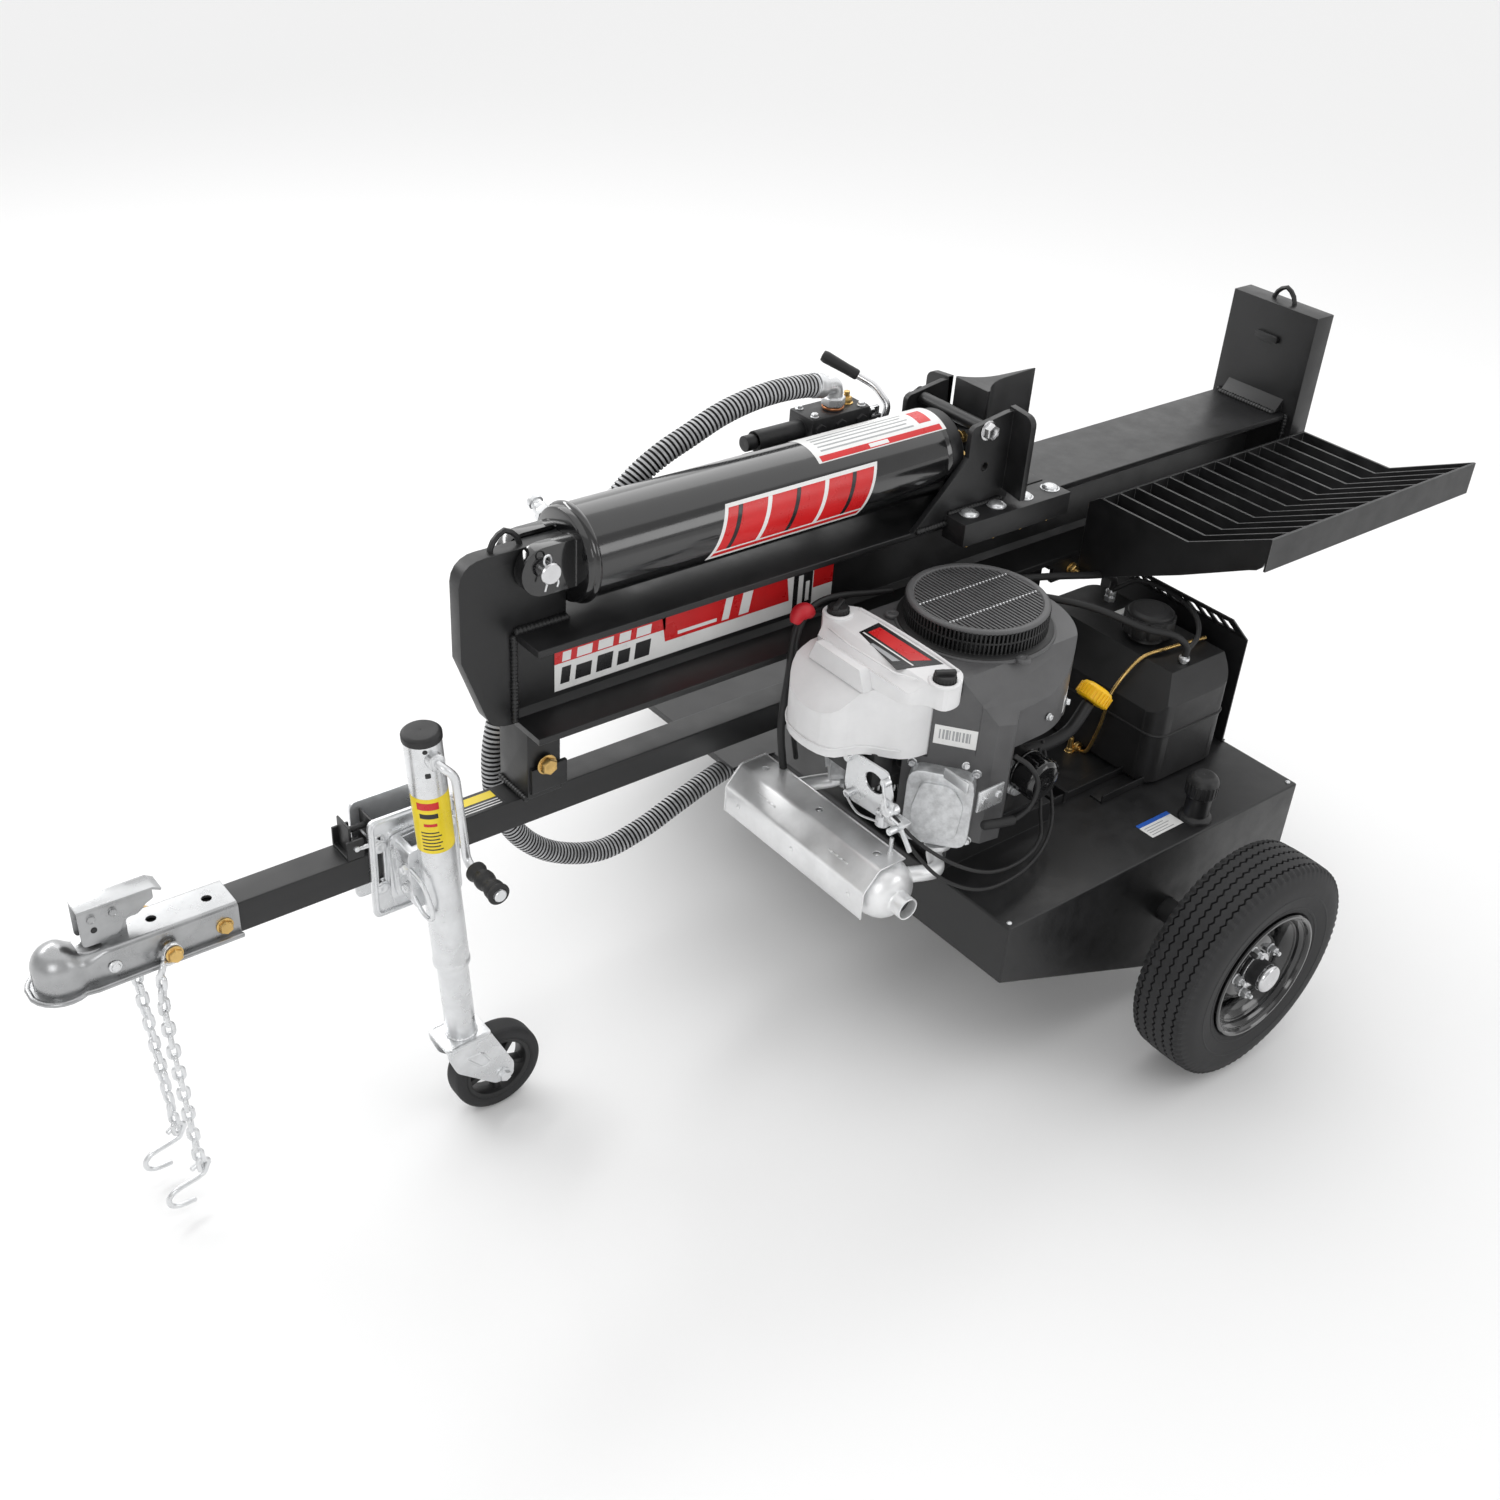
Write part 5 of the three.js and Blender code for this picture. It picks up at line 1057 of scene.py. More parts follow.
for side in (-1, 1):
    cheek.append(disc("y", 5.6, side * 15.4, side * 18, -1621, 564, 24, 1.2))
    cheek.append(disc("y", 5.6, side * 15.4, side * 18, -1592, 564, 24, 1.2))
build("coupler_latch_shape", eased(merged(*cheek, ridge), 1.0, 8, 50), "bright_zinc", "latch",
    replaces=("coupler_latch",), materials=[COUPLER_SHADED_ZINC])
build("coupler_latch_spring", merged(block(-1630, -1600, -9, 9, 524, 560),
        disc("y", 4.4, -17, 17, -1619, 545, 20)), "black_plastic", "latch")
fasteners("coupler_rivets",
    lambda: merged(lathe([(0, 0), (9.5, 0), (9.5, 1.2), (8.6, 2), (6.2, 2.2), (5.6, 3.6), (0, 4)],
            sides=32)), [((-1605, -32, 488), (0, -1, 0)), ((-1605, 32, 488), (0, 1, 0))],
    "bright_zinc", "frame")
fasteners("coupler_bolts", lambda: hex_head(21, 7.6), [((-1532, -50.4, 488), (0, -1, 0)),
        ((-1453, -32, 488), (0, -1, 0))], "yellow_zinc", "frame")
fasteners("coupler_nuts", lambda: stud_nut(21, 8), [((-1532, 50.4, 488), (0, 1, 0)),
        ((-1453, 32, 488), (0, 1, 0))], "yellow_zinc", "frame")
build("coupler_bolt_shank", disc("y", 6.2, -50.6, 50.6, -1532, 488, 24), "yellow_zinc", "frame",
    replaces=("coupler_bolt_front",))

# ---------------------------------------------------------------- jack
JACK_LEAN = -0.0717
JACK_AT = shift(-1154.5, -95, 485) @ Matrix.Rotation(JACK_LEAN, 4, "Y")
JACK_R = 27.0
clamp = carved(prism("y", rect(-1231, -1086, 396, 570, 13), -30.7, -25.7),
    cuts=[prism("y", rect(x - 4.5, x + 4.5, 442, 540, 4.4), -40, -20) for x in (-1215, -1101)])
eased(clamp, 1.4, 3, 45)
rim_line = [(x, -31, z) for x, z in rect(-1225, -1092, 402, 564, 11)]
clamp_rim = sweep(rim_line, 2.6, 10, closed=True)
slot_rims = [sweep([(x, -30.6, z) for x, z in rect(c - 6.5, c + 6.5, 440, 542, 6.4)], 1.6, 8,
        closed=True) for c in (-1215, -1101)]
step_plate = eased(prism("y", rect(-1203, -1113, 422, 545, 9), -34.6, -30), 1.6, 3, 45)
far_clamp = eased(prism("y", rect(-1231, -1086, 396, 570, 13), 25.7, 30.7), 1.4, 3, 45)
u_bolts = []
for x in (-1215, -1101):
    for z in (449, 523):
        u_bolts += [disc("y", 5.5, -34, 41, x, z, 20), stood(hex_head(19, 2.7), (x, -31, z),
                (0, -1, 0)), stood(stud_nut(19, 8), (x, 30.7, z), (0, 1, 0))]
build("jack_clamp", merged(clamp, clamp_rim, *slot_rims, step_plate, far_clamp, *u_bolts,
        disc("y", 33, -35.4, -26, -1154.5, 485, 64)), "bright_zinc", "frame", smooth=35,
    replaces=("jack_mount",))
bracket = carved(block(-1262, -1236, -25, 25, 511.3, 543),
    cuts=[block(-1270, -1220, -21, 21, 515, 560)])
build("jack_stay_bracket", eased(bracket, 1.0, 3, 50), "satin_black_paint", "frame")
build("jack_stay_pin", merged(sweep([(-1249, 27, 531), (-1249, -30, 531)], 4.2, 16),
        sweep([(-1249, -24, 528), (-1214, -30, 530)], 3.4, 12)), "bright_zinc", "frame")

outer = turned([(JACK_R, -166), (JACK_R, 250), (JACK_R - 2.6, 250), (JACK_R - 2.6, -166)], 0.8, "z",
    72)
foot_ring = turned([(JACK_R - 0.4, -166), (JACK_R + 1.1, -164), (JACK_R + 1.1, -158),
        (JACK_R - 0.4, -154)], 0.5, "z", 72)
flange = eased(prism("y", rect(-46, 46, -58, 58, 15), 54.3, 59.3), 1.6, 3, 45)
pocket = carved(prism("y", rect(-40, 40, -52, 52, 12), 14, 55),
    cuts=[block(-26, 26, 26, 53, -80, 80), disc("z", JACK_R - 1, -90, 90, 0, 0, 40, 0)])
eased(pocket, 3.4, 5, 45)
build("jack_tube_shape", merged(outer, foot_ring, flange, pocket), "bright_zinc", "jack_tube",
    at=JACK_AT, smooth=35, replaces=("jack_outer_tube",))
ring_path = [(-38, 30, 22), (-38, 4, 21), (-36, -14, 12), (-33, -22, -12), (-31, -25, -38),
    (-32, -20, -52), (-35, -8, -52), (-37, 6, -40), (-38, 30, -14)]
build("jack_pull_ring", merged(sweep(catmull(ring_path, 2), 3.4, 14),
        stood(hex_head(16, 7), (-40, 22, 21), (-1, -0.2, 0)), stood(hex_head(16, 7), (-40, 24, -15),
            (-1, -0.2, 0))), "bright_zinc", "jack_tube", at=JACK_AT)
build("jack_cap_shape", turned([(0, 246), (JACK_R + 1.6, 246), (JACK_R + 1.6, 256),
            (JACK_R - 3, 259.4), (0, 260)], 1.6, "z", 72), "black_plastic", "jack_tube", at=JACK_AT,
    replaces=("jack_cap",))
gear_nut = merged(disc("y", 13, -38, -24, 0, 225, 40, 1.4), eased(block(-9, 9, -40, -30, 215, 235),
        1.5, 2, 50))
build("jack_crank_boss", gear_nut, "bright_zinc", "jack_tube", at=JACK_AT)
HOLE_TURN = Matrix.Rotation(math.radians(-112), 4, "Z")
# Black patches set in the tube wall: painted shade standing for a round hole and a square hole,
# which are not cut.
build("jack_tube_hole_shade", moved(merged(disc("x", 3.6, JACK_R - 2, JACK_R + 0.3, 0, 240, 20, 0.1),
            prism("x", rect(-4, 4, 196, 204, 2), JACK_R - 3, JACK_R + 0.3)), HOLE_TURN),
    "black_plastic", "jack_tube", at=JACK_AT)


def on_jack(degrees, z, lift):
    angle = math.radians(degrees)
    return (JACK_R + lift) * math.cos(angle), (JACK_R + lift) * math.sin(angle), z


jack_notice = [strip(168, 352, 64, 160, "yellow", 0.2), strip(200, 268, 141, 153, "red", 0.35),
    strip(206, 262, 126, 134, "black", 0.35), strip(216, 256, 112, 117, "red", 0.35)]
jack_notice += [strip(204, 266 - 7 * (n % 2), 70 + 6 * n, 72 + 6 * n, "black", 0.35)
    for n in range(6)]
label("jack_notice", jack_notice, on_jack, "bright_zinc", body="jack_tube", at=JACK_AT,
    grid=(24, 1))
inner = turned([(23.5, -312), (23.5, 70), (20, 70), (20, -312)], 0.8, "z", 64)
build("jack_leg_shape", inner, "bright_zinc", "jack_leg", at=JACK_AT, replaces=("jack_inner_tube",))
build("jack_crank_bar",
    merged(bent([(0, -14, 225), (0, -49, 225), (16, -54, 206), (18, -54, 60), (18, -68, 51)], 13,
            6.3, 3, 20), disc("y", 5, -142, -62, 18, 52, 24), disc("y", 9.5, -146, -141.6, 18, 52,
            24, 1.2)), "bright_zinc", "jack_crank", at=JACK_AT, replaces=("jack_crank_arm",))
grip_line = [(5.6, -75), (13.6, -75), (15.4, -77), (15.6, -82), (13.2, -86), (12.6, -92),
    (14.6, -97), (15.4, -103), (14.4, -109), (12.8, -113), (13.0, -119), (14.8, -124), (15.2, -129),
    (14, -133), (16.4, -137), (16.6, -140.6), (15, -142.5), (9.8, -142.5), (9.8, -139), (5.6, -139)]
build("jack_grip_shape", moved(turned(grip_line, 0.9, "y", 48), shift(18, 0, 52)), "black_rubber",
    "jack_grip", at=JACK_AT, replaces=("jack_crank_grip",))
build("jack_grip_ferrule",
    moved(turned([(5.4, -139.4), (9.6, -139.4), (9.6, -141.4), (5.4, -141.4)], 0.4, "y", 32),
        shift(18, 0, 52)), "bright_zinc", "jack_grip", at=JACK_AT)

FORK_TOP, TRAIL, DROP = -312.3, 48.0, 414.45
cheek_line = soft([(-40, FORK_TOP), (34, FORK_TOP), (42, FORK_TOP - 20), (TRAIL + 21, -DROP + 14),
        (TRAIL + 17, -DROP - 12), (TRAIL - 14, -DROP - 13), (-30, FORK_TOP - 52),
        (-41, FORK_TOP - 16)], 7)
emboss = [(-14, FORK_TOP - 30), (16, FORK_TOP - 34), (30, FORK_TOP - 62), (14, FORK_TOP - 66)]
fork_parts = []
for side in (-1, 1):
    lo, hi = (-31, -27) if side < 0 else (27, 31)
    fork_parts.append(eased(prism("y", cheek_line, lo, hi), 1.3, 3, 45))
    rim_path = [(x, side * 31.2, z) for x, z in soft(emboss, 8)]
    fork_parts.append(sweep(rim_path, 1.9, 8, closed=True))
fork_parts += [eased(prism("z", rect(-42, 36, -34, 34, 9), FORK_TOP - 5, FORK_TOP), 1.6, 3, 45),
    turned([(0, FORK_TOP - 2), (21, FORK_TOP - 2), (18, FORK_TOP + 4), (17.8, -272), (0, -272)], 1,
        "z", 40), disc("y", 6, -36, 36, TRAIL, -DROP, 24),
    stood(hex_head(20, 7.5), (TRAIL, -31, -DROP), (0, -1, 0)),
    stood(hex_head(20, 7.5), (TRAIL, 31, -DROP), (0, 1, 0))]
build("jack_fork_shape", merged(*fork_parts), "bright_zinc", "jack_castor", at=JACK_AT, smooth=35,
    replaces=("jack_fork",))
weld("jack_fork_weld", [(23 * math.cos(t), 23 * math.sin(t), FORK_TOP + 1.5)
        for t in (2 * math.pi * k / 48 for k in range(49))], 2.2, "jack_castor", JACK_AT,
    "bright_zinc")
WHEEL_AT = shift(*(middle("jack_wheel") - ORIGIN))
rubber = turned([(57, -17), (62, -20), (69, -20.5), (74.5, -17), (76, -11), (76, 11), (74.5, 17),
        (69, 20.5), (62, 20), (57, 17)], 1.6, "y", 96)
build("jack_roller_tyre", rubber, "tyre_rubber", "jack_roller", at=WHEEL_AT,
    replaces=("jack_wheel",))
web_line = turned([(50, -16), (57.4, -17.6), (57.4, 17.6), (50, 16), (48.5, 4), (48.5, -4)], 1, "y",
    72)
spokes = spun(lambda: eased(block(12, 51, -9, 9, -5.5, 5.5), 2.2, 3, 45), 5, "Y", 0.3)
hub_line = turned([(6.4, -22), (16, -22), (17, -18), (17, 18), (16, 22), (6.4, 22)], 0.8, "y", 48)
build("jack_roller_wheel", merged(web_line, hub_line, *spokes), "black_plastic", "jack_roller",
    at=WHEEL_AT)

# ---------------------------------------------------------------- engine
ENGINE_AT = shift(-268, -246, 386)
HEAD_YAW, COWL_REACH = 0.66, 185
HEAD_TURN = [Matrix.Rotation(math.pi - side * HEAD_YAW, 4, "Z") for side in (-1, 1)]
case = merged(turned([(60, 0.3), (112, 0.3), (112, 8), (99, 14), (97, 60), (99, 62), (99, 68),
            (97, 70), (97, 150), (99, 152), (99, 158), (97, 160), (97, 208), (60, 210)], 1, "z",
        96), eased(carved(prism("z", rect(-112, 112, -112, 112, 22), 0.3, 9),
            cuts=[disc("z", 60, -2, 12, 0, 0, 48, 0)]), 1.5, 3, 45),
    *(moved(eased(block(92, 104, -3, 3, 14, 205), 1.2, 3, 45), Matrix.Rotation(a, 4, "Z"))
        for a in (math.radians(d) for d in (-20, 8, 36, -48, -76, 64, 92, 250, 228, 206))),
    disc("y", 30, -122, -60, 37, 98, 48, 2))
build("engine_crankcase", case, "black_casting", "frame", at=ENGINE_AT)
build("engine_base_bolts", merged(*(moved(hex_head(20, 8), shift(x, y, 9)) for x in (-98, 98)
            for y in (-98, 98))), "bright_zinc", "frame", at=ENGINE_AT)
heads, covers, head_bolts = [], [], []
for turn in HEAD_TURN:
    barrel = [eased(prism("x", rect(-46, 46, 41, 159, 16), 78, 192), 3, 3, 45)]
    for k in range(9):
        barrel.append(prism("x", rect(-60, 60, 27, 173, 12), 92 + 8.6 * k, 94.6 + 8.6 * k))
    barrel.append(eased(prism("x", rect(-59, 59, 27, 173, 18), 166, 176), 1.6, 3, 45))
    heads += [moved(b, turn) for b in barrel]
    dome = eased(prism("x", rect(-53, 53, 33, 167, 24), 175, 210), 9, 8, 45, 4)
    swell = eased(
        prism("x", soft([(-34, 52), (34, 52), (40, 120), (18, 150), (-30, 150), (-42, 96)], 12),
            206, 216), 4, 6, 45, 3)
    edge = sweep([(177.5, y, z) for y, z in rect(-57, 57, 29, 171, 17)], 2.6, 10, closed=True)
    covers += [moved(b, turn) for b in (dome, swell, edge)]
    for y, z in ((-51, 36), (51, 36), (-51, 164), (51, 164)):
        head_bolts.append(
            moved(
                stood(merged(disc("z", 8.5, -6, 3, 0, 0, 24),
                        moved(hex_head(13, 6), shift(0, 0, 3))), (181, y, z), (1, 0, 0)), turn))
build("cylinder_heads", merged(*heads), "cast_aluminium", "frame", at=ENGINE_AT,
    replaces=("engine_block",))
build("rocker_covers", merged(*covers), "cast_aluminium", "frame", at=ENGINE_AT, smooth=50)
build("rocker_cover_bolts", merged(*head_bolts), "bright_zinc", "frame", at=ENGINE_AT)
build("dipstick_tube",
    sweep(catmull([(60, -70, 90), (122, -92, 100), (160, -101, 118), (196, -102, 160)], 3), 11, 28),
    "black_plastic", "frame", at=ENGINE_AT)
cap_ribs = spun(lambda: block(28, 30.6, -1.5, 1.5, 3, 22), 28, "Z")
cap_shape = merged(turned([(12, 0), (26, 0), (28.6, 3), (28.6, 22), (25, 27), (12, 28), (0, 28.4),
            (0, 8), (12, 8)], 1.4, "z", 64), *cap_ribs,
    turned([(15, 27), (17, 29.4), (19, 28.6), (21, 27)], 0.4, "z", 64))
build("oil_cap_shape", cap_shape, "yellow_plastic", BODY_OF["oil_cap"],
    at=ENGINE_AT @ shift(198.5, -102.2, 163.5) @ Matrix.Rotation(0.72, 4, "Y"),
    replaces=("oil_cap",))
filter_can = turned([(0, -170), (18, -170), (29, -168.5), (35, -163), (36, -157), (36, -128),
        (37.2, -127), (37.2, -123), (0, -122.4)], 1.4, "y", 96)
flutes = spun(lambda: eased(block(35, 37.4, -163, -150, -2.6, 2.6), 0.9, 2, 45), 15, "Y")
build("oil_filter_can", merged(filter_can, *flutes), "gloss_black_paint", "frame",
    at=ENGINE_AT @ shift(37, 0, 98), replaces=("oil_filter",))
adapter = merged(
    eased(prism("y", soft([(-30, 20), (-44, 0), (-40, -30), (-10, -52), (40, -44), (44, -8),
                    (30, 24)], 8), -121, -110), 1.6, 3, 45), disc("y", 8, -128, -109, -34, -24, 24),
    disc("y", 8, -128, -109, 30, -36, 24), stood(hex_head(13, 6), (-34, -128, -24), (0, -1, 0)),
    stood(hex_head(13, 6), (30, -128, -36), (0, -1, 0)))
build("oil_filter_bracket", adapter, "cast_aluminium", "frame", at=ENGINE_AT @ shift(37, 0, 98))

# ---------------------------------------------------------------- blower housing
SHROUD_TOP, SHROUD_R = 325.0, 163.0


def plan(inset, steps=48):
    r = SHROUD_R - inset
    points = [(r * math.cos(t), r * math.sin(t)) for t in (math.pi * (k / steps - 0.5)
            for k in range(steps + 1))]
    return points + [(-52, r + 2), (-120 + inset, 150 - inset), (-120 + inset, -150 + inset),
        (-52, -r - 2)]


def cowl(side, inset):
    angle = math.pi - side * HEAD_YAW
    c, s = math.cos(angle), math.sin(angle)
    reach, rear = COWL_REACH - inset, 98 - inset
    line = [(80 - 5 * inset, rear), (reach - 25, rear), (reach, rear - 26), (reach, inset - 75),
        (35 - 5 * inset, inset - 75)]
    return [(d * c + side * p * s, d * s - side * p * c) for d, p in line]


def housing(inset, floor):
    low = 196 - floor
    body = prism("z", plan(inset), low, SHROUD_TOP - inset)
    wings = [prism("z", cowl(side, inset), 34 - floor, SHROUD_TOP - inset) for side in (-1, 1)]
    slopes = []
    for side in (-1, 1):
        a = 118 - inset
        slopes.append(prism("x", [(side * a, SHROUD_TOP + 1), (side * 200, SHROUD_TOP + 1),
                    (side * 200, SHROUD_TOP + 1 - (200 - a) * 1.33)], -240, 200))
    return carved(body, wings, slopes)


COVER_PLAN = [(-140, 118), (-168, 144), (-200, 144), (-216, 118), (-240, 108), (-244, -40),
    (-236, -98), (-208, -112), (-200, -144), (-168, -144), (-140, -118)]
NOSE_PLAN = [(-124, -92), (-206, -84), (-250, -28), (-302, -18), (-314, 30), (-308, 82),
    (-272, 124), (-124, 134)]


def grown(points, by):
    mx = sum(p[0] for p in points) / len(points)
    my = sum(p[1] for p in points) / len(points)
    out = []
    for x, y in points:
        k = 1 + by / math.hypot(x - mx, y - my)
        out.append((mx + (x - mx) * k, my + (y - my) * k))
    return out


rooms = [prism("z", grown(COVER_PLAN, 2), 298, 350), prism("z", grown(NOSE_PLAN, 2.5), 178, 302),
    block(-250, -40, -60, 60, 20, 178), disc("z", 100, 20, 230, 0, 0, 64, 0),
    block(-240, 200, 164, 210, 230, 335), disc("z", 104, 300, 340, 0, 0, 96, 0)]
rooms += [moved(block(140, 260, -68, 68, 28, 178), turn) for turn in HEAD_TURN]
outside = housing(0, 0)
eased(outside, 7, 14, 24, 3)
shell = carved(outside, cuts=[housing(4, 6)] + rooms)
build("blower_housing", shell, "charcoal_plastic", "frame", at=ENGINE_AT, smooth=32,
    replaces=("engine_shroud",))
tabs = []
for degrees in (-100, 20, 140):
    a = math.radians(degrees)
    spot = (132 * math.cos(a), 132 * math.sin(a))
    tabs += [moved(turned([(0, 0), (12, 0), (12, 5), (10, 7), (5, 7), (4, 5), (0, 5)], 0.8,
                sides=32), shift(*spot, SHROUD_TOP)),
        moved(eased(block(-16, 2, -9, 9, 0, 6), 1.5, 3, 45), shift(*spot, SHROUD_TOP)
            @ Matrix.Rotation(a, 4, "Z"))]
rim_up = turned([(112, SHROUD_TOP - 1), (130, SHROUD_TOP - 1), (129, SHROUD_TOP + 3),
        (120, SHROUD_TOP + 5), (112, SHROUD_TOP + 5)], 1, "z", 128)
seam = sweep(even([Vector((*p, 198)) for p in plan(-0.4)[8:42]], 6), 1.3, 8)
build("blower_housing_rim", merged(rim_up, *tabs, seam), "charcoal_plastic", "frame", at=ENGINE_AT,
    smooth=40)
build("housing_screws",
    merged(*(stood(hex_head(11, 5), spot, way) for spot, way in (((-150, -158, 196), (-0.3, -1, 0)),
                ((20, -163.4, 228), (0.12, -1, 0)), ((96, -133, 214), (0.6, -0.8, 0)),
                ((146, -72, 212), (0.9, -0.45, 0)), ((96, 133, 214), (0.6, 0.8, 0))))),
    "bright_zinc", "frame", at=ENGINE_AT)

# Debris screen: slotted drum, lighter top ring, close parallel slats and two dotted straps. The
# ring and slats are lighter charcoal plastic as a painted highlight on their lit tops.
LOW, HIGH = SHROUD_TOP + 0.3, 372.0
drum = [turned([(104, LOW), (126, LOW), (126, LOW + 5), (118, LOW + 7), (112, LOW + 8),
            (104, LOW + 8)], 1, "z", 128),
    lathe([(108, LOW + 24), (115.4, LOW + 24), (115.4, LOW + 27), (108, LOW + 27)], "z", 128),
    lathe([(105, LOW + 6), (107, LOW + 6), (105.5, HIGH - 5), (103.5, HIGH - 5)], "z", 96)]
drum += spun(lambda: block(107, 115.8, -1.5, 1.5, LOW + 6, HIGH - 5), 104, "Z")
build("screen_drum", merged(*drum), "black_plastic", "frame", at=ENGINE_AT, smooth=30,
    replaces=("fan_screen",))
top_ring = turned([(101, HIGH - 6), (114.5, HIGH - 6), (114.5, HIGH - 2), (111, HIGH), (104, HIGH),
        (101, HIGH - 2.5)], 1, "z", 128)
slats = []
for k in range(28):
    x = (k - 13.5) * 7.25
    half = math.sqrt(102.5 ** 2 - x * x)
    slats.append(block(x - 1.7, x + 1.7, -half, half, HIGH - 7, HIGH - 1.4))
# Charcoal plastic on the black screen: painted highlight for the lit slat tops.
build("screen_slats", merged(top_ring, *slats), "charcoal_plastic", "frame", at=ENGINE_AT,
    smooth=30)
dots = []
for y in (-34, 34):
    half = math.sqrt(102 ** 2 - y * y)
    dots.append(block(-half, half, y - 1.6, y + 1.6, HIGH - 6, HIGH - 3))
    for k in range(27):
        dots.append(moved(dome_head(5.4, 1.7), shift((k - 13) * 7.25, y, HIGH - 3.2)))
build("screen_straps", merged(*dots), "bright_zinc", "frame", at=ENGINE_AT)
blades = [lathe([(15, 262), (92, 262), (92, 270), (60, 272), (24, 276), (15, 276)], "z", 64)]
blades += spun(lambda: block(58, 92, -1.5, 1.5, 268, 303), 16, "Z")
build("fan_blades", merged(*blades), "cast_aluminium", BODY_OF["flywheel_fan"], at=ENGINE_AT,
    smooth=30, replaces=("flywheel_fan",))

# ---------------------------------------------------------------- air filter cover
COVER_TOP = 338.0
top_plate = prism("z", soft(COVER_PLAN, 13), 300, COVER_TOP)
slope = prism("y", [(-226, 304), (-340, 304), (-340, 246), (-322, 246), (-262, 292)], -200, 200)
skirt = carved(prism("z", soft(NOSE_PLAN, 24), 182, 302), cuts=[slope])
lump = prism("x", [(-34, 296), (96, 296), (82, 330), (-20, 330)], -262, -222)
fore = prism("y", [(-232, 320), (-206, 338.5), (-262, 338.5)], -200, 200)
cover = carved(top_plate, joins=[skirt, lump], cuts=[fore])
eased(cover, 6.5, 7, 26, 3)
hollow = prism("z", [(-128, -80), (-202, -76), (-244, -20), (-292, -10), (-302, 30), (-296, 76),
        (-264, 114), (-128, 124)], 170, 250)
build("air_filter_shape", carved(cover, cuts=[hollow]), "grey_plastic", "frame", at=ENGINE_AT,
    smooth=34, replaces=("air_filter_cover",))
band = soft([(x * 1.004, y) for x, y in NOSE_PLAN], 24)
keep = [Vector((x, y, 197)) for x, y in band if x < -200]
back_rim = [Vector(p) for p in ((-146, 112, 338.5), (-143, 60, 339), (-142, 0, 339),
        (-143, -60, 339), (-146, -112, 338.5))]
lugs = []
for y in (122, -122):
    lugs.append(moved(turned([(17.5, 0), (25, 0), (25, 3), (23, 5), (19, 5), (17.5, 3)], 0.8,
                sides=48), shift(-184, y, COVER_TOP - 1)))
build("air_filter_trim", merged(sweep(even(keep, 4), 2.4, 10), sweep(catmull(back_rim, 5), 3.0, 12),
        sweep([Vector((-214, -96, 338)), Vector((-228, -60, 336)), Vector((-232, 40, 336)),
                Vector((-226, 96, 337))], 1.6, 8), *lugs), "grey_plastic", "frame", at=ENGINE_AT,
    smooth=50)


def on_cover(x, y, lift):
    return x, y, COVER_TOP + lift


badge = [([(-222, -58), (-150, -84), (-150, 64), (-196, 58)], "black", 0.3),
    ([(-187, -50), (-158, -66), (-158, 52), (-184, 50)], "red", 0.5),
    ([(-194, -62), (-191, -63), (-189, 54), (-192, 54)], "white", 0.5),
    ([(-211, -36), (-200, -42), (-200, 20), (-206, 22)], "grey", 0.5)]
label("filter_cover_badge", badge, on_cover, "grey_plastic", at=ENGINE_AT)
for name, y in (("left", 122), ("right", -122)):
    knob = merged(turned([(0, 0), (17, 0), (17, 10), (15, 12.5), (0, 12.5)], 1.2, "z", 48),
        eased(block(-16.5, 16.5, -5, 5, 11, 19), 2.6, 3, 45, 3),
        *spun(lambda: block(16, 17.8, -1.2, 1.2, 1, 10), 20, "Z"))
    build(f"filter_knob_{name}_shape", knob, "black_plastic", BODY_OF["filter_knob_" + name],
        at=ENGINE_AT @ shift(-184, y, COVER_TOP + 0.3) @ Matrix.Rotation(0.5 * y / 122, 4, "Z"),
        replaces=("filter_knob_" + name,))

# Carburettor, its bracket and linkage under the filter cover.
build("carburettor", merged(eased(block(-196, -96, -34, 24, 112, 172), 5, 4, 45),
        disc("z", 24, 84, 112, -150, -4, 48, 2), disc("y", 14, -60, -30, -158, 140, 32),
        eased(block(-240, -196, -52, 60, 120, 186), 8, 4, 45)), "black_casting", "frame",
    at=ENGINE_AT)
plate = carved(prism("x", soft([(-92, 96), (-22, 90), (-4, 112), (-6, 178), (-96, 184), (-112, 150),
                (-110, 118)], 7), -252, -249),
    cuts=[prism("x", [(-70 + 22 * math.cos(t), 150 + 17 * math.sin(t))
                for t in (2 * math.pi * k / 32 for k in range(32))], -260, -240)])
eased(plate, 0.8, 3, 50)
links = [disc("x", 7, -262, -249, y, z, 24) for y, z in ((-98, 168), (-12, 168), (-20, 104),
        (-96, 110))]
links += [eased(block(-262, -244, -152, -108, 104, 122), 2, 3, 45),
    disc("z", 12, 84, 112, -248, -94, 32, 1.5), disc("x", 9, -272, -250, -122, 132, 24),
    disc("x", 6, -280, -250, -140, 110, 24),
    sweep(catmull([(-262, -98, 168), (-272, -116, 152), (-270, -124, 132), (-262, -142, 118)], 2),
        2.2, 10), sweep(catmull([(-262, -18, 104), (-272, -60, 96), (-270, -104, 104)], 2), 1.8,
        10), sweep([(-262, -150, 112), (-266, -176, 90)], 4, 12),
    eased(block(-268, -262, -130, -104, 120, 150), 1.4, 3, 45), disc("z", 3.4, 40, 88, -262, -132,
        20, 1), disc("z", 5.2, 46, 62, -262, -132, 20, 1)]
build("governor_bracket", merged(plate, *links), "bright_zinc", "frame", at=ENGINE_AT)
side_plate = merged(eased(block(-176, -172, -192, -140, 172, 190), 1, 2, 45),
    eased(block(-150, -96, -196, -192, 128, 166), 1.4, 2, 45), disc("y", 6, -199, -192, -138, 147,
        20), disc("y", 6, -199, -192, -106, 147, 20))
build("lead_bracket", side_plate, "bright_zinc", "frame", at=ENGINE_AT)


def cable(name, points, radius, at=ENGINE_AT, sides=12):
    build(name, sweep(catmull(points, 3), radius, sides), "black_rubber", "frame", at=at, smooth=60)


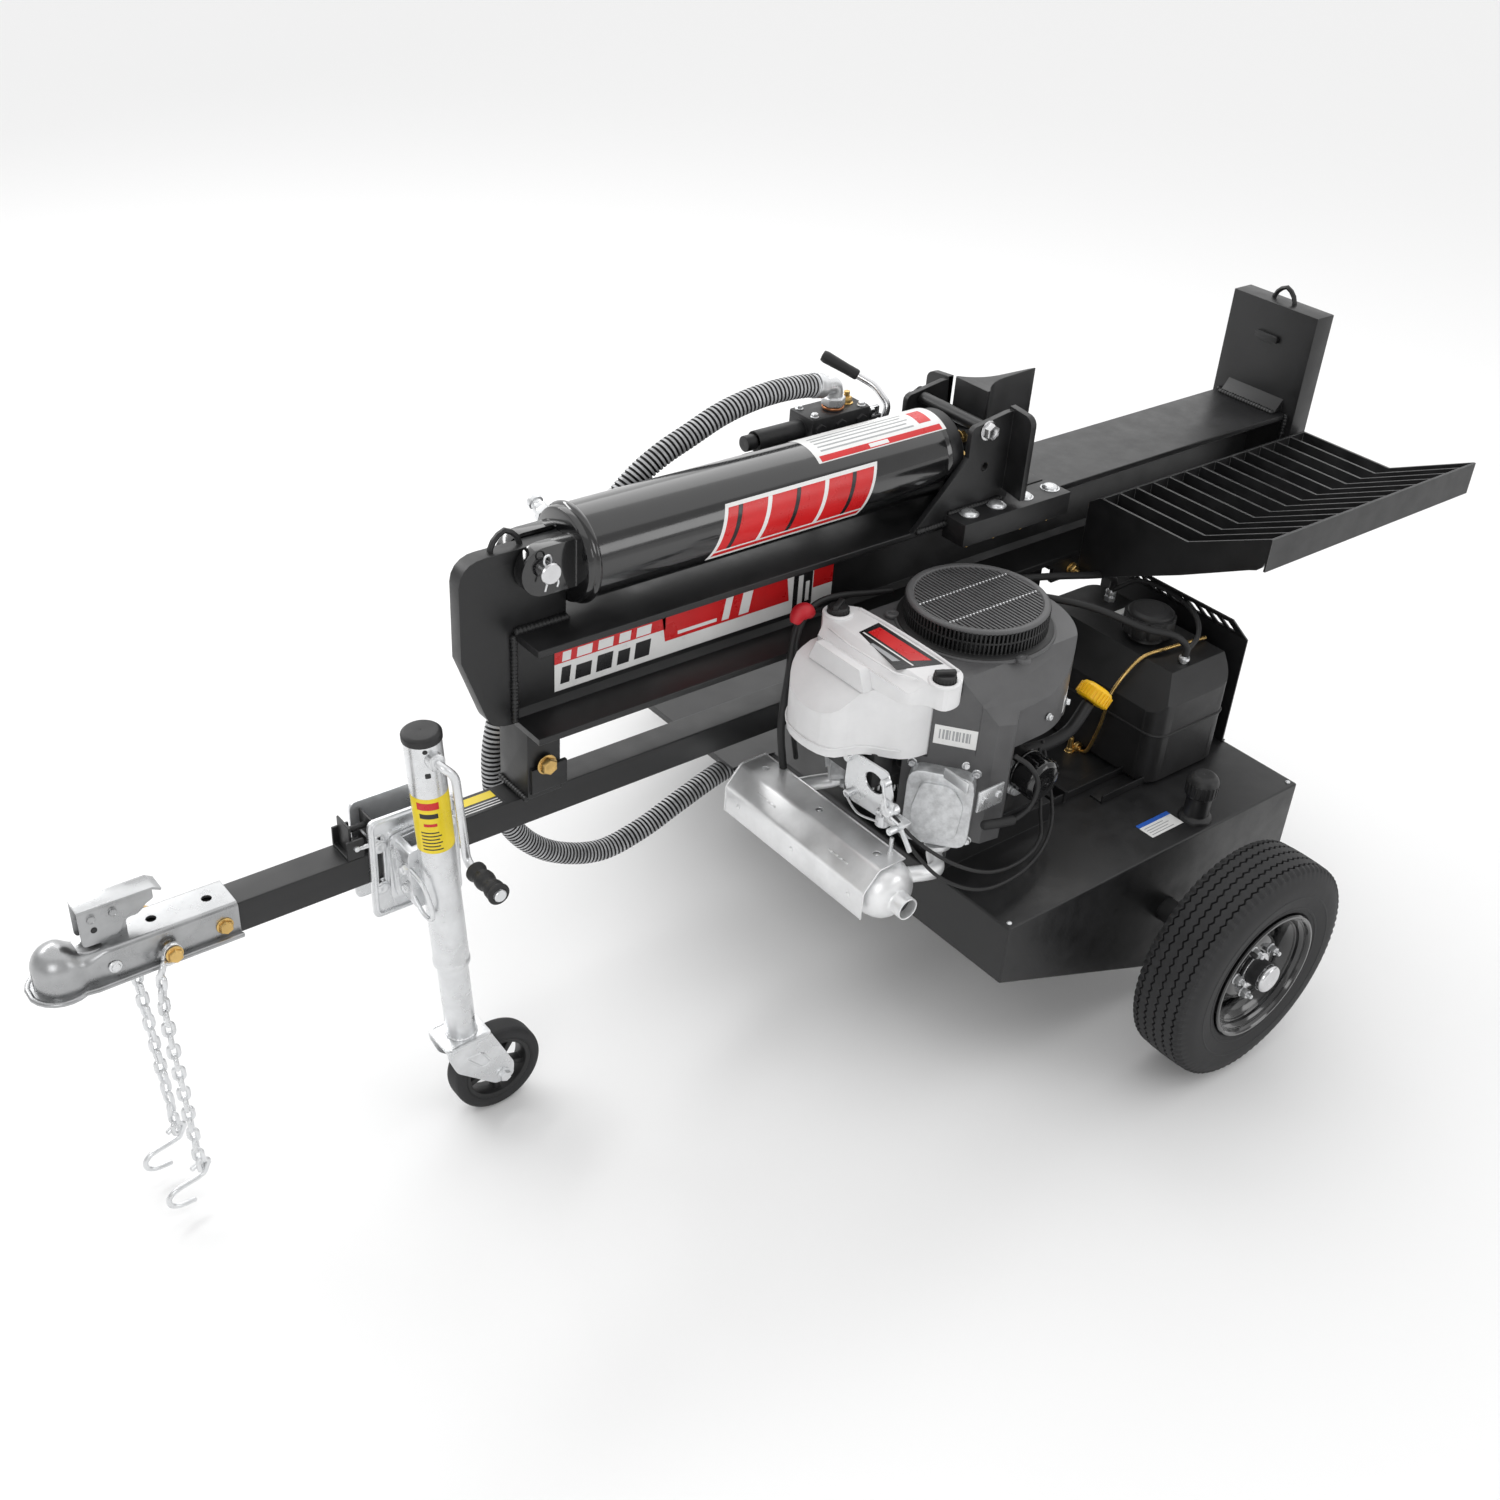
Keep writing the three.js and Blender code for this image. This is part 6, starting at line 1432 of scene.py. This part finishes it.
cable("choke_cable", [(-262, -126, 128), (-252, -168, 104), (-214, -214, 72), (-150, -236, 40),
        (-60, -226, 18), (20, -192, 10), (62, -150, 20), (84, -122, 60), (88, -104, 110)], 3.0)
cable("throttle_cable", [(-258, -112, 116), (-250, -158, 84), (-226, -206, 44), (-170, -238, 16),
        (-90, -240, 6), (0, -214, 5), (70, -170, 14), (106, -122, 50), (110, -90, 110)], 3.0)
cable("spark_lead", [(-60, -176, 190), (-44, -196, 176), (-26, -204, 140), (-36, -204, 100),
        (-66, -200, 84), (-96, -192, 84)], 4.0)
cable("spark_boot", [(-66, -200, 84), (-88, -194, 84), (-118, -186, 86)], 8.0)
cable("ignition_harness", [(40, 168, 250), (-40, 176, 262), (-120, 170, 290), (-200, 158, 330),
        (-232, 150, 322), (-240, 150, 240), (-236, 152, 150), (-220, 150, 60)], 4.4)
cable("coil_lead", [(-226, 152, 338), (-190, 156, 346), (-140, 160, 340), (-90, 158, 330),
        (-40, 154, 322)], 5.0)
cable("starter_lead", [(-232, 150, 336), (-238, 158, 300), (-252, 150, 230), (-262, 146, 140),
        (-250, 140, 30)], 6.5)
build("starter_boot",
    sweep(catmull([(-214, 152, 332), (-226, 152, 340), (-238, 153, 338), (-246, 152, 326)], 2),
        lambda i, share: 9 + 5 * math.sin(math.pi * share), 20), "black_rubber", "frame",
    at=ENGINE_AT, materials=[RED_RUBBER])


def on_cowl(side):
    angle = math.pi - side * HEAD_YAW
    c, s = math.cos(angle), math.sin(angle)

    def place(p, z, lift):
        d = COWL_REACH + lift
        return d * c + side * p * s, d * s - side * p * c, z

    return place


label("cowl_plate", [strip(-24, 44, 206, 240, "white", 0.3)]
    + [strip(-16 + 5.2 * n, -14 + 5.2 * n + 0.9 * (n % 3), 216, 233, "grey", 0.45)
        for n in range(10)], on_cowl(-1), "charcoal_plastic", at=ENGINE_AT)


def on_housing(degrees, z, lift):
    a = math.radians(degrees)
    return (SHROUD_R + lift) * math.cos(a), (SHROUD_R + lift) * math.sin(a), z


label("housing_notice", [strip(-62, -40, 204, 236, "white", 0.3), strip(-60, -42, 208, 222, "grey",
            0.45), strip(-38, -29, 206, 236, "white", 0.3), strip(-38, -29, 231, 236, "red", 0.45),
        strip(-34, -24, 242, 262, "yellow", 0.3)], on_housing, "charcoal_plastic", at=ENGINE_AT,
    grid=(8, 1))

# ---------------------------------------------------------------- control valve and lever
VX, VY, VZ = -290.0, 116.0, 922.0
body_block = eased(carved(block(VX - 62, VX + 62, VY - 30, VY + 30, VZ - 26, VZ + 26),
        cuts=[disc("x", 8.3, VX - 90, VX + 90, VY, VZ, 32, 0)]), 3, 4, 45)
valve_parts = [body_block,
    carved(turned([(8.3, VX - 150), (17, VX - 158), (17, VX - 61), (8.3, VX - 61)], 1.5, "x", 48)),
    turned([(0, VX - 178), (13, VX - 178), (13, VX - 158), (0, VX - 158)], 1.2, "x", 40),
    turned([(8.6, VX + 61), (15, VX + 61), (15, VX + 82), (8.6, VX + 82)], 1, "x", 40)]
for piece in valve_parts[1:]:
    piece.transform(shift(0, VY, VZ))
valve_parts += [disc("z", 17, VZ + 25, VZ + 34, VX, VY - 6, 6, 0.8),
    eased(block(VX - 20, VX + 20, VY - 42, VY - 28, VZ - 24, VZ - 2), 2, 4, 45),
    eased(block(VX + 40, VX + 90, VY - 20, VY + 20, VZ - 44, VZ - 25), 2, 4, 45),
    eased(block(VX + 80, VX + 132, VY + 12, VY + 20, VZ - 44, VZ - 18), 1.5, 3, 45),
    eased(block(VX + 80, VX + 132, VY - 20, VY - 12, VZ - 44, VZ - 18), 1.5, 3, 45)]
for x in (VX - 44, VX, VX + 44):
    valve_parts.append(disc("y", 12, VY - 33, VY - 29, x, VZ + 4, 6, 0.6))
build("valve_casting", merged(*valve_parts), "black_casting", "frame", smooth=35,
    replaces=("valve_body",))
fasteners("valve_bolts", lambda: hex_head(12, 5), [((VX + dx, VY + dy, VZ + 26), (0, 0, 1))
        for dx in (-50, 50) for dy in (-20, 20)], "bright_zinc", "frame")
fasteners("valve_relief_plug", lambda: merged(hex_head(20, 9),
        lathe([(0, 10), (5, 10), (5, 20), (0, 20.5)], sides=20)),
    [((VX + 36, VY + 2, VZ + 26), (0, 0, 1))], "yellow_zinc", "frame")
build("valve_copper_ring", moved(turned([(13.5, 0), (18.4, 0), (18.4, 4), (13.5, 4)], 0.8,
            sides=40), shift(VX, VY - 6, 950)), "yellow_zinc", "frame", materials=[COPPER])
build("valve_spool_shape",
    merged(moved(turned([(0, VX - 120), (8, VX - 120), (8, VX + 96), (0, VX + 96)], 0.8, "x", 40),
            shift(0, VY, VZ)), eased(block(VX + 92, VX + 108, VY - 4, VY + 4, VZ - 8, VZ + 8), 1, 2,
            45)), "hard_chrome", "spool", replaces=("valve_spool",))
px, pz = VX + 120, VZ - 32
lever = merged(disc("y", 11, VY - 11, VY + 11, px, pz, 40, 1), disc("y", 5, VY - 24, VY + 24, px,
        pz, 24, 0.6), bent([(px, VY, pz), (VX + 132, VY, VZ + 2), (VX + 124, VY + 30, VZ + 28),
            (VX + 104, VY + 56, VZ + 42)], 12, 6.2, 3, 20))
build("lever_rod", lever, "machined_steel", "lever", replaces=("valve_lever",))
grip_from, grip_to = Vector((VX + 106, VY + 54, VZ + 41)), Vector((VX + 82, VY + 84, VZ + 57))
grip_shape = turned([(0, 0), (7.6, 0), (9.2, 3), (9, 20), (9.8, 44), (10.4, 62), (9, 69), (0, 70)],
    1.6, sides=36)
build("lever_grip", stood(grip_shape, grip_from, grip_to - grip_from), "black_rubber", "lever")

# ---------------------------------------------------------------- exhaust
MX, MZ, MR, NEAR_Y, FAR_Y = -541.0, 385.0, 49.0, -418.0, -48.0
dome_curve = [(20, 0), (30, 2.5), (38, 7.5), (44, 15), (47.5, 23), (MR, 32)]
can_line = [(0, NEAR_Y)] + [(r, NEAR_Y + s) for r, s in dome_curve]
can_line += [(MR, NEAR_Y + 33), (MR + 1, NEAR_Y + 34), (MR + 1, NEAR_Y + 39), (MR, NEAR_Y + 40)]
can_line += [(MR, FAR_Y - 40), (MR + 1, FAR_Y - 39), (MR + 1, FAR_Y - 34), (MR, FAR_Y - 33)]
can_line += [(r, FAR_Y - s) for r, s in reversed(dome_curve)] + [(0, FAR_Y)]
can = moved(lathe(can_line, "y", 96), shift(MX, 0, MZ))
spout = moved(turned([(16.4, NEAR_Y - 24), (19, NEAR_Y - 24), (19, NEAR_Y - 2), (23, NEAR_Y + 3),
            (16.4, NEAR_Y + 5)], 0.8, "y", 64), shift(MX, 0, MZ - 5))
near_port, far_port = (-409, -366), (-412, -133)
pipes = [sweep(catmull([(MX + 12, NEAR_Y + 50, MZ + 8), (MX + 60, NEAR_Y + 24, MZ + 8),
                (MX + 100, NEAR_Y + 22, MZ + 2), (near_port[0] - 6, near_port[1] + 2, MZ + 6),
                (*near_port, 402)], 4), 13, 28),
    sweep(catmull([(MX + 12, FAR_Y - 52, MZ + 4), (MX + 70, FAR_Y - 46, MZ - 2),
                (far_port[0] - 8, far_port[1] + 18, MZ + 2), (*far_port, 402)], 4), 13, 28)]
flanges = [
    eased(prism("z", [(x + 20 * math.cos(t) * (1.35 if abs(math.cos(t)) > 0.8 else 1),
                    y + 20 * math.sin(t)) for t in (2 * math.pi * k / 32 for k in range(32))], 403,
            411), 1, 2, 45) for x, y in (near_port, far_port)]
build("muffler_can", merged(can, *pipes, *flanges), "aluminised_steel", "frame", smooth=40,
    replaces=("muffler",))
build("muffler_outlet", spout, "aluminised_steel", "frame", smooth=40)
# Black disc across the outlet bore, 16 mm in: soot, with painted shade standing for the open pipe
# beyond.
build("muffler_outlet_soot_and_shade", moved(disc("y", 16.5, NEAR_Y - 8, NEAR_Y - 4, 0, 0, 48, 0.2),
        shift(MX, 0, MZ - 5)), "black_casting", "frame")
fold = [(21, 59), (-31, 58), (-60, 24), (-60, -25)]
sheet_out = soft([(MX + a, MZ + b) for a, b in fold], 6, 5, closed=False)
sheet_in = [(x + 1.3, z - 1.9) for x, z in reversed(sheet_out)]
NEAR_S, FAR_S = NEAR_Y + 17, FAR_Y - 8
shield = prism("y", sheet_out + sheet_in, NEAR_S, FAR_S)
STUDS_Y = (NEAR_S + 34, (NEAR_S + FAR_S) / 2, FAR_S - 34)
shield = carved(shield, cuts=[disc("z", 6.5, MZ + 50, MZ + 68, MX - 6, y, 28, 0) for y in STUDS_Y])
studs = []
for y in STUDS_Y:
    studs += [moved(dome_head(8, 2.4), shift(MX - 6, y, MZ + 54.4)),
        stood(dome_head(9, 2.6), (MX - 60, y, MZ + 2), (-1, 0, 0))]
slant = Vector((-0.761, 0, 0.649))
for y0 in (NEAR_S + 62, FAR_S - 104):
    for n, long in enumerate((13, 9, 13, 9)):
        spot = Vector((MX - 45.5, y0 + 12 * n, MZ + 41.2))
        studs.append(stood(eased(block(-long / 2, long / 2, -1.8, 1.8, -0.6, 0.9), 0.7, 1, 45),
                spot, slant))
studs.append(sweep([(MX + 21, NEAR_S, MZ + 58.6), (MX + 21, FAR_S, MZ + 58.6)], 1.5, 8))
studs += [sweep([(x, y, z) for x, z in sheet_out], 1.5, 8) for y in (NEAR_S, FAR_S)]
build("shield_sheet", shield, "aluminised_steel", "frame", smooth=40,
    replaces=("muffler_heat_shield",))
build("shield_details", merged(*studs), "aluminised_steel", "frame", smooth=50)
build("shield_brackets",
    merged(*(eased(block(MX - 24, MX + 6, y - 9, y + 9, MZ + 44, MZ + 55), 1, 4, 45)
            for y in (NEAR_S + 34, FAR_S - 34))), "aluminised_steel", "frame")

# ---------------------------------------------------------------- fuel tank
TX0, TX1, TY0, TY1, TZ0, TZ1 = 70.0, 262.0, -398.0, -62.0, 352.0, 550.0
CAP_X, CAP_Y = 182.0, -252.0
tank = carved(prism("z", rect(TX0, TX1, TY0, TY1, 36, 10), TZ0, TZ1),
    cuts=[prism("y", [(TX0 - 1, TZ1 + 1), (TX0 - 1, TZ1 - 60), (TX0 + 52, TZ1 + 1)], TY0 - 5,
            TY1 + 5), prism("x", [(TY0 - 1, TZ1 + 1), (TY0 - 1, TZ1 - 46), (TY0 + 34, TZ1 + 1)],
            TX0 - 5, TX1 + 5)])
eased(tank, 13, 9, 20, 4)
seam = [(x, y, 448) for x, y in rect(TX0 - 0.6, TX1 + 0.6, TY0 - 0.6, TY1 + 0.6, 36, 10)]
neck = turned([(20, TZ1 - 4), (34, TZ1 - 4), (30, TZ1 + 3), (26, TZ1 + 8), (26, TZ1 + 22),
        (20, TZ1 + 22)], 1.5, "z", 64)
build("tank_shell", merged(tank, sweep(seam, 2.2, 8, closed=True),
        moved(neck, shift(CAP_X, CAP_Y, 0))), "black_plastic", "frame", smooth=40,
    replaces=("fuel_tank",))


def lobed(r, lobes=10, depth=3.2, sides=120):
    """Outline of a cap with grip hollows round it."""
    line = []
    for k in range(sides):
        t = 2 * math.pi * k / sides
        dip = max(0.0, math.cos(lobes * t)) ** 3
        line.append(((r - depth * dip) * math.cos(t), (r - depth * dip) * math.sin(t)))
    return line


low = TZ1 + 14
fuel_cap = merged(eased(prism("z", lobed(46), low + 1, low + 33), 2.2, 1.0, 60),
    turned([(0, low + 30), (41, low + 30), (40, low + 39), (33, low + 43.4), (0, low + 44.6)], 2,
        "z", 72), turned([(26.4, low), (44, low), (44, low + 2), (26.4, low + 2)], 0.6, "z", 72),
    turned([(20, low + 42), (22, low + 44), (24, low + 43), (22, low + 41)], 0.4, "z", 64))
build("fuel_cap_shape", fuel_cap, "black_plastic", BODY_OF["fuel_cap"], at=shift(CAP_X, CAP_Y, 0),
    smooth=35, replaces=("fuel_cap",))
for n, (x, y, z) in enumerate(((168, -350, 540), (228, -124, 549))):
    build(f"tank_fitting_{n}", merged(disc("z", 11, z, z + 10, x, y, 6, 0.8),
            disc("z", 6.5, z + 9, z + 24, x, y, 24),
            moved(turned([(6, 0), (9.6, 0), (9.6, 6), (6, 6)], 0.6, sides=28),
                shift(x, y, z + 15))), "bright_zinc", "frame")
cable("fuel_hose_near", [(168, -350, 560), (168, -350, 580), (150, -335, 600), (110, -300, 610),
        (40, -230, 640), (-30, -160, 650), (-90, -110, 652), (-128, -96, 640)], 6.5, at=None,
    sides=18)
cable("fuel_hose_far", [(228, -124, 566), (228, -126, 590), (200, -132, 612), (140, -130, 628),
        (60, -112, 640), (-20, -98, 650), (-90, -92, 652), (-140, -88, 636)], 6.5, at=None,
    sides=18)
cable("fuel_vent_hose", [(228, -130, 575), (250, -160, 600), (262, -230, 604), (246, -300, 596),
        (200, -345, 588), (170, -352, 575)], 4.5, at=None, sides=14)
build("tank_strap",
    merged(sweep(catmull([(262, -320, 556), (160, -312, 560), (118, -302, 553), (82, -296, 524),
                    (63, -290, 486), (62, -282, 420), (62, -262, 352), (62, -250, 347)], 3), 3.4,
            14), moved(turned([(4, -4), (10, -4), (10, 4), (4, 4)], 1.4, "y", 32),
            shift(60, -244, 352)), disc("z", 5, 345, 375, 46, -238, 20, 1),
        moved(hex_head(15, 6), shift(46, -238, 345.5))), "yellow_zinc", "frame")


def on_tank_top(x, y, lift):
    return x, y, TZ1 + lift


label("tank_notice", [strip(196, 236, -206, -160, "white", 0.3), strip(200, 232, -202, -194, "grey",
            0.45), strip(200, 226, -188, -184, "grey", 0.45), strip(200, 230, -178, -174, "grey",
            0.45)], on_tank_top, "black_plastic")

# ---------------------------------------------------------------- reservoir filler and breather
RX, RY = 78.0, -503.0
build("reservoir_neck",
    moved(turned([(16, 345), (30, 345), (28, 352), (22, 356), (22, 394), (16, 394)], 1.5, "z", 56),
        shift(RX, RY, 0)), "satin_black_paint", "frame")
cap_line = soft([(0, 394.5), (26, 394.5), (27.5, 398), (27.5, 422), (24, 430), (17, 435.4),
        (0, 436)], 2.2)
cap_grips = spun(lambda: eased(block(26.4, 28.4, -1.6, 1.6, 399, 421), 0.7, 2, 45), 22, "Z")
build("reservoir_cap_shape", merged(lathe(cap_line, "z", 64), *cap_grips), "black_plastic",
    BODY_OF["reservoir_cap"], at=shift(RX, RY, 0), replaces=("reservoir_cap",))
for n, (x0, x1, y) in enumerate(((-120, 120, -330), (-60, 60, -372))):
    rail = prism("x", [(y - 14, 346.2), (y + 14, 346.2), (y + 14, 349), (y - 11, 349),
            (y - 11, 362), (y - 14, 362)], x0, x1)
    build(f"deck_rail_{n}", eased(rail, 0.8, 4, 45), "satin_black_paint", "frame",
        at=shift(30, 0, 0) if n else None)
build("pump_body", dressed_copy("hydraulic_pump", 2.0), "black_casting", "frame",
    replaces=("hydraulic_pump",))
build("crankshaft_shape", dressed_copy("crankshaft", 1.0), "machined_steel", BODY_OF["crankshaft"],
    replaces=("crankshaft",))

# ---------------------------------------------------------------- everything still as packed
for node, obj in NODES.items():
    obj.data.materials.clear()
    obj.data.materials.append(FINISH[SLOT_OF[node]])

# ---------------------------------------------------------------- floor, lights and camera
FLOOR_HALF, FLOOR_Z, WHITE_PAPER = 60, -0.0015, (0.86, 0.86, 0.86, 1)
SKY_STRENGTH, SUN_ENERGY, SUN_SPREAD = 0.58, 1.6, 130
floor = bmesh.new()
for x, y in ((-1, -1), (1, -1), (1, 1), (-1, 1)):
    floor.verts.new((x * FLOOR_HALF, y * FLOOR_HALF, FLOOR_Z))
floor.faces.new(floor.verts)
floor_data = bpy.data.meshes.new("floor")
floor.to_mesh(floor_data)
floor.free()
floor_material = bpy.data.materials.new("floor_paper")
floor_material.use_nodes = True
paper = floor_material.node_tree.nodes["Principled BSDF"]
paper.inputs["Base Color"].default_value = WHITE_PAPER
paper.inputs["Roughness"].default_value = 0.7
floor_data.materials.append(floor_material)
floor_obj = bpy.data.objects.new("floor", floor_data)
bpy.context.scene.collection.objects.link(floor_obj)

world = bpy.data.worlds.new("studio")
world.use_nodes = True
world.node_tree.nodes["Background"].inputs["Color"].default_value = (1, 1, 1, 1)
world.node_tree.nodes["Background"].inputs["Strength"].default_value = SKY_STRENGTH
bpy.context.scene.world = world
bpy.context.scene.view_settings.view_transform = "Standard"


def lamp(name, spot, target, size, power):
    data = bpy.data.lights.new(name, "AREA")
    data.shape = "RECTANGLE"
    data.size, data.size_y = size
    data.energy = power
    obj = bpy.data.objects.new(name, data)
    obj.matrix_world = aim(spot, Vector(spot) - Vector(target))
    bpy.context.scene.collection.objects.link(obj)


sun_data = bpy.data.lights.new("soft_sky", "SUN")
sun_data.energy = SUN_ENERGY
sun_data.angle = math.radians(SUN_SPREAD)
sun = bpy.data.objects.new("soft_sky", sun_data)
sun.matrix_world = aim((0, 0, 3), (0.42, 0.6, 1))
bpy.context.scene.collection.objects.link(sun)
lamp("overhead", (1.4, 2.2, 3.4), (0, 0, 0.5), (4.0, 2.4), 34)
lamp("front_left", (-3.6, -3.4, 2.6), (0, 0, 0.4), (2.2, 1.8), 38)
lamp("front_right", (2.6, -4.2, 2.2), (0.2, 0, 0.4), (2.0, 1.6), 26)
lamp("back_strip", (-1.5, 3.4, 2.8), (-0.2, 0, 0.8), (3.2, 0.5), 50)

camera_data = bpy.data.cameras.new("camera")
camera_data.sensor_width = 36
camera_data.lens = 41.228
camera = bpy.data.objects.new("camera", camera_data)
camera.matrix_world = Matrix(((0.78617, 0.30258, -0.53887, -1.61545), (-0.61508, 0.46791, -0.63461,
            -1.8553), (0.06012, 0.83036, 0.55397, 2.0342), (0, 0, 0, 1)))
bpy.context.scene.collection.objects.link(camera)
bpy.context.scene.camera = camera
